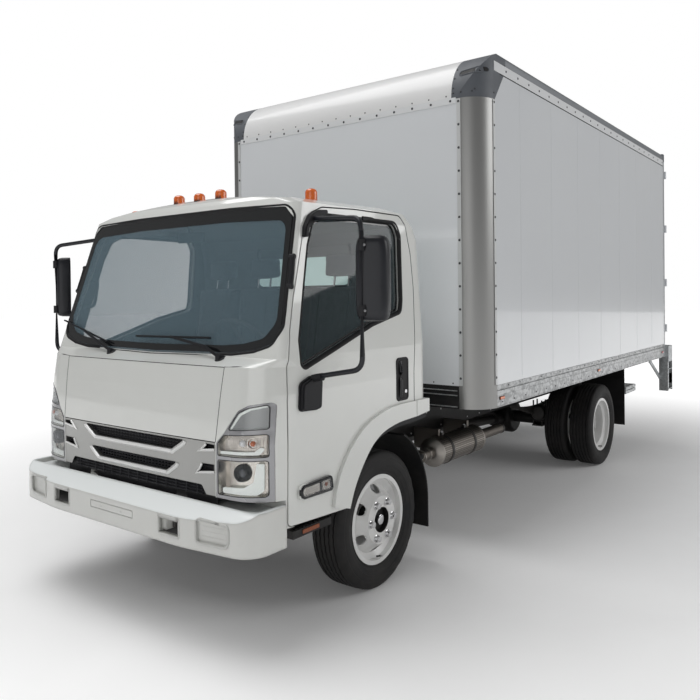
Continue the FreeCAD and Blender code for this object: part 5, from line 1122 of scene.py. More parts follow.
    def build(self, palette: Palette) -> None:
        """Dress every CAD node.

        Args:
            palette: the finishes.
        """
        for node, finish in self.plain:
            dress(node, palette, finish)
        for side in Side:
            for node, finish in self.paired:
                dress(f"{node}_{side.word}", palette, finish)
            dress(f"door_{side.word}", palette, "cab_paint", self.door)
            dress(f"door_glass_{side.word}", palette, "side_glass")
            dress(f"front_wheel_{side.word}", palette, "wheel_paint", self.wheel)
            dress(f"rear_wheels_{side.word}", palette, "wheel_paint", self.wheel)
        dress("cab_shell", palette, "cab_paint", self.cab)
        dress("front_panel", palette, "cab_paint")
        dress("windshield", palette, "front_glass")
        dress("front_bumper", palette, "bumper_paint", self.bumper)
        dress("arch_flares", palette, "cab_paint", self.flare)
        dress("roof_lamps", palette, "amber_lamp", self.roof_lamp)
        dress("dashboard", palette, "dash_grey")
        dress("cargo_floor", palette, "frame_black", self.floor)
        dress("body_walls", palette, "body_sheet", self.walls)
        dress("body_rails", palette, "rail_aluminium", self.rails)
        dress("rear_frame", palette, "galvanised", self.rear_frame)


@dataclass
class Studio:
    """Pale floor, soft lamps and the camera."""

    floor_colour: Colour = (0.94, 0.94, 0.94)
    speck_colour: Colour = (0.92, 0.92, 0.92)
    floor_half: float = 60.0
    floor_drop: float = 0.0005
    world_strength: float = 0.25
    lamps: tuple = (
        ("soft_top", (4.2, -3.0, 13.0), (1.2, 0, 1.5), (11.0, 8.0), 980),
        ("soft_front", (10.5, 3.0, 3.0), (1.5, 0, 1.4), (6.0, 4.0), 80),
        ("soft_side", (-4.6, 10.0, 5.6), (-2.8, 1.2, 2.8), (8.0, 4.0), 330),
    )
    focal: float = 36.417
    shift: Flat = (0.0041, -0.0682)
    camera_spot: Spot = (3454.217, 3313.236, 1731.935)
    yaw: float = -2.495
    pitch: float = -0.009
    roll: float = -0.011

    def floor(self) -> None:
        """Floor that shows white to the camera far off; near the truck its painted glow fades, which darkens
        it beyond the real shadow.
        """
        mesh = bpy.data.meshes.new("studio_floor")
        half = self.floor_half
        corners = [(-half, -half, 0), (half, -half, 0), (half, half, 0), (-half, half, 0)]
        mesh.from_pydata(corners, [], [(0, 1, 2, 3)])
        made = bpy.data.objects.new("studio_floor", mesh)
        bpy.context.scene.collection.objects.link(made)
        made.location.z = -self.floor_drop
        material = bpy.data.materials.new("pale_floor")
        material.use_nodes = True
        graph = Graph(material.node_tree)
        shader = material.node_tree.nodes["Principled BSDF"]
        speck = graph.span(graph.noise(graph.place(), 3.0), 0.3, 0.7)
        graph.join(graph.blend(speck, self.floor_colour, self.speck_colour), shader.inputs["Base Color"])
        shader.inputs["Roughness"].default_value = 0.9
        shader.inputs["Specular IOR Level"].default_value = 0.1
        path = graph.node("LightPath")
        seen = graph.sum("MAXIMUM", path.outputs["Is Camera Ray"], path.outputs["Is Glossy Ray"])
        seen = graph.sum("MAXIMUM", seen, path.outputs["Is Transmission Ray"])
        away = graph.node("VectorMath", operation="LENGTH")
        graph.join(graph.place(), away.inputs[0])
        # Painted glow for seen rays: faint near the truck and strong far off, so the far floor reads white
        # and the floor round the truck is darker, painted shade on top of the real shadow.
        glow = graph.sum("MULTIPLY", seen, graph.span(away.outputs["Value"], 3.0, 9.0, 0.04, 0.80))
        graph.join(glow, shader.inputs["Emission Strength"])
        shader.inputs["Emission Color"].default_value = (1, 1, 1, 1)
        mesh.materials.append(material)

    def world(self) -> None:
        """White to the camera and through glass, softer as a light and in reflections."""
        world = bpy.context.scene.world or bpy.data.worlds.new("studio")
        bpy.context.scene.world = world
        world.use_nodes = True
        graph = Graph(world.node_tree)
        background = world.node_tree.nodes["Background"]
        background.inputs["Color"].default_value = (1, 1, 1, 1)
        path = graph.node("LightPath")
        seen = graph.sum("MAXIMUM", path.outputs["Is Camera Ray"], path.outputs["Is Transmission Ray"])
        strength = graph.span(seen, 0.0, 1.0, self.world_strength, 1.0)
        graph.join(strength, background.inputs["Strength"])

    def lamp(self, name: str, spot: Spot, aim: Spot, size: Flat, watts: float) -> None:
        """Add one soft lamp.

        Args:
            name: its name.
            spot: place in metres.
            aim: point it faces.
            size: width and height in metres.
            watts: its power.
        """
        light = bpy.data.lights.new(name, "AREA")
        light.shape = "RECTANGLE"
        light.size, light.size_y = size
        light.energy = watts
        made = bpy.data.objects.new(name, light)
        bpy.context.scene.collection.objects.link(made)
        made.location = spot
        made.rotation_euler = (Vector(aim) - Vector(spot)).to_track_quat("-Z", "Y").to_euler()

    def camera(self) -> None:
        """Camera at the photograph's place and angle."""
        lens = bpy.data.cameras.new("photo_camera")
        lens.sensor_width = 36.0
        lens.lens = self.focal
        lens.shift_x, lens.shift_y = self.shift
        lens.clip_end = 300.0
        made = bpy.data.objects.new("photo_camera", lens)
        bpy.context.scene.collection.objects.link(made)
        ahead = Vector((math.cos(self.pitch) * math.cos(self.yaw), math.cos(self.pitch) * math.sin(self.yaw),
                        math.sin(self.pitch)))
        right = Vector((math.sin(self.yaw), -math.cos(self.yaw), 0.0))
        up = right.cross(ahead)
        level = right * math.cos(self.roll) + up * math.sin(self.roll)
        upright = up * math.cos(self.roll) - right * math.sin(self.roll)
        turn = Matrix((level, upright, -ahead)).transposed().to_4x4()
        made.matrix_world = Matrix.Translation(at(*self.camera_spot)) @ turn
        bpy.context.scene.camera = made

    def build(self) -> None:
        """Put up the studio."""
        self.floor()
        self.world()
        for lamp in self.lamps:
            self.lamp(*lamp)
        bpy.context.scene.view_settings.view_transform = "Standard"
        self.camera()
        log.info("studio: floor, world, lamps and camera")


Project = Callable[[float, float], tuple[Vector, Vector]]
Outline = Sequence[Sequence[float]]


def rounded(points: Outline, steps: int = 5) -> list[Flat]:
    """Outline whose corners with a third number are rounded by that radius.

    Args:
        points: (a, b) or (a, b, radius).
        steps: points in each arc.

    Returns:
        Plain (a, b) points.
    """
    result: list[Flat] = []
    count = len(points)
    for i, point in enumerate(points):
        here = Vector(point[:2])
        if len(point) < 3:
            result.append((here.x, here.y))
            continue
        back = (Vector(points[i - 1][:2]) - here).normalized()
        ahead = (Vector(points[(i + 1) % count][:2]) - here).normalized()
        half = max(back.angle(ahead) / 2, 0.05)
        centre = here + (back + ahead).normalized() * (point[2] / math.sin(half))
        start = here + back * (point[2] / math.tan(half)) - centre
        end = here + ahead * (point[2] / math.tan(half)) - centre
        sweep = start.angle_signed(end)
        for k in range(steps + 1):
            angle = -sweep * k / steps
            turn = Matrix.Rotation(angle, 2)
            spot = centre + turn @ start
            result.append((spot.x, spot.y))
    return result


def shrunk(points: Sequence[Flat], amount: float) -> list[Flat]:
    """Closed outline moved inwards by amount, outwards if it is negative.

    Args:
        points: the points.
        amount: how far, in millimetres.

    Returns:
        The moved outline.
    """
    area = sum(a[0] * b[1] - b[0] * a[1] for a, b in zip(points, list(points[1:]) + [points[0]]))
    side = 1.0 if area > 0 else -1.0
    result = []
    count = len(points)
    for i, point in enumerate(points):
        here = Vector(point)
        first = here - Vector(points[i - 1])
        second = Vector(points[(i + 1) % count]) - here
        if first.length < 1e-6 or second.length < 1e-6:
            first = second = first if first.length > second.length else second
        first.normalize()
        second.normalize()
        normals = [Vector((-v.y, v.x)) * side for v in (first, second)]
        middle = (normals[0] + normals[1]).normalized()
        moved = here + middle * (amount / max(middle.dot(normals[0]), 0.3))
        result.append((moved.x, moved.y))
    return result


def dense(points: Sequence[Flat], step: float) -> list[Flat]:
    """Closed outline with points no further apart than step.

    Args:
        points: the points.
        step: largest distance in millimetres.

    Returns:
        The outline with more points.
    """
    result: list[Flat] = []
    for a, b in zip(points, list(points[1:]) + [points[0]]):
        parts = max(1, math.ceil(math.dist(a, b) / step))
        result += [(a[0] + (b[0] - a[0]) * i / parts, a[1] + (b[1] - a[1]) * i / parts) for i in range(parts)]
    return result


class Skin:
    """Outer surfaces of CAD nodes, looked up along a straight line."""

    def __init__(self, *nodes: str) -> None:
        """Gather the faces of the named nodes."""
        spots: list[Vector] = []
        faces: list[tuple[int, ...]] = []
        for node in nodes:
            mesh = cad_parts[node].data
            start = len(spots)
            spots += [vertex.co.copy() for vertex in mesh.vertices]
            faces += [tuple(start + i for i in face.vertices) for face in mesh.polygons]
        self.tree = BVHTree.FromPolygons(spots, faces)

    def cast(self, start: Vector, way: Vector) -> tuple[Vector, Vector]:
        """First surface met from a start along a way.

        Args:
            start: start of the ray.
            way: direction of the ray.

        Returns:
            The place met and its normal.
        """
        spot, normal, _, _ = self.tree.ray_cast(start, way)
        if spot is None:
            spot, normal, _, _ = self.tree.find_nearest(start + way * (start.length * 0.5))
        if normal.dot(way) > 0:
            normal = -normal
        return spot, normal

    def front(self, y: float, z: float) -> tuple[Vector, Vector]:
        """Surface met from ahead at a height and a distance to the left."""
        return self.cast(at(1600, y, z), BEHIND)

    def side(self, sign: int) -> Project:
        """Look-up from one side at a distance forward and a height."""
        return lambda x, z: self.cast(at(x, sign * 1700, z), Vector((0, -sign, 0)))


class SurfaceForm(Form):
    """Form with sheets and bands that lie on a surface."""

    def patch(self, outline: Sequence[Flat], project: Project, lift: float, thick: float, step: float = 40.0,
              holes: Sequence[Sequence[Flat]] = ()) -> None:
        """Add a sheet over an outline on a surface.

        Args:
            outline: closed line in the surface's two directions.
            project: gives the place and normal on the surface.
            lift: height of the sheet's outer face above the surface.
            thick: thickness of the sheet.
            step: largest distance between its points.
            holes: closed lines that stay open.
        """
        loops = [dense(outline, step)] + [dense(hole, step) for hole in holes]
        spots: list[Vector] = []
        edges: list[tuple[int, int]] = []
        for loop in loops:
            start = len(spots)
            spots += [Vector(p) for p in loop]
            edges += [(start + i, start + (i + 1) % len(loop)) for i in range(len(loop))]
        low = [min(p[i] for p in loops[0]) for i in (0, 1)]
        high = [max(p[i] for p in loops[0]) for i in (0, 1)]
        across = max(1, int((high[0] - low[0]) / step))
        up = max(1, int((high[1] - low[1]) / step))
        for i in range(1, across):
            for j in range(1, up):
                spot = (low[0] + (high[0] - low[0]) * i / across, low[1] + (high[1] - low[1]) * j / up)
                if inside(spot, loops[0]) and not any(inside(spot, loop) for loop in loops[1:]):
                    spots.append(Vector(spot))
        points, _, faces, _, _, _ = delaunay_2d_cdt(spots, edges, [], 1, 1e-4)
        kept = []
        for face in faces:
            middle = sum((points[i] for i in face), Vector((0, 0))) / len(face)
            if inside(middle, loops[0]) and not any(inside(middle, loop) for loop in loops[1:]):
                kept.append(face)
        places = [project(p.x, p.y) for p in points]
        top = [self.bm.verts.new(spot + normal * lift * MM) for spot, normal in places]
        under = [self.bm.verts.new(spot + normal * (lift - thick) * MM) for spot, normal in places]
        border: dict[tuple[int, int], int] = {}
        for face in kept:
            self.face([top[i] for i in face])
            self.face([under[i] for i in reversed(face)])
            for i, j in zip(face, list(face[1:]) + [face[0]]):
                border[(min(i, j), max(i, j))] = border.get((min(i, j), max(i, j)), 0) + 1
        for (i, j), count in border.items():
            if count == 1:
                self.face([top[i], top[j], under[j], under[i]])
        for vertex in [v for v in top + under if not v.link_faces]:
            self.bm.verts.remove(vertex)

    def band(self, outline: Sequence[Flat], project: Project, width: float, lift: float, sink: float = 0.0,
             step: float = 60.0, closed: bool = True, crown: float = 0.0) -> None:
        """Add a strip along a line on a surface.

        Args:
            outline: line in the surface's two directions.
            project: gives the place and normal on the surface.
            width: width inwards from the line, outwards if it is negative.
            lift: height above the surface.
            sink: depth below the surface.
            step: largest distance between its points.
            closed: whether the line closes on itself.
            crown: extra height along the middle of the strip.
        """
        line = dense(outline, step) if closed else open_dense(outline, step)
        inner = shrunk(line, width) if closed else moved_aside(line, width)
        rings = []
        for a, b in zip(line, inner):
            middle = ((a[0] + b[0]) / 2, (a[1] + b[1]) / 2)
            (p, n), (q, m), (r, o) = project(*a), project(*b), project(*middle)
            spots = [p - n * sink * MM, p + n * lift * MM]
            if crown:
                spots.append(r + o * (lift + crown) * MM)
            spots += [q + m * lift * MM, q - m * sink * MM]
            rings.append([self.bm.verts.new(spot) for spot in spots])
        count = len(rings[0])
        pairs = list(zip(rings, rings[1:])) + ([(rings[-1], rings[0])] if closed else [])
        for here, there in pairs:
            for j in range(count):
                self.face([here[j], here[(j + 1) % count], there[(j + 1) % count], there[j]])
        if not closed:
            self.face(rings[0][::-1])
            self.face(rings[-1])

    def trim(self, outline: Sequence[Flat], project: Project, outset: float, section: Sequence[Flat],
             step: float = 40.0) -> None:
        """Sweep a section along a closed outline, each place in the frame of the surface just outside it.

        Args:
            outline: closed line in the surface's two directions.
            project: gives the place and normal on the surface.
            outset: how far outside the line the surface is looked up.
            section: (inwards from the outset line, height) points.
            step: largest distance between the sections.
        """
        line = dense(outline, step)
        outer, inner = shrunk(line, -max(outset, 0.5)), shrunk(line, 1.0)
        rings = []
        for a, b in zip(outer, inner):
            spot, normal = project(*a)
            near = project(a[0] + (b[0] - a[0]) * 0.2, a[1] + (b[1] - a[1]) * 0.2)[0] - spot
            near -= normal * near.dot(normal)
            inward = near.normalized()
            rings.append([self.bm.verts.new(spot + (inward * d + normal * h) * MM) for d, h in section])
        count = len(section)
        for here, there in zip(rings, rings[1:] + rings[:1]):
            for j in range(count):
                self.face([here[j], here[(j + 1) % count], there[(j + 1) % count], there[j]])


def inside(spot: Sequence[float], loop: Sequence[Sequence[float]]) -> bool:
    """Whether a spot lies in a closed outline.

    Args:
        spot: the place.
        loop: the closed outline.

    Returns:
        True if it does.
    """
    x, y = spot[0], spot[1]
    found = False
    for (ax, ay), (bx, by) in zip(loop, list(loop[1:]) + [loop[0]]):
        if (ay > y) != (by > y) and x < (bx - ax) * (y - ay) / (by - ay) + ax:
            found = not found
    return found


def open_dense(points: Sequence[Flat], step: float) -> list[Flat]:
    """Open line with points no further apart than step.

    Args:
        points: the points.
        step: largest distance in millimetres.

    Returns:
        The line with more points.
    """
    result: list[Flat] = []
    for a, b in zip(points, points[1:]):
        parts = max(1, math.ceil(math.dist(a, b) / step))
        result += [(a[0] + (b[0] - a[0]) * i / parts, a[1] + (b[1] - a[1]) * i / parts) for i in range(parts)]
    return result + [tuple(points[-1][:2])]


def moved_aside(points: Sequence[Flat], amount: float) -> list[Flat]:
    """Open line moved to its left by amount.

    Args:
        points: the points.
        amount: how far, in millimetres.

    Returns:
        The moved line.
    """
    result = []
    for i, point in enumerate(points):
        ahead = Vector(points[min(i + 1, len(points) - 1)][:2])
        back = Vector(points[max(i - 1, 0)][:2])
        along = (ahead - back).normalized()
        result.append((point[0] - along.y * amount, point[1] + along.x * amount))
    return result


def mirrored(points: Outline, sign: int) -> list[Sequence[float]]:
    """Outline with its first number times a sign, kept in the same turn."""
    moved = [(point[0] * sign, *point[1:]) for point in points]
    return moved if sign > 0 else moved[::-1]


class CabNose:
    """Shape of the cab's front below the glass: crowned face and quarter-round corners."""

    ROWS = ((583, 1062, 1000, 230), (1010, 1062, 1000, 230), (1250, 1035, 1000, 225), (1385, 1014, 988, 215),
            (1425, 905, 984, 48))
    CROWN = 14.0

    @classmethod
    def depth(cls, y: float, z: float) -> float:
        """Distance forward of the face at a place.

        Args:
            y: distance to the left, in millimetres.
            z: height in millimetres.

        Returns:
            The distance in millimetres.
        """
        row = next((i for i, r in enumerate(cls.ROWS[1:]) if z <= r[0]), len(cls.ROWS) - 2)
        low, high = cls.ROWS[row], cls.ROWS[row + 1]
        part = min(max((z - low[0]) / (high[0] - low[0]), 0.0), 1.0)
        front, half, corner = (low[i] + (high[i] - low[i]) * part for i in (1, 2, 3))
        flat = half - corner
        reach = abs(y)
        if reach <= flat:
            return front - cls.CROWN * (reach / flat) ** 2
        over = min(reach - flat, corner * 0.995)
        return front - cls.CROWN - corner + math.sqrt(corner * corner - over * over)

    @classmethod
    def project(cls, y: float, z: float) -> tuple[Vector, Vector]:
        """Place and normal of the face.

        Args:
            y: distance to the left, in millimetres.
            z: height in millimetres.

        Returns:
            Place in metres and unit normal.
        """
        spot = at(cls.depth(y, z), y, z)
        across = at(cls.depth(y + 2, z), y + 2, z) - at(cls.depth(y - 2, z), y - 2, z)
        up = at(cls.depth(y, z + 2), y, z + 2) - at(cls.depth(y, z - 2), y, z - 2)
        return spot, across.cross(up).normalized()

    @classmethod
    def sunk(cls, depth: float) -> Project:
        """Face moved straight back by a depth.

        Args:
            depth: how far behind the face, in millimetres.

        Returns:
            The sunk face.
        """
        def look(y: float, z: float) -> tuple[Vector, Vector]:
            spot, normal = cls.project(y, z)
            return spot - Vector((depth * MM, 0, 0)), normal
        return look


@dataclass
class Headlamps:
    """Both lamp units: housing with bezel, bowls, projector, light bars, bulb and clear covers."""

    outline: tuple = ((673, 739), (673, 1009, 26), (723, 1060), (806, 1175, 30), (860, 1203, 40),
                      (965, 1221, 18), (965, 739))
    lower: tuple = ((686, 758, 10), (686, 926, 10), (946, 938, 10), (946, 766, 14))
    middle: tuple = ((686, 950, 8), (686, 1008, 16), (724, 1050, 12), (946, 1066, 12), (948, 958, 10))
    upper: tuple = ((750, 1080, 6), (812, 1166, 30), (862, 1190, 40), (944, 1207, 14), (946, 1094, 8))
    bowl_depth: float = 46.0
    upper_depth: float = 12.0
    projector: Flat = (813, 870)
    projector_radius: float = 38.0
    bulb: Flat = (872, 1018)
    bulb_radius: float = 25.0
    cover_lift: float = -1.0
    drl: tuple = ((704, 764, 10), (704, 790, 10), (836, 802, 20), (884, 832, 22), (898, 922, 6),
                  (928, 922, 6), (926, 790, 22), (900, 770, 20))
    garnish: tuple = ((757, 1082), (811, 1162, 24), (864, 1190, 44), (938, 1206, 3), (939, 1197, 3),
                      (868, 1180, 44), (820, 1154, 24), (768, 1084))
    middle_bar: tuple = ((692, 956, 4), (692, 969, 4), (890, 980, 8), (916, 1002, 6), (932, 996, 6),
                         (912, 966, 14))

    @property
    def middle_depth(self) -> float:
        """Depth of the middle bowl."""
        return self.bowl_depth * 0.7

    def bowl(self, form: SurfaceForm, tier: Outline, sign: int, depth: float) -> list[Flat]:
        """Add a bowl that narrows towards its back behind a tier.

        Args:
            form: mesh that gets it.
            tier: outline of its mouth.
            sign: side of the truck.
            depth: how far back its floor lies.

        Returns:
            The mouth's outline.
        """
        mouth = rounded(mirrored(tier, sign))
        floor = shrunk(mouth, 7.0)
        form.patch(floor, CabNose.sunk(depth), 0, 3, step=18)
        line = dense(mouth, 18)
        inner = shrunk(line, 7.0)
        rings = []
        front, back = CabNose.sunk(4.0), CabNose.sunk(depth)
        for a, b in zip(line, inner):
            p, q = front(*a)[0], back(*b)[0]
            out = (back(*a)[0] - back(*b)[0]).normalized() * 2.5 * MM
            rings.append([form.bm.verts.new(s) for s in (p, q, q + out, p + out)])
        for here, there in zip(rings, rings[1:] + rings[:1]):
            for j in range(4):
                form.face([here[j], here[(j + 1) % 4], there[(j + 1) % 4], there[j]])
        return mouth

    def flutes(self, form: SurfaceForm, tier: Outline, sign: int, depth: float, spacing: float) -> None:
        """Add upright ribs on a bowl's floor.

        Args:
            form: form that takes the shapes.
            tier: outline of the lamp.
            sign: 1 for left, -1 for right.
            depth: how deep the bowl's floor lies.
            spacing: distance between ribs.
        """
        mouth = shrunk(rounded(mirrored(tier, sign)), 9.0)
        ys = [p[0] for p in mouth]
        y = min(ys) + spacing
        while y < max(ys) - spacing / 2:
            hits = [z for z in range(700, 1240, 2) if inside((y, z), mouth)]
            if len(hits) > 4:
                line = [CabNose.sunk(depth)(y, z)[0] for z in (hits[0], (hits[0] + hits[-1]) / 2, hits[-1])]
                form.tube(line, 2.4, 6)
            y += spacing

    def housing(self, side: Side, palette: Palette) -> None:
        """Bowls behind the covers and the bezel round them.

        Args:
            side: side of the truck.
            palette: the finishes.
        """
        sign = side.value
        form = SurfaceForm().use("lamp_silver")
        lower = self.bowl(form, self.lower, sign, self.bowl_depth)
        middle = self.bowl(form, self.middle, sign, self.middle_depth)
        form.use("lamp_panel")
        upper = self.bowl(form, self.upper, sign, self.upper_depth)
        form.use("lamp_silver")
        self.flutes(form, self.middle, sign, self.middle_depth, 13.0)
        form.use("lamp_bezel")
        form.patch(rounded(mirrored(self.outline, sign)), CabNose.sunk(1.0), 0, 5, step=26,
                   holes=[lower, middle, upper])
        form.use("black_gloss")
        for mouth in (lower, middle, upper):
            form.band(mouth, CabNose.sunk(0.5), -3.5, 1.0, 3.0, step=18)
        form.piece(f"lamp_housing_{side.word}", "cab", palette, slot="silver_trim",
                   replaces=["headlamps"] if sign > 0 else ())

    def optics(self, side: Side, palette: Palette) -> None:
        """Projector in the lower bowl, amber and clear bulbs in the middle one.

        Args:
            side: side of the truck.
            palette: the finishes.
        """
        sign = side.value
        form = SurfaceForm()
        spot = CabNose.sunk(self.bowl_depth)(sign * self.projector[0], self.projector[1])[0]
        out = Vector((1, sign * 0.12, 0)).normalized()
        r = self.projector_radius
        barrel = [(r + 6, 0), (r + 6, 12), (r + 2, 30), (r - 3, 31), (r - 5, 14), (r - 5, 2)]
        collar = [(r - 5.5, 2), (r - 5.5, 10), (r - 12, 12), (r - 12, 3)]
        dome = [(r - 12.5, 2), (r - 12.5, 9), (r - 17, 17), (r - 24, 21), (2, 23)]
        form.use("black_gloss").turned(spot, out, barrel, 40, closed=True)
        form.use("lamp_silver").turned(spot, out, collar, 32, closed=True)
        form.use("projector_glass").turned(spot, out, dome, 32)
        look = CabNose.sunk(self.middle_depth)
        spot = look(sign * self.bulb[0], self.bulb[1])[0]
        out = Vector((0.86, sign * 0.5, 0)).normalized()
        r = self.bulb_radius
        cup = [(r + 4, -6), (r + 4, 6), (r, 6), (r - 3, -2), (r - 8, -5)]
        form.use("lamp_silver").turned(spot, out, cup, 32)
        form.use("amber_lamp").turned(spot, out, [(13, -4), (13, 8), (11, 14), (7, 19), (2, 21)], 24)
        spot = look(sign * (self.bulb[0] - 52), self.bulb[1] - 2)[0]
        form.use("white_lamp").turned(spot, Vector((1, sign * 0.2, 0)).normalized(),
                                      [(16, -4), (16, 5), (12, 12), (4, 16)], 24)
        form.piece(f"lamp_optics_{side.word}", "cab", palette, smooth=40, slot="lamp_lens")

    def light_bars(self, side: Side, palette: Palette) -> None:
        """Bent light bars and the bright strip of the upper tier.

        Args:
            side: side of the truck.
            palette: the finishes.
        """
        form = SurfaceForm().use("lamp_line")
        for line, depth, thick in ((self.drl, 14.0, 10), (self.garnish, 6.0, 5), (self.middle_bar, 12.0, 8)):
            form.patch(rounded(mirrored(line, side.value)), CabNose.sunk(depth), 0, thick, step=16)
        form.piece(f"lamp_light_bars_{side.word}", "cab", palette, slot="lamp_lens")

    def covers(self, side: Side, palette: Palette) -> None:
        """Clear covers flush with the cab's face.

        Args:
            side: side of the truck.
            palette: the finishes.
        """
        form = SurfaceForm().use("lamp_lens")
        for tier in (self.lower, self.middle, self.upper):
            line = shrunk(rounded(mirrored(tier, side.value)), 0.6)
            form.patch(line, CabNose.project, self.cover_lift, 2.0, step=20)
        form.piece(f"lamp_covers_{side.word}", "cab", palette, slot="lamp_lens")

    def build(self, palette: Palette) -> None:
        """Build both units.

        Args:
            palette: the finishes.
        """
        for side in Side:
            self.housing(side, palette)
            self.optics(side, palette)
            self.light_bars(side, palette)
            self.covers(side, palette)


@dataclass
class Grille:
    """Silver grille plate with its openings, bright lips, dark slats and the black slot below."""

    plate: tuple = ((-668, 742), (-668, 1008), (668, 1008), (668, 742), (600, 742), (566, 788, 20),
                    (-566, 788, 20), (-600, 742))
    openings: tuple = (
        ((-446, 1002, 6), (-340, 938, 22), (340, 938, 22), (446, 1002, 6)),
        ((-388, 880, 6), (-300, 822, 20), (300, 822, 20), (388, 880, 6)),
    )
    side_openings: tuple = (
        ((664, 1000, 4), (596, 1002, 4), (534, 950, 4), (664, 966, 4)),
        ((660, 901, 4), (563, 899, 4), (522, 836, 6), (660, 853, 4)),
    )
    lip: float = 24.0
    mesh_depth: float = 34.0
    mesh_spans: tuple = ((806, 888, -400, 400), (926, 1006, -452, 452))
    slot_left: tuple = ((346, 690), (346, 728), (434, 728), (434, 690), (660, 690), (660, 742), (604, 742),
                        (570, 792))
    slot_ribs: tuple = (738, 754, 770)

    def plate_piece(self, palette: Palette) -> None:
        """The plate itself with raised edges round the openings.

        Args:
            palette: the finishes.
        """
        form = SurfaceForm().use("silver_trim")
        holes = [rounded(line) for line in self.openings]
        for side in Side:
            holes += [rounded(mirrored(line, side.value)) for line in self.side_openings]
        form.patch(rounded(self.plate), CabNose.sunk(2.0), 0, 5.0, step=34, holes=holes)
        for hole in holes:
            form.band(hole, CabNose.sunk(2.0), 2.0, 1.0, 30.0, step=30)
        form.piece("grille_plate", "cab", palette, slot="silver_trim", replaces=["grille"])

    def lips(self, palette: Palette) -> None:
        """Rounded bright lips under the openings.

        Args:
            palette: the finishes.
        """
        form = SurfaceForm().use("bright_lip")
        for line in self.openings:
            points = rounded(line)
            low = [p for p in points if p[1] < max(q[1] for q in points) - 8]
            low.sort(key=lambda p: p[0])
            first, last = min(points), max(points)
            route = [first] + low + [last]
            form.band(route, CabNose.sunk(2.0), -self.lip, 2.0, 1.0, step=40, closed=False, crown=9.0)
        for side in Side:
            for line in self.side_openings:
                a, b = line[2], line[3]
                c = line[1]
                route = [(c[0] * side.value, c[1]), (a[0] * side.value, a[1]), (b[0] * side.value, b[1])]
                form.band(route, CabNose.sunk(2.0), 14.0 * side.value, 2.0, 1.0, closed=False, crown=5.0)
        form.piece("grille_lips", "cab", palette, smooth=60, slot="silver_trim")

    def mesh(self, palette: Palette) -> None:
        """Dark slats and uprights behind the openings.

        Args:
            palette: the finishes.
        """
        form = SurfaceForm()
        spans = list(self.mesh_spans)
        for side in (-1, 1):
            spans += [(830, 904, *sided(side, 515, 664)), (944, 1004, *sided(side, 528, 666))]
        back, slat, post = (CabNose.sunk(self.mesh_depth - k) for k in (0, 9, 7))
        for low, high, start, end in spans:
            form.use("black_gloss")
            count = max(4, int((end - start) / 50))
            rows = [[back(start + (end - start) * i / count, z)[0] for i in range(count + 1)]
                    for z in (low, high)]
            form.sheet(rows, 3.0)
            form.use("grille_slat")
            for i in range(5):
                z = low + (high - low) * (i + 0.5) / 5
                form.tube([slat(start + (end - start) * k / count, z)[0] for k in range(count + 1)], 4.2, 6)
            posts = int((end - start) / 26)
            for k in range(posts):
                y = start + (end - start) * (k + 0.5) / posts
                form.tube([post(y, z)[0] for z in (low + 2, high - 2)], 3.0, 6)
        form.piece("grille_mesh", "cab", palette, slot="black_plastic")

    def lower_slot(self, palette: Palette) -> None:
        """Dark ribbed panel between grille and bumper, notched where the frame's rails pass as the cab tilts.

        Args:
            palette: the finishes.
        """
        form = SurfaceForm().use("black_plastic")
        left = list(self.slot_left)
        form.patch(left + mirrored(left, -1), CabNose.sunk(22.0), 0, 4.0, step=60)
        form.use("grille_slat")
        for z in self.slot_ribs:
            form.tube([CabNose.sunk(17.0)(-560 + 1120 * k / 16, z)[0] for k in range(17)], 4.5, 6)
        for k in range(14):
            y = -520 + 80 * k
            form.tube([CabNose.sunk(15.0)(y, z)[0] for z in (730, 784)], 3.4, 6)
        form.piece("grille_lower_slot", "cab", palette, slot="black_plastic")

    def build(self, palette: Palette) -> None:
        """Build the grille.

        Args:
            palette: the finishes.
        """
        self.plate_piece(palette)
        self.lips(palette)
        self.mesh(palette)
        self.lower_slot(palette)


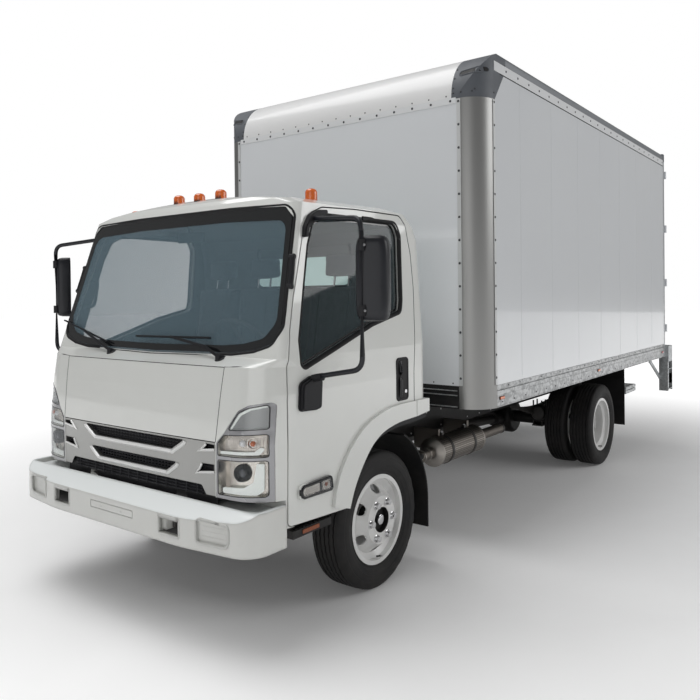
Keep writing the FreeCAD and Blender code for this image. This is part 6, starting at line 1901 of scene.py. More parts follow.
@dataclass
class BumperTrim:
    """Ribbed blanks in the lamp recesses, lined tow openings, plate pad and fixings."""

    blank: tuple = ((672, 556, 14), (672, 654, 14), (860, 654, 18), (860, 556, 30))
    blank_ribs: tuple = (580.0, 604.0, 628.0)
    rib_spots: tuple = (694, 733, 772, 811, 842)
    beam_reach: float = 150.0
    pin_y: float = 436.0
    tow: tuple = ((402, 553), (402, 640), (552, 640), (552, 553))
    pad: tuple = ((-190, 580, 6), (-190, 624, 6), (190, 624, 6), (190, 580, 6))

    def blanks(self, skin: Skin, palette: Palette) -> None:
        """Ribbed blanks in the lamp recesses and the pad of the plate.

        Args:
            skin: the bumper's surface.
            palette: the finishes.
        """
        form = SurfaceForm().use("bumper_paint")
        rim = [(0, -1), (2, 3.5), (8, 5.5), (14, 3.5), (17, -1)]
        for side in Side:
            blank = rounded(mirrored(self.blank, side.value))
            form.trim(blank, skin.front, 14.0, rim, step=28)
            look = self.flat_look(skin)
            form.patch(shrunk(blank, 12.0), look, 4.0, 5.0, step=28)
            for z in self.blank_ribs:
                line = [(side.value * y, z) for y in self.rib_spots]
                form.band(line, look, 10.0, 4.5, 1.0, step=30, closed=False, crown=9.0)
        form.trim(rounded(self.pad), skin.front, 0.0, [(0, -1), (2, 1.2), (5, 1.2), (7, -1)], step=40)
        form.piece("bumper_blanks", "chassis", palette, smooth=50, slot="white_paint")

    def tow_openings(self, skin: Skin, palette: Palette) -> None:
        """Lined openings with a dark beam and a pin behind each, and a painted plate on the left.

        Args:
            skin: the bumper's surface.
            palette: the finishes.
        """
        form = SurfaceForm()
        lining = [(2, -1), (4, 2.2), (10, 3.0), (14, 1.5), (15, -18)]
        for side in Side:
            ys = sorted(p[0] * side.value for p in self.tow)
            beam = (ys[0] - self.beam_reach, ys[-1] + self.beam_reach)
            form.use("frame_black").box((1092, 1096), beam, (508, 648))
            form.use("bumper_paint")
            form.trim(rounded([(*p, 6) for p in mirrored(self.tow, side.value)]), skin.front, 12.0, lining,
                      step=40)
            if side is Side.LEFT:
                form.box((1098, 1104), (482, 548), (556, 638))
            pin_y = side.value * self.pin_y
            form.use("dark_steel").rod(at(1120, pin_y, 566), at(1120, pin_y, 628), 11)
        form.piece("bumper_tow_openings", "chassis", palette, bevel=1.0, slot="black_frame")

    def build(self, palette: Palette) -> None:
        """Soften the bumper's edges and build its details.

        Args:
            palette: the finishes.
        """
        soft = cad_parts["front_bumper"].modifiers.new("soft_edges", "BEVEL")
        soft.width, soft.segments, soft.angle_limit = 9 * MM, 3, math.radians(28)
        skin = Skin("front_bumper")
        self.blanks(skin, palette)
        self.tow_openings(skin, palette)

    @staticmethod
    def flat_look(skin: Skin) -> Project:
        """Surface of the bumper above the recess, used at every height of it."""
        return lambda y, z: (skin.front(y, 648)[0] + Vector((-0.012, 0, (z - 648) * MM)), AHEAD)


@dataclass
class Glazing:
    """Black glass borders and the seals of the front glass and the door windows."""

    front_glass: tuple = ((905, 1490, 70), (948, 1570, 90), (876, 2212, 84), (400, 2226))
    front_foot: tuple = ((790, 1455), (640, 1436), (0, 1426))
    border_inner: tuple = ((836, 1522, 90), (902, 1606, 80), (838, 2132, 74), (380, 2150))
    border_foot: tuple = ((700, 1492), (560, 1480), (0, 1472))
    door_window: tuple = (
        (757, 1362, 30), (758, 1510), (682, 1789), (624, 1995), (563, 2125, 60), (470, 2170, 40),
        (-158, 2171, 60), (-199, 2092, 60), (-195, 2009), (-181, 1702), (-165, 1631, 40), (125, 1567, 300),
        (439, 1464),
    )

    @staticmethod
    def whole(side_points: Outline, foot: Outline) -> list[Flat]:
        """Closed outline from its left half.

        Args:
            side_points: left side and the left half of the top edge.
            foot: left half of the lower edge, from the side to the centre line.

        Returns:
            The closed outline.
        """
        half = list(foot[::-1]) + list(side_points)
        right = [(-p[0], *p[1:]) for p in reversed(half) if p[0] > 0]
        return rounded(half + right, 12)

    @staticmethod
    def glass_plane(y: float, z: float) -> tuple[Vector, Vector]:
        """Place on the flat front glass."""
        x, foot, slope = GLASS_PLANE
        return at(x - (z - foot) * slope, y, z), Vector((1, 0, slope)).normalized()

    def front(self, palette: Palette) -> None:
        """Border and seal of the front glass.

        Args:
            palette: the finishes.
        """
        outer = self.whole(self.front_glass, self.front_foot)
        inner = self.whole(self.border_inner, self.border_foot)
        form = SurfaceForm().use("glass_border")
        look = Skin("windshield", "cab_shell").front
        form.patch(shrunk(outer, 10.0), self.glass_plane, 0.8, 1.4, step=30, holes=[inner])
        form.piece("front_glass_border", "cab", palette, slot="window_glass")
        form = SurfaceForm().use("seal_rubber")
        section = [(2, -3), (3, 1.0), (8, 2.0), (14, 0.0), (21, -8.0), (26, -20), (10, -24)]
        form.trim(outer, look, 9.0, section, step=30)
        form.piece("front_glass_seal", "cab", palette, smooth=60, slot="black_plastic")

    def doors(self, palette: Palette) -> None:
        """Seals and black borders of the door windows.

        Args:
            palette: the finishes.
        """
        for side in Side:
            look = Skin(f"door_{side.word}").side(side.value)
            outline = rounded(self.door_window, 6)
            form = SurfaceForm().use("seal_rubber")
            section = [(3, -2), (5, 2.0), (12, 2.5), (17, 0.5), (23, -6), (26, -16)]
            form.trim(outline, look, 16.0, section, step=30)
            glass = Skin(f"door_glass_{side.word}").side(side.value)
            form.piece(f"door_window_seal_{side.word}", f"cab_door_{side.word}", palette, smooth=60,
                       slot="black_plastic")
            form = SurfaceForm().use("glass_border")
            inner = shrunk(outline, 22.0)
            form.patch(shrunk(outline, 10.0), glass, 0.8, 1.4, step=30, holes=[inner])
            form.piece(f"door_glass_border_{side.word}", f"cab_door_{side.word}", palette,
                       slot="window_glass")

    def build(self, palette: Palette) -> None:
        """Build every part."""
        self.front(palette)
        self.doors(palette)


@dataclass
class Mirrors:
    """Outside mirrors: bent tube arms, bases, stays and rounded housings with their glass."""

    arm: tuple = ((706, 1012, 1322), (706, 1327, 1378), (706, 1327, 2105), (575, 925, 2142))
    clamps: Flat = (1660, 1975)
    base: tuple = ((806, 1158, 26), (645, 1150, 26), (633, 1312, 26), (707, 1330, 40), (795, 1298, 40))
    bracket: tuple = ((664, 2040, 12), (652, 2094), (606, 2160, 50), (548, 2190, 50), (470, 2196, 10),
                      (470, 2168, 10), (545, 2156, 30), (580, 2134, 30), (622, 2086), (634, 2040, 12))
    stay: tuple = ((596, 2146), (-15, 2187))
    head: Flat = (642, 1347)
    head_z: Flat = (1607, 2026)
    width: float = 168.0
    depth: float = 92.0
    turn: float = 27.0
    points: int = 44
    rounding: float = 0.34
    shell_rows: tuple = ((-0.50, 0.955), (-0.50, 0.985), (-0.47, 1.0), (-0.20, 1.0), (0.05, 0.985),
                         (0.25, 0.94), (0.38, 0.86), (0.46, 0.72), (0.5, 0.5))
    glass_rows: tuple = ((-0.49, 0.93), (-0.46, 0.94), (-0.44, 0.94))

    @staticmethod
    def bent(points: Sequence[Spot], bend: float, steps: int = 7) -> list[Vector]:
        """Route whose inner corners are rounded.

        Args:
            points: the points.
            bend: radius of the corners.
            steps: points round a corner.

        Returns:
            Places in metres.
        """
        spots = [Vector(p) for p in points]
        route = [spots[0]]
        for before, here, after in zip(spots, spots[1:], spots[2:]):
            back, ahead = (before - here).normalized(), (after - here).normalized()
            reach = min(bend, (before - here).length * 0.45, (after - here).length * 0.45)
            for k in range(steps + 1):
                t = k / steps
                start, end = here + back * reach, here + ahead * reach
                route.append(start * (1 - t) ** 2 + here * 2 * t * (1 - t) + end * t * t)
        return [at(*spot) for spot in route + [spots[-1]]]

    def housing(self, form: Form, sign: int, back: bool) -> None:
        """Add the shell or the glass: rings of a rounded rectangle from the glass rim to the domed front.

        Args:
            form: form that takes the shapes.
            sign: 1 for left, -1 for right.
            back: True for the shell, False for the glass.
        """
        turn = Matrix.Rotation(math.radians(self.turn * sign), 3, "Z")
        middle_z = sum(self.head_z) / 2
        half_w, half_h = self.width / 2, (self.head_z[1] - self.head_z[0]) / 2
        centre = at(self.head[0], self.head[1] * sign, middle_z)
        rings = []
        count = self.points
        for along, share in self.shell_rows if back else self.glass_rows:
            ring = []
            for i in range(count):
                angle = 2 * math.pi * i / count
                across, up = math.cos(angle), math.sin(angle)
                a = math.copysign(abs(across) ** self.rounding, across) * half_w * share
                b = math.copysign(abs(up) ** self.rounding, up) * (half_h - half_w * (1 - share))
                ring.append(form.bm.verts.new(centre + turn @ (Vector((along * self.depth, a, b)) * MM)))
            rings.append(ring)
        for low, high in zip(rings, rings[1:]):
            for i in range(count):
                form.face([low[i], low[(i + 1) % count], high[(i + 1) % count], high[i]])
        form.face(rings[0][::-1])
        form.face(rings[-1])

    def arm_piece(self, side: Side, palette: Palette) -> None:
        """Bent arm with its clamps, the base on the door, the bracket above it and the stay.

        Args:
            side: side of the truck.
            palette: the finishes.
        """
        sign = side.value
        form = SurfaceForm().use("mirror_shell")
        form.tube(self.bent([(x, y * sign, z) for x, y, z in self.arm], 60.0), 13.0, 14)
        x, y = self.arm[1][:2]
        for z in self.clamps:
            form.use("black_plastic")
            form.tube([at(x, y * sign, z - 26), at(x, y * sign, z + 26)], 19.0, 14)
            form.box((x - 56, x - 2), sided(sign, y - 9, y + 19), (z - 17, z + 17))
            form.use("rivet_steel").bolt(at(x + 2, (y + 18) * sign, z), Vector((0, sign, 0)), 5.0, 7.0)
        look = Skin(f"door_{side.word}").side(sign)
        form.use("black_plastic")
        base = rounded(self.base, 6)
        place = self.plane(look, 720, 1235, sign)
        for inset, lift, thick in ((0.0, 8.0, 16.0), (7.0, 24.0, 18.0), (12.0, 32.0, 10.0)):
            form.patch(shrunk(base, inset) if inset else base, place, lift, thick, step=24)
        form.tube([at(x, sign * 1016, 1316), at(x, sign * 1042, 1322), at(x, sign * 1080, 1329)], 20.0, 14)
        bracket = rounded(self.bracket, 6)
        top = self.plane(look, 600, 2125, sign)
        form.patch(bracket, top, 26.0, 30.0, step=30)
        form.patch(shrunk(bracket, 5.0), top, 31.0, 6.0, step=30)
        start, end = [top(*p)[0] + Vector((0, sign * 0.018, 0)) for p in self.stay]
        form.use("mirror_shell").tube([start, end], 10.0, 12)
        along = (end - start).normalized()
        form.use("black_plastic").tube([end - along * 0.17, end + along * 0.004], 15.0, 14)
        form.tube([end - along * 0.10, end - along * 0.085 - Vector((0, sign * 0.035, 0))], 9.0, 10)
        form.piece(f"mirror_arm_{side.word}", f"cab_door_{side.word}", palette, bevel=1.2,
                   slot="black_plastic", replaces=[f"mirror_{side.word}"])

    def build(self, palette: Palette) -> None:
        """Build both mirrors.

        Args:
            palette: the finishes.
        """
        for side in Side:
            body = f"cab_door_{side.word}"
            self.arm_piece(side, palette)
            form = Form().use("mirror_shell")
            self.housing(form, side.value, True)
            form.piece(f"mirror_housing_{side.word}", body, palette, smooth=60, slot="black_plastic")
            form = Form().use("mirror_face")
            self.housing(form, side.value, False)
            form.piece(f"mirror_face_{side.word}", body, palette, slot="silver_trim")

    @staticmethod
    def flush(look: Project, outline: Sequence[Flat], sign: int) -> Project:
        """Upright plane through the furthest place of the door's side within an outline."""
        reach = max(look(*point)[0].y * sign for point in outline)
        return lambda a, b: (Vector((at(a, 0, b).x, reach * sign, at(a, 0, b).z)), Vector((0, sign, 0)))

    @staticmethod
    def plane(look: Project, x: float, z: float, sign: int) -> Project:
        """Flat stand-in for the door's side at a place."""
        spot = look(x, z)[0]
        return lambda a, b: (Vector((at(a, 0, b).x, spot.y, at(a, 0, b).z)), Vector((0, sign, 0)))


@dataclass
class DoorTrim:
    """Handles, side lamps, reflectors, step mats and the bracket on the pillar."""

    recess: tuple = ((-218, 1100, 22), (-218, 1353, 22), (-92, 1353, 22), (-92, 1100, 22))
    grip_x: float = -130.0
    grip: tuple = ((1118, -4), (1136, 3), (1180, 7), (1226, 8), (1272, 7), (1316, 3), (1334, -4))
    lock: Flat = (-190, 1150)
    lamp: tuple = ((556, 726, 10), (566, 790, 16), (804, 782, 24), (796, 730, 24))
    bulb: Flat = (606, 760)
    divider: tuple = ((640, 729), (643, 788), (656, 787), (653, 729))
    reflector: tuple = ((610, 740), (528, 548))
    pillar_line: tuple = ((779, 1784), (757, 1860), (737, 1936))

    def handle(self, side: Side, look: Project, palette: Palette) -> None:
        """Recessed plate with a bowed grip and the lock.

        Args:
            side: side of the truck.
            look: the door's surface.
            palette: the finishes.
        """
        sign = side.value
        out = Vector((0, sign, 0))
        form = SurfaceForm().use("black_plastic")
        line = rounded(self.recess)
        flat = Mirrors.flush(look, shrunk(line, -12.0), sign)
        form.trim(line, flat, 0.0, [(-4, -1), (-2, 4.0), (6, 5.0), (12, 2.0), (14, -12)], step=40)
        form.use("frame_black").patch(shrunk(line, 5.0), flat, 1.0, 4.0, step=60)
        form.use("black_gloss").tube([flat(self.grip_x, z)[0] + out * bow * MM for z, bow in self.grip],
                                     13.0, 12)
        form.use("lug_chrome").turned(flat(*self.lock)[0] - out * 0.012, out,
                                      [(13, 0), (13, 14), (11, 17), (5, 17)], 20)
        form.piece(f"door_handle_{side.word}", f"cab_door_{side.word}", palette, smooth=50, bevel=0.8,
                   slot="black_plastic")

    def turn_lamp(self, side: Side, look: Project, palette: Palette) -> None:
        """Side lamp: black frame, reflector, bulb, divider and clear cover.

        Args:
            side: side of the truck.
            look: the door's surface.
            palette: the finishes.
        """
        out = Vector((0, side.value, 0))
        form = SurfaceForm()
        lamp = rounded(self.lamp, 6)
        place = Mirrors.flush(look, lamp, side.value)
        frame_section = [(-9, -8), (-8, 5.0), (-2, 9.0), (6, 8.0), (7, -4)]
        form.use("black_gloss").trim(lamp, place, 0.0, frame_section, step=26)
        form.use("lamp_silver").patch(shrunk(lamp, 4.0), place, 1.0, 4.0, step=26)
        form.use("amber_dull").turned(place(*self.bulb)[0] + out * 0.001, out,
                                      [(11, 0), (11, 2), (7, 4), (3, 5)], 18)
        form.use("black_gloss").patch(self.divider, place, 5.0, 6.0)
        form.piece(f"turn_lamp_{side.word}", f"cab_door_{side.word}", palette, smooth=40, slot="amber_lens")
        form = SurfaceForm().use("lamp_lens")
        form.patch(shrunk(lamp, 2.0), place, 7.5, 2.0, step=26)
        form.piece(f"turn_lamp_cover_{side.word}", f"cab_door_{side.word}", palette, slot="lamp_lens")

    def step(self, side: Side, palette: Palette) -> None:
        """Reflector on the step's edge and the ribs of its tread.

        Args:
            side: side of the truck.
            palette: the finishes.
        """
        sign = side.value
        form = SurfaceForm().use("amber_dull")
        edge = Skin("cab_steps").side(sign)(650, 536)[0].y / MM * sign
        form.box(self.reflector[0], sided(sign, edge - 2, edge + 5), self.reflector[1])
        form.use("frame_black")
        for x in range(530, 800, 30):
            form.box((x, x + 14), sided(sign, 815, 955), (556, 560))
        form.piece(f"step_trim_{side.word}", "cab", palette, bevel=0.8, slot="amber_lens")

    def pillar_bracket(self, side: Side, palette: Palette) -> None:
        """Black bar on the front pillar with its two feet.

        Args:
            side: side of the truck.
            palette: the finishes.
        """
        out = Vector((0, side.value, 0))
        form = SurfaceForm().use("black_plastic")
        look = Skin("cab_shell", f"door_{side.word}").side(side.value)
        spots = [look(x, z)[0] + out * 0.003 for x, z in self.pillar_line]
        form.tube(spots, 14.0, 10)
        for spot in (spots[0], spots[-1]):
            form.tube([spot - out * 0.018, spot + out * 0.010], 15.0, 12)
        form.piece(f"pillar_bracket_{side.word}", "cab", palette, smooth=50, slot="black_plastic")

    def build(self, palette: Palette) -> None:
        """Build the trim of both sides.

        Args:
            palette: the finishes.
        """
        for side in Side:
            look = Skin(f"door_{side.word}", "cab_shell").side(side.value)
            self.handle(side, look, palette)
            self.turn_lamp(side, look, palette)
            self.step(side, palette)
            self.pillar_bracket(side, palette)


@dataclass
class Cabin:
    """What shows through the glass: padded seats, dashboard parts, visors, mirror and door cards."""

    driver: Flat = (284, 766)
    passenger: Flat = (-786, 46)
    cushion: tuple = ((0, 1156), (452, 1156), (456, 1226), (436, 1252), (60, 1238), (0, 1232))
    backrest: tuple = ((-34, 1240), (-132, 1812), (-222, 1812), (-146, 1240))
    headrest: tuple = ((-150, 1860), (-158, 2000), (-226, 1996), (-232, 1870))
    voxel: float = 0.010
    cap: float = 0.022
    hood_line: tuple = ((706, 1392), (700, 1430), (716, 1452), (790, 1462), (868, 1436), (884, 1392))
    gauge_spots: tuple = ((400, 21), (480, 26), (560, 21))
    gauge_z: float = 1418.0
    vents: tuple = (-720, -180, 120, 200, 760)
    knob: tuple = ((10, -14), (22, 0), (24, 18), (16, 34), (4, 38))
    pedals: tuple = (360, 470, 590)
    rear_glass: tuple = ((-430, 1800, 50), (430, 1800, 50), (430, 2100, 50), (-430, 2100, 50))
    rear_faces: tuple = ((-403.5, 1), (-448.5, -1))

    def pad(self, name: str, outline: Outline, span: Flat, palette: Palette) -> bpy.types.Object:
        """Make one cushion: a rounded block swollen as cloth under pressure.

        Args:
            name: piece name.
            outline: its side outline as (x, z).
            span: its left and right sides.
            palette: the finishes.

        Returns:
            The cushion.
        """
        form = Form().use("seat_cloth")
        form.prism([at(x, span[0], z) for x, z in outline], at(0, span[1], 0) - at(0, span[0], 0))
        bmesh.ops.recalc_face_normals(form.bm, faces=form.bm.faces)
        bmesh.ops.bevel(form.bm, geom=form.bm.edges[:], offset=0.024, segments=3, affect="EDGES", profile=0.6,
                        clamp_overlap=True)
        made = form.piece(name, "cab", palette, smooth=75, slot="seat_cloth")
        self.inflate(made)
        return made

    def inflate(self, made: bpy.types.Object) -> None:
        """Swell a cushion under pressure with a cap on how far a point may move.

        Args:
            made: the cushion, whose mesh is replaced.
        """
        remesh = made.modifiers.new("remesh", "REMESH")
        remesh.mode = "VOXEL"
        remesh.voxel_size = self.voxel
        mesh = self.applied(made)
        start = [vertex.co.copy() for vertex in mesh.vertices]
        cloth = made.modifiers.new("cloth", "CLOTH")
        cloth.settings.quality = 3
        cloth.settings.use_pressure = True
        cloth.settings.uniform_pressure_force = 4.0
        cloth.settings.effector_weights.gravity = 0.0
        cloth.point_cache.frame_start, cloth.point_cache.frame_end = 1, 20
        scene = bpy.context.scene
        for number in range(1, 21):
            scene.frame_set(number)
        mesh = self.applied(made)
        scene.frame_set(1)
        for vertex, before in zip(mesh.vertices, start):
            move = vertex.co - before
            if move.length > self.cap:
                vertex.co = before + move * (self.cap / move.length)
        mesh.polygons.foreach_set("use_smooth", [True] * len(mesh.polygons))

    @staticmethod
    def applied(made: bpy.types.Object) -> bpy.types.Mesh:
        """Replace an object's mesh by the one its modifiers give, and clear them.

        Args:
            made: the object.

        Returns:
            The new mesh.
        """
        graph = bpy.context.evaluated_depsgraph_get()
        graph.update()
        mesh = bpy.data.meshes.new_from_object(made.evaluated_get(graph))
        made.modifiers.clear()
        made.data = mesh
        return mesh

    def seams(self, pads: dict[str, bpy.types.Object], palette: Palette) -> None:
        """Sewn lines that lie on the finished cushions.

        Args:
            pads: the finished cushions.
            palette: the finishes.
        """
        form = SurfaceForm().use("seat_seam")
        bpy.context.view_layer.update()
        for name, made in pads.items():
            mesh = made.data
            tree = BVHTree.FromPolygons([v.co for v in mesh.vertices],
                                        [tuple(p.vertices) for p in mesh.polygons])
            low = min(v.co.y for v in mesh.vertices)
            high = max(v.co.y for v in mesh.vertices)
            flat = name.startswith("cushion")
            for share in (0.22, 0.5, 0.78) if high - low > 0.6 else (0.24, 0.76):
                y = low + (high - low) * share
                route = []
                for k in range(15):
                    if flat:
                        start, way = Vector((at(20 + 28 * k, 0, 0).x, y, 1.5)), DOWN
                    else:
                        start, way = Vector((at(300, 0, 0).x, y, (1270 + 36 * k) * MM)), BEHIND
                    hit = tree.ray_cast(start, way)[0]
                    if hit:
                        route.append(hit + Vector((0, 0, 0.0005)))
                if len(route) > 2:
                    form.tube(route, 2.2, 6)
        form.piece("seat_seams", "cab", palette, slot="seat_cloth")

    def seats(self, palette: Palette) -> None:
        """Cushions, backs, headrests and their bases.

        Args:
            palette: the finishes.
        """
        pads = {}
        middle = (self.passenger[0] + self.passenger[1]) / 2
        rows = (("driver", self.driver), ("bench_outer", (self.passenger[0], middle - 6)),
                ("bench_inner", (middle + 6, self.passenger[1])))
        for word, span in rows:
            pads[f"cushion_{word}"] = self.pad(f"cushion_{word}", self.cushion, span, palette)
            pads[f"backrest_{word}"] = self.pad(f"backrest_{word}", self.backrest, span, palette)
            centre = (span[0] + span[1]) / 2
            pads[f"headrest_{word}"] = self.pad(f"headrest_{word}", self.headrest,
                                                (centre - 122, centre + 122), palette)
        self.seams({k: v for k, v in pads.items() if not k.startswith("head")}, palette)
        form = Form().use("dash_grey")
        for span in (self.driver, self.passenger):
            form.box((20, 430), (span[0] + 24, span[1] - 24), (1024, 1158))
            form.box((-130, -60), (span[0] + 30, span[1] - 30), (1160, 1300))
        form.use("lug_chrome")
        for word, span in rows:
            centre = (span[0] + span[1]) / 2
            for offset in (-58, 58):
                form.rod(at(-176, centre + offset, 1790), at(-190, centre + offset, 1880), 7, 10)
        form.use("black_plastic")
        for y in (778, 272):
            form.box((-60, 60), (y - 9, y + 9), (1170, 1240))
        form.piece("seat_bases", "cab", palette, bevel=6, slot="dash_plastic", replaces=["seats"])

    def hood(self, form: Form) -> None:
        """Add the instrument hood, the centre stack, the glovebox and the screen.

        Args:
            form: form that takes the shapes.
        """
        form.use("dash_grey")
        form.prism([at(x, 300, z) for x, z in self.hood_line], at(0, 660, 0) - at(0, 300, 0))
        form.box((676, 704), (70, 250), (1170, 1390))
        form.box((640, 705), (40, 270), (1040, 1166))
        form.box((690, 703), (-820, -120), (1180, 1300))
        form.use("black_gloss").box((668, 677), (84, 236), (1272, 1366))
        form.box((698, 707), (318, 642), (1398, 1440))

    def gauges(self, form: Form) -> None:
        """Add the gauge faces and their rims, the middle one larger.

        Args:
            form: form that takes the shapes.
        """
        form.use("gauge_face")
        for y, radius in self.gauge_spots:
            form.turned(at(698, y, self.gauge_z), BEHIND, [(radius - 2, 0), (radius - 2, 4)], 28)
        form.use("lug_chrome")
        for y, radius in self.gauge_spots:
            rim = [(radius, 0), (radius, 6), (radius - 2, 6), (radius - 2, 0)]
            form.turned(at(697, y, self.gauge_z), BEHIND, rim, 28, closed=True)
        for k in range(3):
            form.turned(at(676, 110 + 50 * k, 1224), BEHIND, [(15, 0), (13, 14), (3, 15)], 20)

    def controls(self, form: Form) -> None:
        """Add the vents, the lever, the pedals and the slots under the glass.

        Args:
            form: form that takes the shapes.
        """
        for y in self.vents:
            form.use("black_plastic").box((688, 705), (y - 44, y + 44), (1316, 1372))
            form.use("dash_grey")
            for k in range(4):
                form.box((683, 694), (y - 38, y + 38), (1324 + 12 * k, 1328 + 12 * k))
        form.use("black_plastic").rod(at(660, 150, 1150), at(600, 160, 1300), 8, 10)
        form.turned(at(597, 160, 1306), Vector((-0.3, 0, 1)).normalized(), self.knob, 18)
        form.use("rivet_steel")
        for y in self.pedals:
            form.rod(at(850, y, 1180), at(790, y, 1075), 8, 8)
            form.box((770, 796), (y - 28, y + 28), (1052, 1084))
        form.use("frame_black")
        for k in range(12):
            form.box((756, 762), (-780 + 48 * k, -746 + 48 * k), (1398, 1402))

    def dashboard(self, palette: Palette) -> None:
        """Everything on the dashboard, as one piece.

        Args:
            palette: the finishes.
        """
        form = Form()
        self.hood(form)
        self.gauges(form)
        self.controls(form)
        form.piece("dash_controls", "cab", palette, bevel=2.5, slot="dash_plastic")

    def fittings(self, palette: Palette) -> None:
        """Visors, inside mirror, grab handles and the lamp in the lining.

        Args:
            palette: the finishes.
        """
        form = Form().use("cabin_lining")
        for y in (-520, 520):
            form.box((520, 680), (y - 200, y + 200), (2152, 2168), Matrix.Rotation(math.radians(-14), 3, "Y"))
        form.box((180, 360), (-90, 90), (2236, 2252))
        form.use("black_plastic")
        form.rod(at(655, 0, 2190), at(622, 0, 2120), 7, 10)
        form.box((606, 622), (-112, 112), (2062, 2122))
        form.use("mirror_face").box((601, 607), (-104, 104), (2068, 2116))
        form.use("white_lamp").box((220, 320), (-52, 52), (2230, 2238))
        form.piece("cab_fittings", "cab", palette, bevel=4, slot="dash_plastic")
        form = SurfaceForm().use("dash_grey")
        for side in Side:
            y = side.value * 880
            route = Mirrors.bent([(742, y + 22 * side.value, 1672), (722, y - 34 * side.value, 1684),
                                  (692, y - 34 * side.value, 1842), (704, y + 22 * side.value, 1858)], 26.0)
            form.tube(route, 11.0, 12)
        form.piece("pillar_grips", "cab", palette, smooth=60, slot="dash_plastic")
        for side in Side:
            sign = side.value
            form = Form().use("dash_grey")
            form.box((-160, 520), sided(sign, 904, 934), (1240, 1320))
            form.box((-190, 600), sided(sign, 922, 940), (1060, 1130))
            form.use("black_plastic").box((120, 360), sided(sign, 888, 910), (1318, 1342))
            form.turned(at(520, 936 * sign, 1180), Vector((0, -sign, 0)),
                        [(70, 0), (70, 10), (62, 14), (8, 14)], 28)
            form.use("lug_chrome").box((480, 560), sided(sign, 918, 936), (1372, 1386))
            form.piece(f"door_card_{side.word}", f"cab_door_{side.word}", palette, bevel=5,
                       slot="dash_plastic")

    def rear_window(self, palette: Palette) -> None:
        """Window in the back wall, seen from both sides of it; its pane glows pale teal, a painted glow of
        the daylight through it.

        Args:
            palette: the finishes.
        """
        form = SurfaceForm()
        line = rounded(self.rear_glass)
        for x, way in self.rear_faces:
            look = lambda y, z, x=x, way=way: (at(x, y, z), Vector((way, 0, 0)))
            # The pane's finish glows: painted daylight seen through the back window.
            form.use("rear_glass").patch(line, look, 1.5, 2.5, step=60)
            form.use("seal_rubber").trim(line, look, 0.0, [(-14, -1), (-12, 5), (0, 6), (8, 2), (9, -1)],
                                         step=60)
        form.piece("rear_window", "cab", palette, smooth=40, slot="window_glass")

    def build(self, palette: Palette) -> None:
        """Build everything in the cab.

        Args:
            palette: the finishes.
        """
        self.rear_window(palette)
        self.seats(palette)
        self.dashboard(palette)
        self.fittings(palette)


@dataclass
class CabSeams:
    """Dark gaps between the cab's panels and the feet of the wipers."""

    panel: tuple = (((-690, 1383), (-690, 1380), (690, 1380), (690, 1383)), ((688, 1380), (668, 1012)),
                    ((-668, 1012), (-688, 1380)), ((-668, 1010), (668, 1010)))
    corner: tuple = ((690, 1382), (880, 1392), (985, 1400))
    wiper_feet: tuple = ((-350, 1412), (586, 1412))
    foot: tuple = ((26, -2), (26, 3), (20, 7), (12, 9))

    def gaps(self, palette: Palette) -> None:
        """Gap round the front panel and the gap between glass and corner on each side.

        Args:
            palette: the finishes.
        """
        form = SurfaceForm().use("panel_gap")
        for line in self.panel:
            form.band(line, CabNose.project, 3.2, 0.5, 0.6, step=30, closed=False)
        for side in Side:
            line = [(y * side.value, z) for y, z in self.corner]
            form.band(line[::side.value], CabNose.project, 2.6, 0.5, 0.6, step=20, closed=False)
        form.piece("cab_panel_gaps", "cab", palette, slot="black_plastic")

    def build(self, palette: Palette) -> None:
        """Build the gaps and the wiper feet.

        Args:
            palette: the finishes.
        """
        self.gaps(palette)
        form = SurfaceForm().use("black_plastic")
        skin = Skin("windshield", "cab_shell")
        for foot in self.wiper_feet:
            spot, normal = skin.front(*foot)
            form.turned(spot, normal, self.foot, 24)
        form.piece("wiper_grommets", "cab", palette, smooth=50, slot="black_plastic")


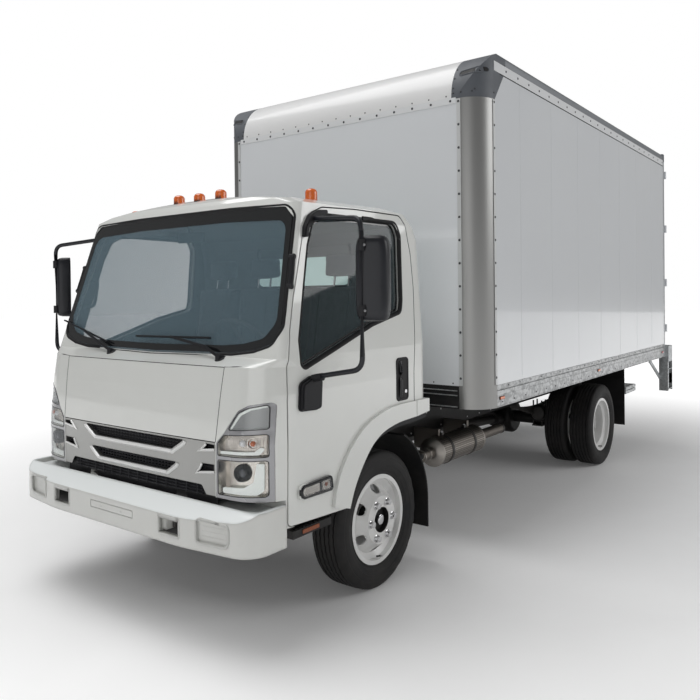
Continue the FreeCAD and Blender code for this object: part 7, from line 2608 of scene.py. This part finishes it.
@dataclass
class BoxTrim:
    """Bolts, strips, seams, slits and lamps on the cargo body."""

    front_x: float = -820.0
    rear_x: float = -5705.0
    half: float = 1219.0
    top: float = 3392.0
    post_leg: float = 190.0
    bolt_step: float = 152.0
    bolt_span: Flat = (1165, 3035)
    flange: Flat = (1115, 3053)
    flange_wide: float = 29.0
    seam_step: float = 1219.0
    strip_z: Flat = (3252, 3318)
    front_strip_z: Flat = (3024, 3064)
    strip_bolt_step: float = 200.0
    front_lips: tuple = ((965, 8), (1044, 7), (1076, 6))
    rail_lips: tuple = ((958, 7, 3), (1034, 5, 2.5), (1104, 6, 3))
    cap_bolts: tuple = ((-860, 3110), (-1150, 3110), (-1000, 3100), (-1168, 3200), (-1168, 3320))
    cap_slit: tuple = ((1036, 3214, 14), (1036, 3244, 14), (1206, 3262, 14), (1206, 3228, 14))
    slit_rim: tuple = ((-6, -2), (-4, 3), (0, 5), (4, 3), (5, -2))
    nose_rivet_z: float = 3082.0
    marker_x: float = -3180.0

    def posts(self, palette: Palette) -> None:
        """Rows of rivets down both edges of each post.

        Args:
            palette: the finishes.
        """
        form = Form()
        low, high = self.bolt_span
        count = int((high - low) / self.bolt_step)
        wide = self.flange_wide
        inner = self.half - self.post_leg
        x = self.front_x - self.post_leg
        for side in Side:
            s = side.value
            form.use("flange_bright")
            form.box((self.front_x, self.front_x + 2.2), sided(s, inner, inner + wide), self.flange)
            form.box((x, x + wide), sided(s, self.half, self.half + 2.2), self.flange)
            form.use("bolt_dark")
            for k in range(count + 1):
                height = low + k * (high - low) / count
                form.rivet(at(self.front_x + 2, s * (inner + 14), height), AHEAD, 9.0, 4.0)
                form.rivet(at(x + 14, s * (self.half + 2), height), Vector((0, s, 0)), 9.0, 4.0)
        form.piece("post_flanges", "chassis", palette, slot="aluminium_post")

    def strips(self, palette: Palette) -> None:
        """White bolted strips at the top of the sides and the front.

        Args:
            palette: the finishes.
        """
        form = Form()
        rear, front = self.rear_x + 70, self.front_x - self.post_leg - 140
        foot, crest = self.strip_z
        for side in Side:
            s = side.value
            form.use("white_trim").box((rear, front + 150), sided(s, self.half, self.half + 3.0),
                                       self.strip_z)
            form.use("panel_gap").box((rear, front + 60), sided(s, self.half, self.half + 1.5),
                                      (foot - 7, foot))
        half = self.half - self.post_leg - 6
        form.use("white_trim").box((self.front_x, self.front_x + 3), (-half, half), self.front_strip_z)
        form.piece("body_strips", "chassis", palette, bevel=0.8, slot="body_panel")
        form = Form().use("bolt_dark")
        count = int((front - rear) / self.strip_bolt_step)
        for side in Side:
            s = side.value
            for k in range(count + 1):
                x = rear + 40 + k * (front - rear - 80) / count
                form.rivet(at(x, s * (self.half + 3.0), (foot + crest) / 2 + 1), Vector((0, s, 0)), 9.0, 4.0)
                form.rivet(at(x, s * self.half, 1096), Vector((0, s, 0)), 5.5, 3.5)
                form.rivet(at(x + 100, s * self.half, 990), Vector((0, s, 0)), 5.5, 3.5)
        for k in range(14):
            y = -half + 40 + k * (2 * half - 80) / 13
            form.rivet(at(self.front_x + 3, y, sum(self.front_strip_z) / 2), AHEAD, 9.0, 4.0)
            form.rivet(at(self.front_x, y, 1128), AHEAD, 5.5, 3.0)
        form.piece("body_bolts", "chassis", palette, slot="steel")

    def seams(self, palette: Palette) -> None:
        """Joints between the side sheets and the roof sheets.

        Args:
            palette: the finishes.
        """
        form = Form().use("seam_grey")
        for side in Side:
            s = side.value
            x = self.front_x - 610
            while x > self.rear_x + 200:
                form.box((x - 1.0, x + 1.0), sided(s, self.half, self.half + 0.6), (1114, 3245))
                x -= self.seam_step / 2
        form.piece("side_seams", "chassis", palette, slot="body_panel")
        form = Form().use("white_trim")
        x = self.front_x - 620
        while x > self.rear_x + 150:
            form.box((x - 12, x + 12), (-1140, 1140), (self.top, self.top + 1.6))
            x -= self.seam_step / 2
        form.piece("roof_seams", "chassis", palette, slot="body_panel")

    def sills(self, palette: Palette) -> None:
        """Lips on the front sill and the side rails, side markers and reflectors.

        Args:
            palette: the finishes.
        """
        form = Form().use("rail_aluminium")
        for z, tall in self.front_lips:
            form.box((self.front_x, self.front_x + 6), (-1016, 1016), (z, z + tall))
        for side in Side:
            s = side.value
            for z, tall, out in self.rail_lips:
                form.box((self.rear_x + 70, self.front_x - self.post_leg - 4),
                         sided(s, self.half, self.half + out), (z, z + tall))
        form.piece("sill_lips", "chassis", palette, bevel=0.8, slot="aluminium_post")
        form = Form()
        for side in Side:
            s = side.value
            for x, finish in ((self.front_x - 260, "amber_lamp"), (self.marker_x, "amber_lamp"),
                              (self.rear_x + 140, "red_lamp")):
                form.use("black_plastic").box((x - 38, x + 38), sided(s, self.half, self.half + 4),
                                              (1006, 1030))
                form.use(finish).box((x - 32, x + 32), sided(s, self.half + 3, self.half + 9), (1009, 1027))
        form.piece("side_markers", "chassis", palette, bevel=2.0, slot="amber_lens")

    def caps(self, palette: Palette) -> None:
        """Slits and bolts in the corner caps, rivets along the nose.

        Args:
            palette: the finishes.
        """
        form = SurfaceForm()
        skin = Skin("corner_caps", "nose_cap", "body_rails", "cargo_roof")
        for side in Side:
            s = side.value
            look = skin.side(s)
            slit = rounded(mirrored(self.cap_slit, s), 6)
            form.use("frame_black").patch(slit, skin.front, 1.2, 2.5, step=24)
            form.use("cap_grey").trim(slit, skin.front, 2.0, self.slit_rim, step=24)
            form.use("bolt_dark")
            for x, z in self.cap_bolts:
                spot, normal = look(x, z)
                form.rivet(spot, normal, 7.0, 4.0)
            for y in (1004, 1060, 1130):
                spot, normal = skin.front(s * y, 3096)
                form.rivet(spot, normal, 7.0, 4.0)
            for z in (3130, 3200, 3270):
                spot, normal = skin.front(s * 1002, z)
                form.rivet(spot, normal, 7.0, 4.0)
        for k in range(15):
            y = -950 + k * 1900 / 14
            spot, normal = skin.front(y, self.nose_rivet_z)
            form.use("bolt_dark").rivet(spot, normal, 5.5, 3.0)
        form.piece("cap_details", "chassis", palette, smooth=50, slot="grey_plastic")
        form = Form().use("cap_grey")
        for side in Side:
            s = side.value
            form.box((self.rear_x, self.rear_x + 66), sided(s, self.half - 60, self.half + 3),
                     (3300, self.top + 3))
        form.piece("rail_end_caps", "chassis", palette, bevel=6, slot="grey_plastic")

    def build(self, palette: Palette) -> None:
        """Build the trim of the body.

        Args:
            palette: the finishes.
        """
        self.posts(palette)
        self.strips(palette)
        self.seams(palette)
        self.sills(palette)
        self.caps(palette)


@dataclass
class RearTrim:
    """Door gaskets, hinge bolts, lock gear, lamps, plate, step treads and lift details."""

    face_x: float = -5745.3
    hinge_shares: tuple = (0.08, 0.333, 0.632, 0.931)
    door_z: Flat = (1126.0, 3300.0)
    gasket: tuple = ((8, 1190), (1131, 3295))
    guide_z: tuple = (1180, 1300, 2212, 3210)
    keeper_z: tuple = (1146, 3280)
    hinge_bolts: tuple = (990, 1040, 1100, 1160)
    frame_x: float = -5721.0
    cluster: Flat = (844, 1056)
    cluster_parts: tuple = (("red_lamp", 0.46), ("amber_lamp", 0.27), ("white_lamp", 0.27))
    marker_y: tuple = (-1120, -180, 0, 180, 1120)
    marker_rim: tuple = ((38, 0), (38, 9), (34, 12), (31, 12), (31, 0))
    tread_z: tuple = (568, 808, 1048)
    lift_hinges: tuple = (-620, -300, 300, 620)

    def doors(self, palette: Palette) -> None:
        """Gaskets, hinge bolts and lock gear on each leaf.

        Args:
            palette: the finishes.
        """
        for side in Side:
            s = side.value
            form = SurfaceForm().use("seal_rubber")
            x = self.face_x
            across, upright = self.gasket
            for y in across:
                form.box((x - 3, x + 6), sided(s, y - 5, y + 5), (upright[0] - 1, upright[1] + 1))
            for z in upright:
                form.box((x - 3, x + 6), sided(s, *across), (z - 5, z + 5))
            form.use("galvanised")
            for z in self.guide_z:
                form.box((x - 16, x), sided(s, 226, 294), (z - 30, z + 30))
                for dz in (-20, 20):
                    for dy in (236, 284):
                        form.use("rivet_steel").bolt(at(x - 16, s * dy, z + dz), BEHIND, 5.0, 6.0)
                form.use("galvanised")
            for z in self.keeper_z:
                form.turned(at(x - 22, s * 260, z - 14), UP, [(19, 0), (22, 8), (22, 22), (18, 28)], 20)
            form.use("rivet_steel")
            for share in self.hinge_shares:
                z = self.door_z[0] + (self.door_z[1] - self.door_z[0]) * share
                for y in self.hinge_bolts:
                    form.bolt(at(x - 6, s * y, z + 16), BEHIND, 6.5, 6.0)
                    form.bolt(at(x - 6, s * y, z - 16), BEHIND, 6.5, 6.0)
            form.use("black_plastic").box((x - 44, x - 20), sided(s, 470, 596), (1464, 1496))
            form.use("galvanised").box((x - 14, x), sided(s, 500, 600), (1430, 1456))
            form.use("seam_grey")
            for y in (420, 800):
                form.box((x - 1, x), sided(s, y - 2, y + 2), (1150, 3280))
            form.piece(f"cargo_door_gear_{side.word}", f"cargo_door_body_{side.word}", palette, bevel=1.0,
                       slot="galvanised")

    def frame(self, palette: Palette) -> None:
        """Lamp lenses, rims, plate lamp, blank plate and keepers on the frame.

        Args:
            palette: the finishes.
        """
        form = SurfaceForm()
        x = self.frame_x
        near, far = self.cluster
        for side in Side:
            form.use("black_plastic")
            form.box((x + 3, x + 14), sided(side.value, near - 8, far + 8), (980, 1072))
            outer = far
            for finish, share in self.cluster_parts:
                inner = outer - (far - near) * share
                form.use(finish).box((x - 2.5, x + 4), sided(side.value, outer, inner + 4), (992, 1060))
                outer = inner
        for y in self.marker_y:
            form.use("black_plastic").turned(at(x + 8, y, 3346), BEHIND, self.marker_rim, 28, closed=True)
            form.use("red_lamp").turned(at(x + 1, y, 3346), BEHIND, [(29, 0), (28, 5), (18, 9), (4, 10)], 24)
        form.use("white_trim").box((-5712, -5708), (-152, 152), (968, 1090))
        form.use("frame_black").box((-5709, -5705), (-162, 162), (960, 1098))
        form.use("rivet_steel")
        for y in (-130, 130):
            for z in (980, 1078):
                form.bolt(at(-5712, y, z), BEHIND, 5, 4)
        form.use("black_plastic").box((-5728, -5705), (-44, 44), (1099, 1111))
        form.piece("rear_lamps_and_plate", "chassis", palette, bevel=1.5, smooth=45, slot="lamp_lens")

    def steps(self, palette: Palette) -> None:
        """Tread holes, bolts and rubber on the corner steps.

        Args:
            palette: the finishes.
        """
        form = Form()
        for side in Side:
            s = side.value
            for z in self.tread_z:
                form.use("frame_black")
                for i in range(5):
                    for j in range(3):
                        form.turned(at(-5868 + 32 * i, s * (1172 + 28 * j), z), UP, [(9, 0), (9, 1.0)], 14)
                form.use("rivet_steel")
                for j in range(2):
                    form.bolt(at(-5900, s * (1165 + 74 * j), z - 4), BEHIND, 5, 4)
            form.use("flap_rubber").box((-5896, -5892), sided(s, 1152, 1252), (620, 740))
            form.use("galvanised").box((-5860, -5740), sided(s, 1146, 1154), (560, 800))
        form.piece("step_details", "chassis", palette, bevel=1.0, slot="galvanised")

    def lift(self, palette: Palette) -> None:
        """Grip plates, hinges, cylinder and chain posts of the folded lift.

        Args:
            palette: the finishes.
        """
        form = Form().use("galvanised")
        for i in range(9):
            for j in range(24):
                x, y = -5580 + 44 * i, -860 + 75 * j
                turn = Matrix.Rotation(math.radians(45 if (i + j) % 2 else -45), 3, "Z")
                form.box((x - 11, x + 11), (y - 3, y + 3), (616, 618.5), turn)
        form.use("rivet_steel")
        for y in self.lift_hinges:
            form.box((-5620, -5598), (y - 40, y + 40), (548, 600))
            form.rod(at(-5612, y - 46, 574), at(-5612, y + 46, 574), 11)
        form.use("frame_black")
        for y in (-365, 365):
            form.rod(at(-5140, y, 584), at(-4880, y * 0.82, 640), 34)
            form.rod(at(-4880, y * 0.82, 640), at(-4700, y * 0.76, 668), 18)
            form.turned(at(-5080, y - 50, 584), Vector((0, 1, 0)), [(66, 0), (66, 100)], 28)
        form.use("dark_steel").box((-4980, -4800), (-120, 120), (600, 720))
        form.piece("lift_details", "chassis", palette, bevel=1.5, slot="galvanised")

    def build(self, palette: Palette) -> None:
        """Build the rear details.

        Args:
            palette: the finishes.
        """
        self.doors(palette)
        self.frame(palette)
        self.steps(palette)
        self.lift(palette)


@dataclass
class UnderTrim:
    """Exhaust bands, axle bolts, brake chambers, straps, caps and flap fixings."""

    exhaust: Flat = (640, 560)
    muffler_x: float = -1786.0
    muffler: tuple = ((44, -40), (60, -34), (98, -8), (108, 0), (108, 12), (105, 14), (105, 652), (108, 654),
                      (108, 668), (98, 676), (60, 700), (44, 706))
    strap_spots: Flat = (-1620, -1260)
    rear_chamber: tuple = ((30, -6), (66, 0), (78, 14), (82, 40), (78, 66), (66, 80), (30, 86))
    front_chamber: tuple = ((24, -6), (52, 0), (60, 12), (62, 40), (60, 62), (50, 74), (24, 80))
    spring_y: float = 390.0
    frame_side: float = 425.0
    rivet_step: float = 230.0
    flap_x: float = -4574.0

    def exhaust_piece(self, palette: Palette) -> None:
        """Muffler shell, straps, bellows and pipe clamp.

        Args:
            palette: the finishes.
        """
        y, z = self.exhaust
        form = SurfaceForm().use("exhaust_bright")
        form.turned(at(self.muffler_x, y, z), AHEAD, self.muffler, 44)
        for x in self.strap_spots:
            form.use("dark_steel").turned(at(x, y, z), AHEAD, [(105, -16), (109, -15), (109, 15), (105, 16)],
                                          40)
            form.box((x - 16, x + 16), (y - 12, y + 12), (664, 690))
            form.use("rivet_steel").bolt(at(x, y, 690), UP, 8, 9)
        form.use("exhaust_bright")
        for x in (-900, -960, -1040):
            form.turned(at(x, y, z), AHEAD, [(43, 0), (48, 3), (48, 12), (43, 15)], 28)
        form.use("dark_steel").turned(at(-2300, y, z), AHEAD, [(42, 0), (45, 2), (45, 24), (42, 26)], 28)
        form.piece("exhaust_details", "chassis", palette, smooth=50, slot="steel")

    def axles(self, palette: Palette) -> None:
        """Spring bolts and plates, brake chambers and the rivets of the frame.

        Args:
            palette: the finishes.
        """
        form = Form().use("dark_steel")
        for axle in (0.0, -WHEELBASE):
            for side in Side:
                middle = side.value * self.spring_y
                for dx in (-52, 52):
                    for y in (middle - 46, middle + 46):
                        form.rod(at(axle + dx, y, 340), at(axle + dx, y, 600), 8, 10)
                        form.bolt(at(axle + dx, y, 340), DOWN, 11, 12)
                form.box((axle - 70, axle + 70), (middle - 56, middle + 56), (330, 342))
        for side in Side:
            s = side.value
            form.turned(at(-3640, s * 470, 500), AHEAD, self.rear_chamber, 32)
            form.rod(at(-3560, s * 470, 500), at(-3700, s * 470, 470), 11, 10)
            form.turned(at(-250, s * 360, 470), AHEAD, self.front_chamber, 28)
        form.use("rivet_steel")
        for side in Side:
            out = Vector((0, side.value, 0))
            x = 900
            while x > -5500:
                for z in (670, 800):
                    form.rivet(at(x, side.value * self.frame_side, z), out, 8, 5)
                x -= self.rivet_step
        form.piece("axle_bolts", "chassis", palette, slot="steel")

    def tank_and_flaps(self, palette: Palette) -> None:
        """Filler cap, battery box lid and ribs, and the fixings of the rear flaps.

        Args:
            palette: the finishes.
        """
        form = Form().use("frame_black")
        form.turned(at(-1400, -700, 800), UP, [(46, -4), (46, 16), (40, 24), (8, 26)], 28)
        form.use("black_plastic").box((-1176, -724), (-864, -466), (798, 812))
        for k in range(8):
            form.box((-1150 + 54 * k, -1138 + 54 * k), (-868, -858), (530, 790))
        form.use("rivet_steel")
        for x in (-1100, -800):
            form.rod(at(x, -866, 700), at(x, -866, 800), 5, 8)
        for side in Side:
            for k in range(5):
                form.bolt(at(self.flap_x + 4, side.value * (620 + 100 * k), 780), BEHIND, 8, 5)
        form.use("galvanised")
        for side in Side:
            form.box((self.flap_x, self.flap_x + 6), sided(side.value, 600, 1050), (760, 800))
        form.piece("tank_and_flap_details", "chassis", palette, bevel=1.5, slot="steel")

    def build(self, palette: Palette) -> None:
        """Build what hangs under the body.

        Args:
            palette: the finishes.
        """
        self.exhaust_piece(palette)
        self.axles(palette)
        self.tank_and_flaps(palette)


@dataclass
class WheelTrim:
    """Valve stems, hub rings and nut washers."""

    nuts: int = 6
    nut_circle: float = 111.0
    front_disc: float = 944.5
    rear_disc: float = 825.0
    hub_bolts: int = 8
    hub_circle: float = 58.0
    front_nut: tuple = ((24, 0), (24, 2.5), (20, 5), (15, 22), (13, 25), (5, 26))
    rear_nut: tuple = ((22, 0), (22, 3), (19.5, 5), (19.5, 25), (16, 29), (6, 30))
    hub_ring: tuple = ((73, 0.5), (73, 3), (40, 6), (34, 5), (31, 5), (31, 0.5))
    disc_ring: tuple = ((76, -2), (76, 1), (80, 3.5), (86, 3.5), (90, 1), (90, -2))

    @staticmethod
    def circle(x: float, y: float, radius: float, count: int, turn: float = 0.0) -> list[Vector]:
        """Places evenly round a wheel's axle, the first one turned from the top by a share of a step.

        Args:
            x: axle place forward.
            y: distance to the left.
            radius: radius of the circle.
            count: how many places.
            turn: share of a step.

        Returns:
            The places.
        """
        angles = [2 * math.pi * (i + turn) / count for i in range(count)]
        return [at(x + radius * math.sin(a), y, TYRE_RADIUS + radius * math.cos(a)) for a in angles]

    def front(self, side: Side, palette: Palette) -> None:
        """Nuts, hub ring with its cap, disc ring and valve of a front wheel.

        Args:
            side: side of the truck.
            palette: the finishes.
        """
        s, disc = side.value, self.front_disc
        out = Vector((0, s, 0))
        form = Form().use("lug_chrome")
        for spot in self.circle(0.0, s * disc, self.nut_circle, self.nuts, 0.5):
            form.turned(spot, out, self.front_nut, 18)
            form.turned(spot, out, [(17.6, 4), (17.6, 20), (15, 22.5)], 6)
        middle = at(0, s * (disc - 36), TYRE_RADIUS)
        form.use("frame_black").turned(middle, out, self.hub_ring, 40, closed=True)
        form.use("lug_chrome").turned(middle + out * 0.030, out, [(29.5, -2), (29.5, 2), (24, 5), (10, 6)],
                                      32)
        form.use("wheel_paint").turned(at(0, s * disc, TYRE_RADIUS), out, self.disc_ring, 48, closed=True)
        valve = [at(0, s * y, TYRE_RADIUS - drop) for y, drop in ((905, 226), (935, 216), (944, 213))]
        form.use("seal_rubber").rod(valve[0], valve[1], 5, 10)
        form.use("lug_chrome").rod(valve[1], valve[2], 4, 10)
        form.piece(f"front_hub_{side.word}", f"front_wheel_body_{side.word}", palette, smooth=40,
                   slot="steel")

    def rear(self, side: Side, palette: Palette) -> None:
        """Nuts, hub cap with its bolts and valve of a twin rear wheel.

        Args:
            side: side of the truck.
            palette: the finishes.
        """
        s, disc = side.value, self.rear_disc
        out = Vector((0, s, 0))
        form = Form().use("lug_chrome")
        for spot in self.circle(-WHEELBASE, s * (disc + 12), self.nut_circle, self.nuts, 0.5):
            form.turned(spot, out, self.rear_nut, 18)
        form.use("wheel_paint")
        cap = at(-WHEELBASE, s * (disc + 96), TYRE_RADIUS)
        form.turned(cap, out, [(70, -3), (70, 2), (60, 7), (8, 9)], 40)
        form.use("rivet_steel")
        for spot in self.circle(-WHEELBASE, s * (disc + 98), self.hub_circle, self.hub_bolts):
            form.bolt(spot, out, 5.5, 7)
        valve = [at(-WHEELBASE, s * y, TYRE_RADIUS - drop) for y, drop in ((1010, 226), (1046, 222))]
        form.use("seal_rubber").rod(*valve, 5, 10)
        form.piece(f"rear_hub_{side.word}", f"rear_wheels_body_{side.word}", palette, smooth=40, slot="steel")

    def build(self, palette: Palette) -> None:
        """Build the parts of each wheel.

        Args:
            palette: the finishes.
        """
        for side in Side:
            self.front(side, palette)
            self.rear(side, palette)


def main() -> None:
    """Build the looks of the truck around its CAD frame."""
    logging.basicConfig(level=logging.INFO, format="%(name)s %(message)s")
    palette = Palette()
    Studio().build()
    Cladding().build(palette)
    for part in (TyreSet(), Headlamps(), Grille(), BumperTrim(), Glazing(), Mirrors(), DoorTrim(), Cabin(),
                 CabSeams(), BoxTrim(), RearTrim(), UnderTrim(), WheelTrim()):
        part.build(palette)


if __name__ == "__main__":
    main()
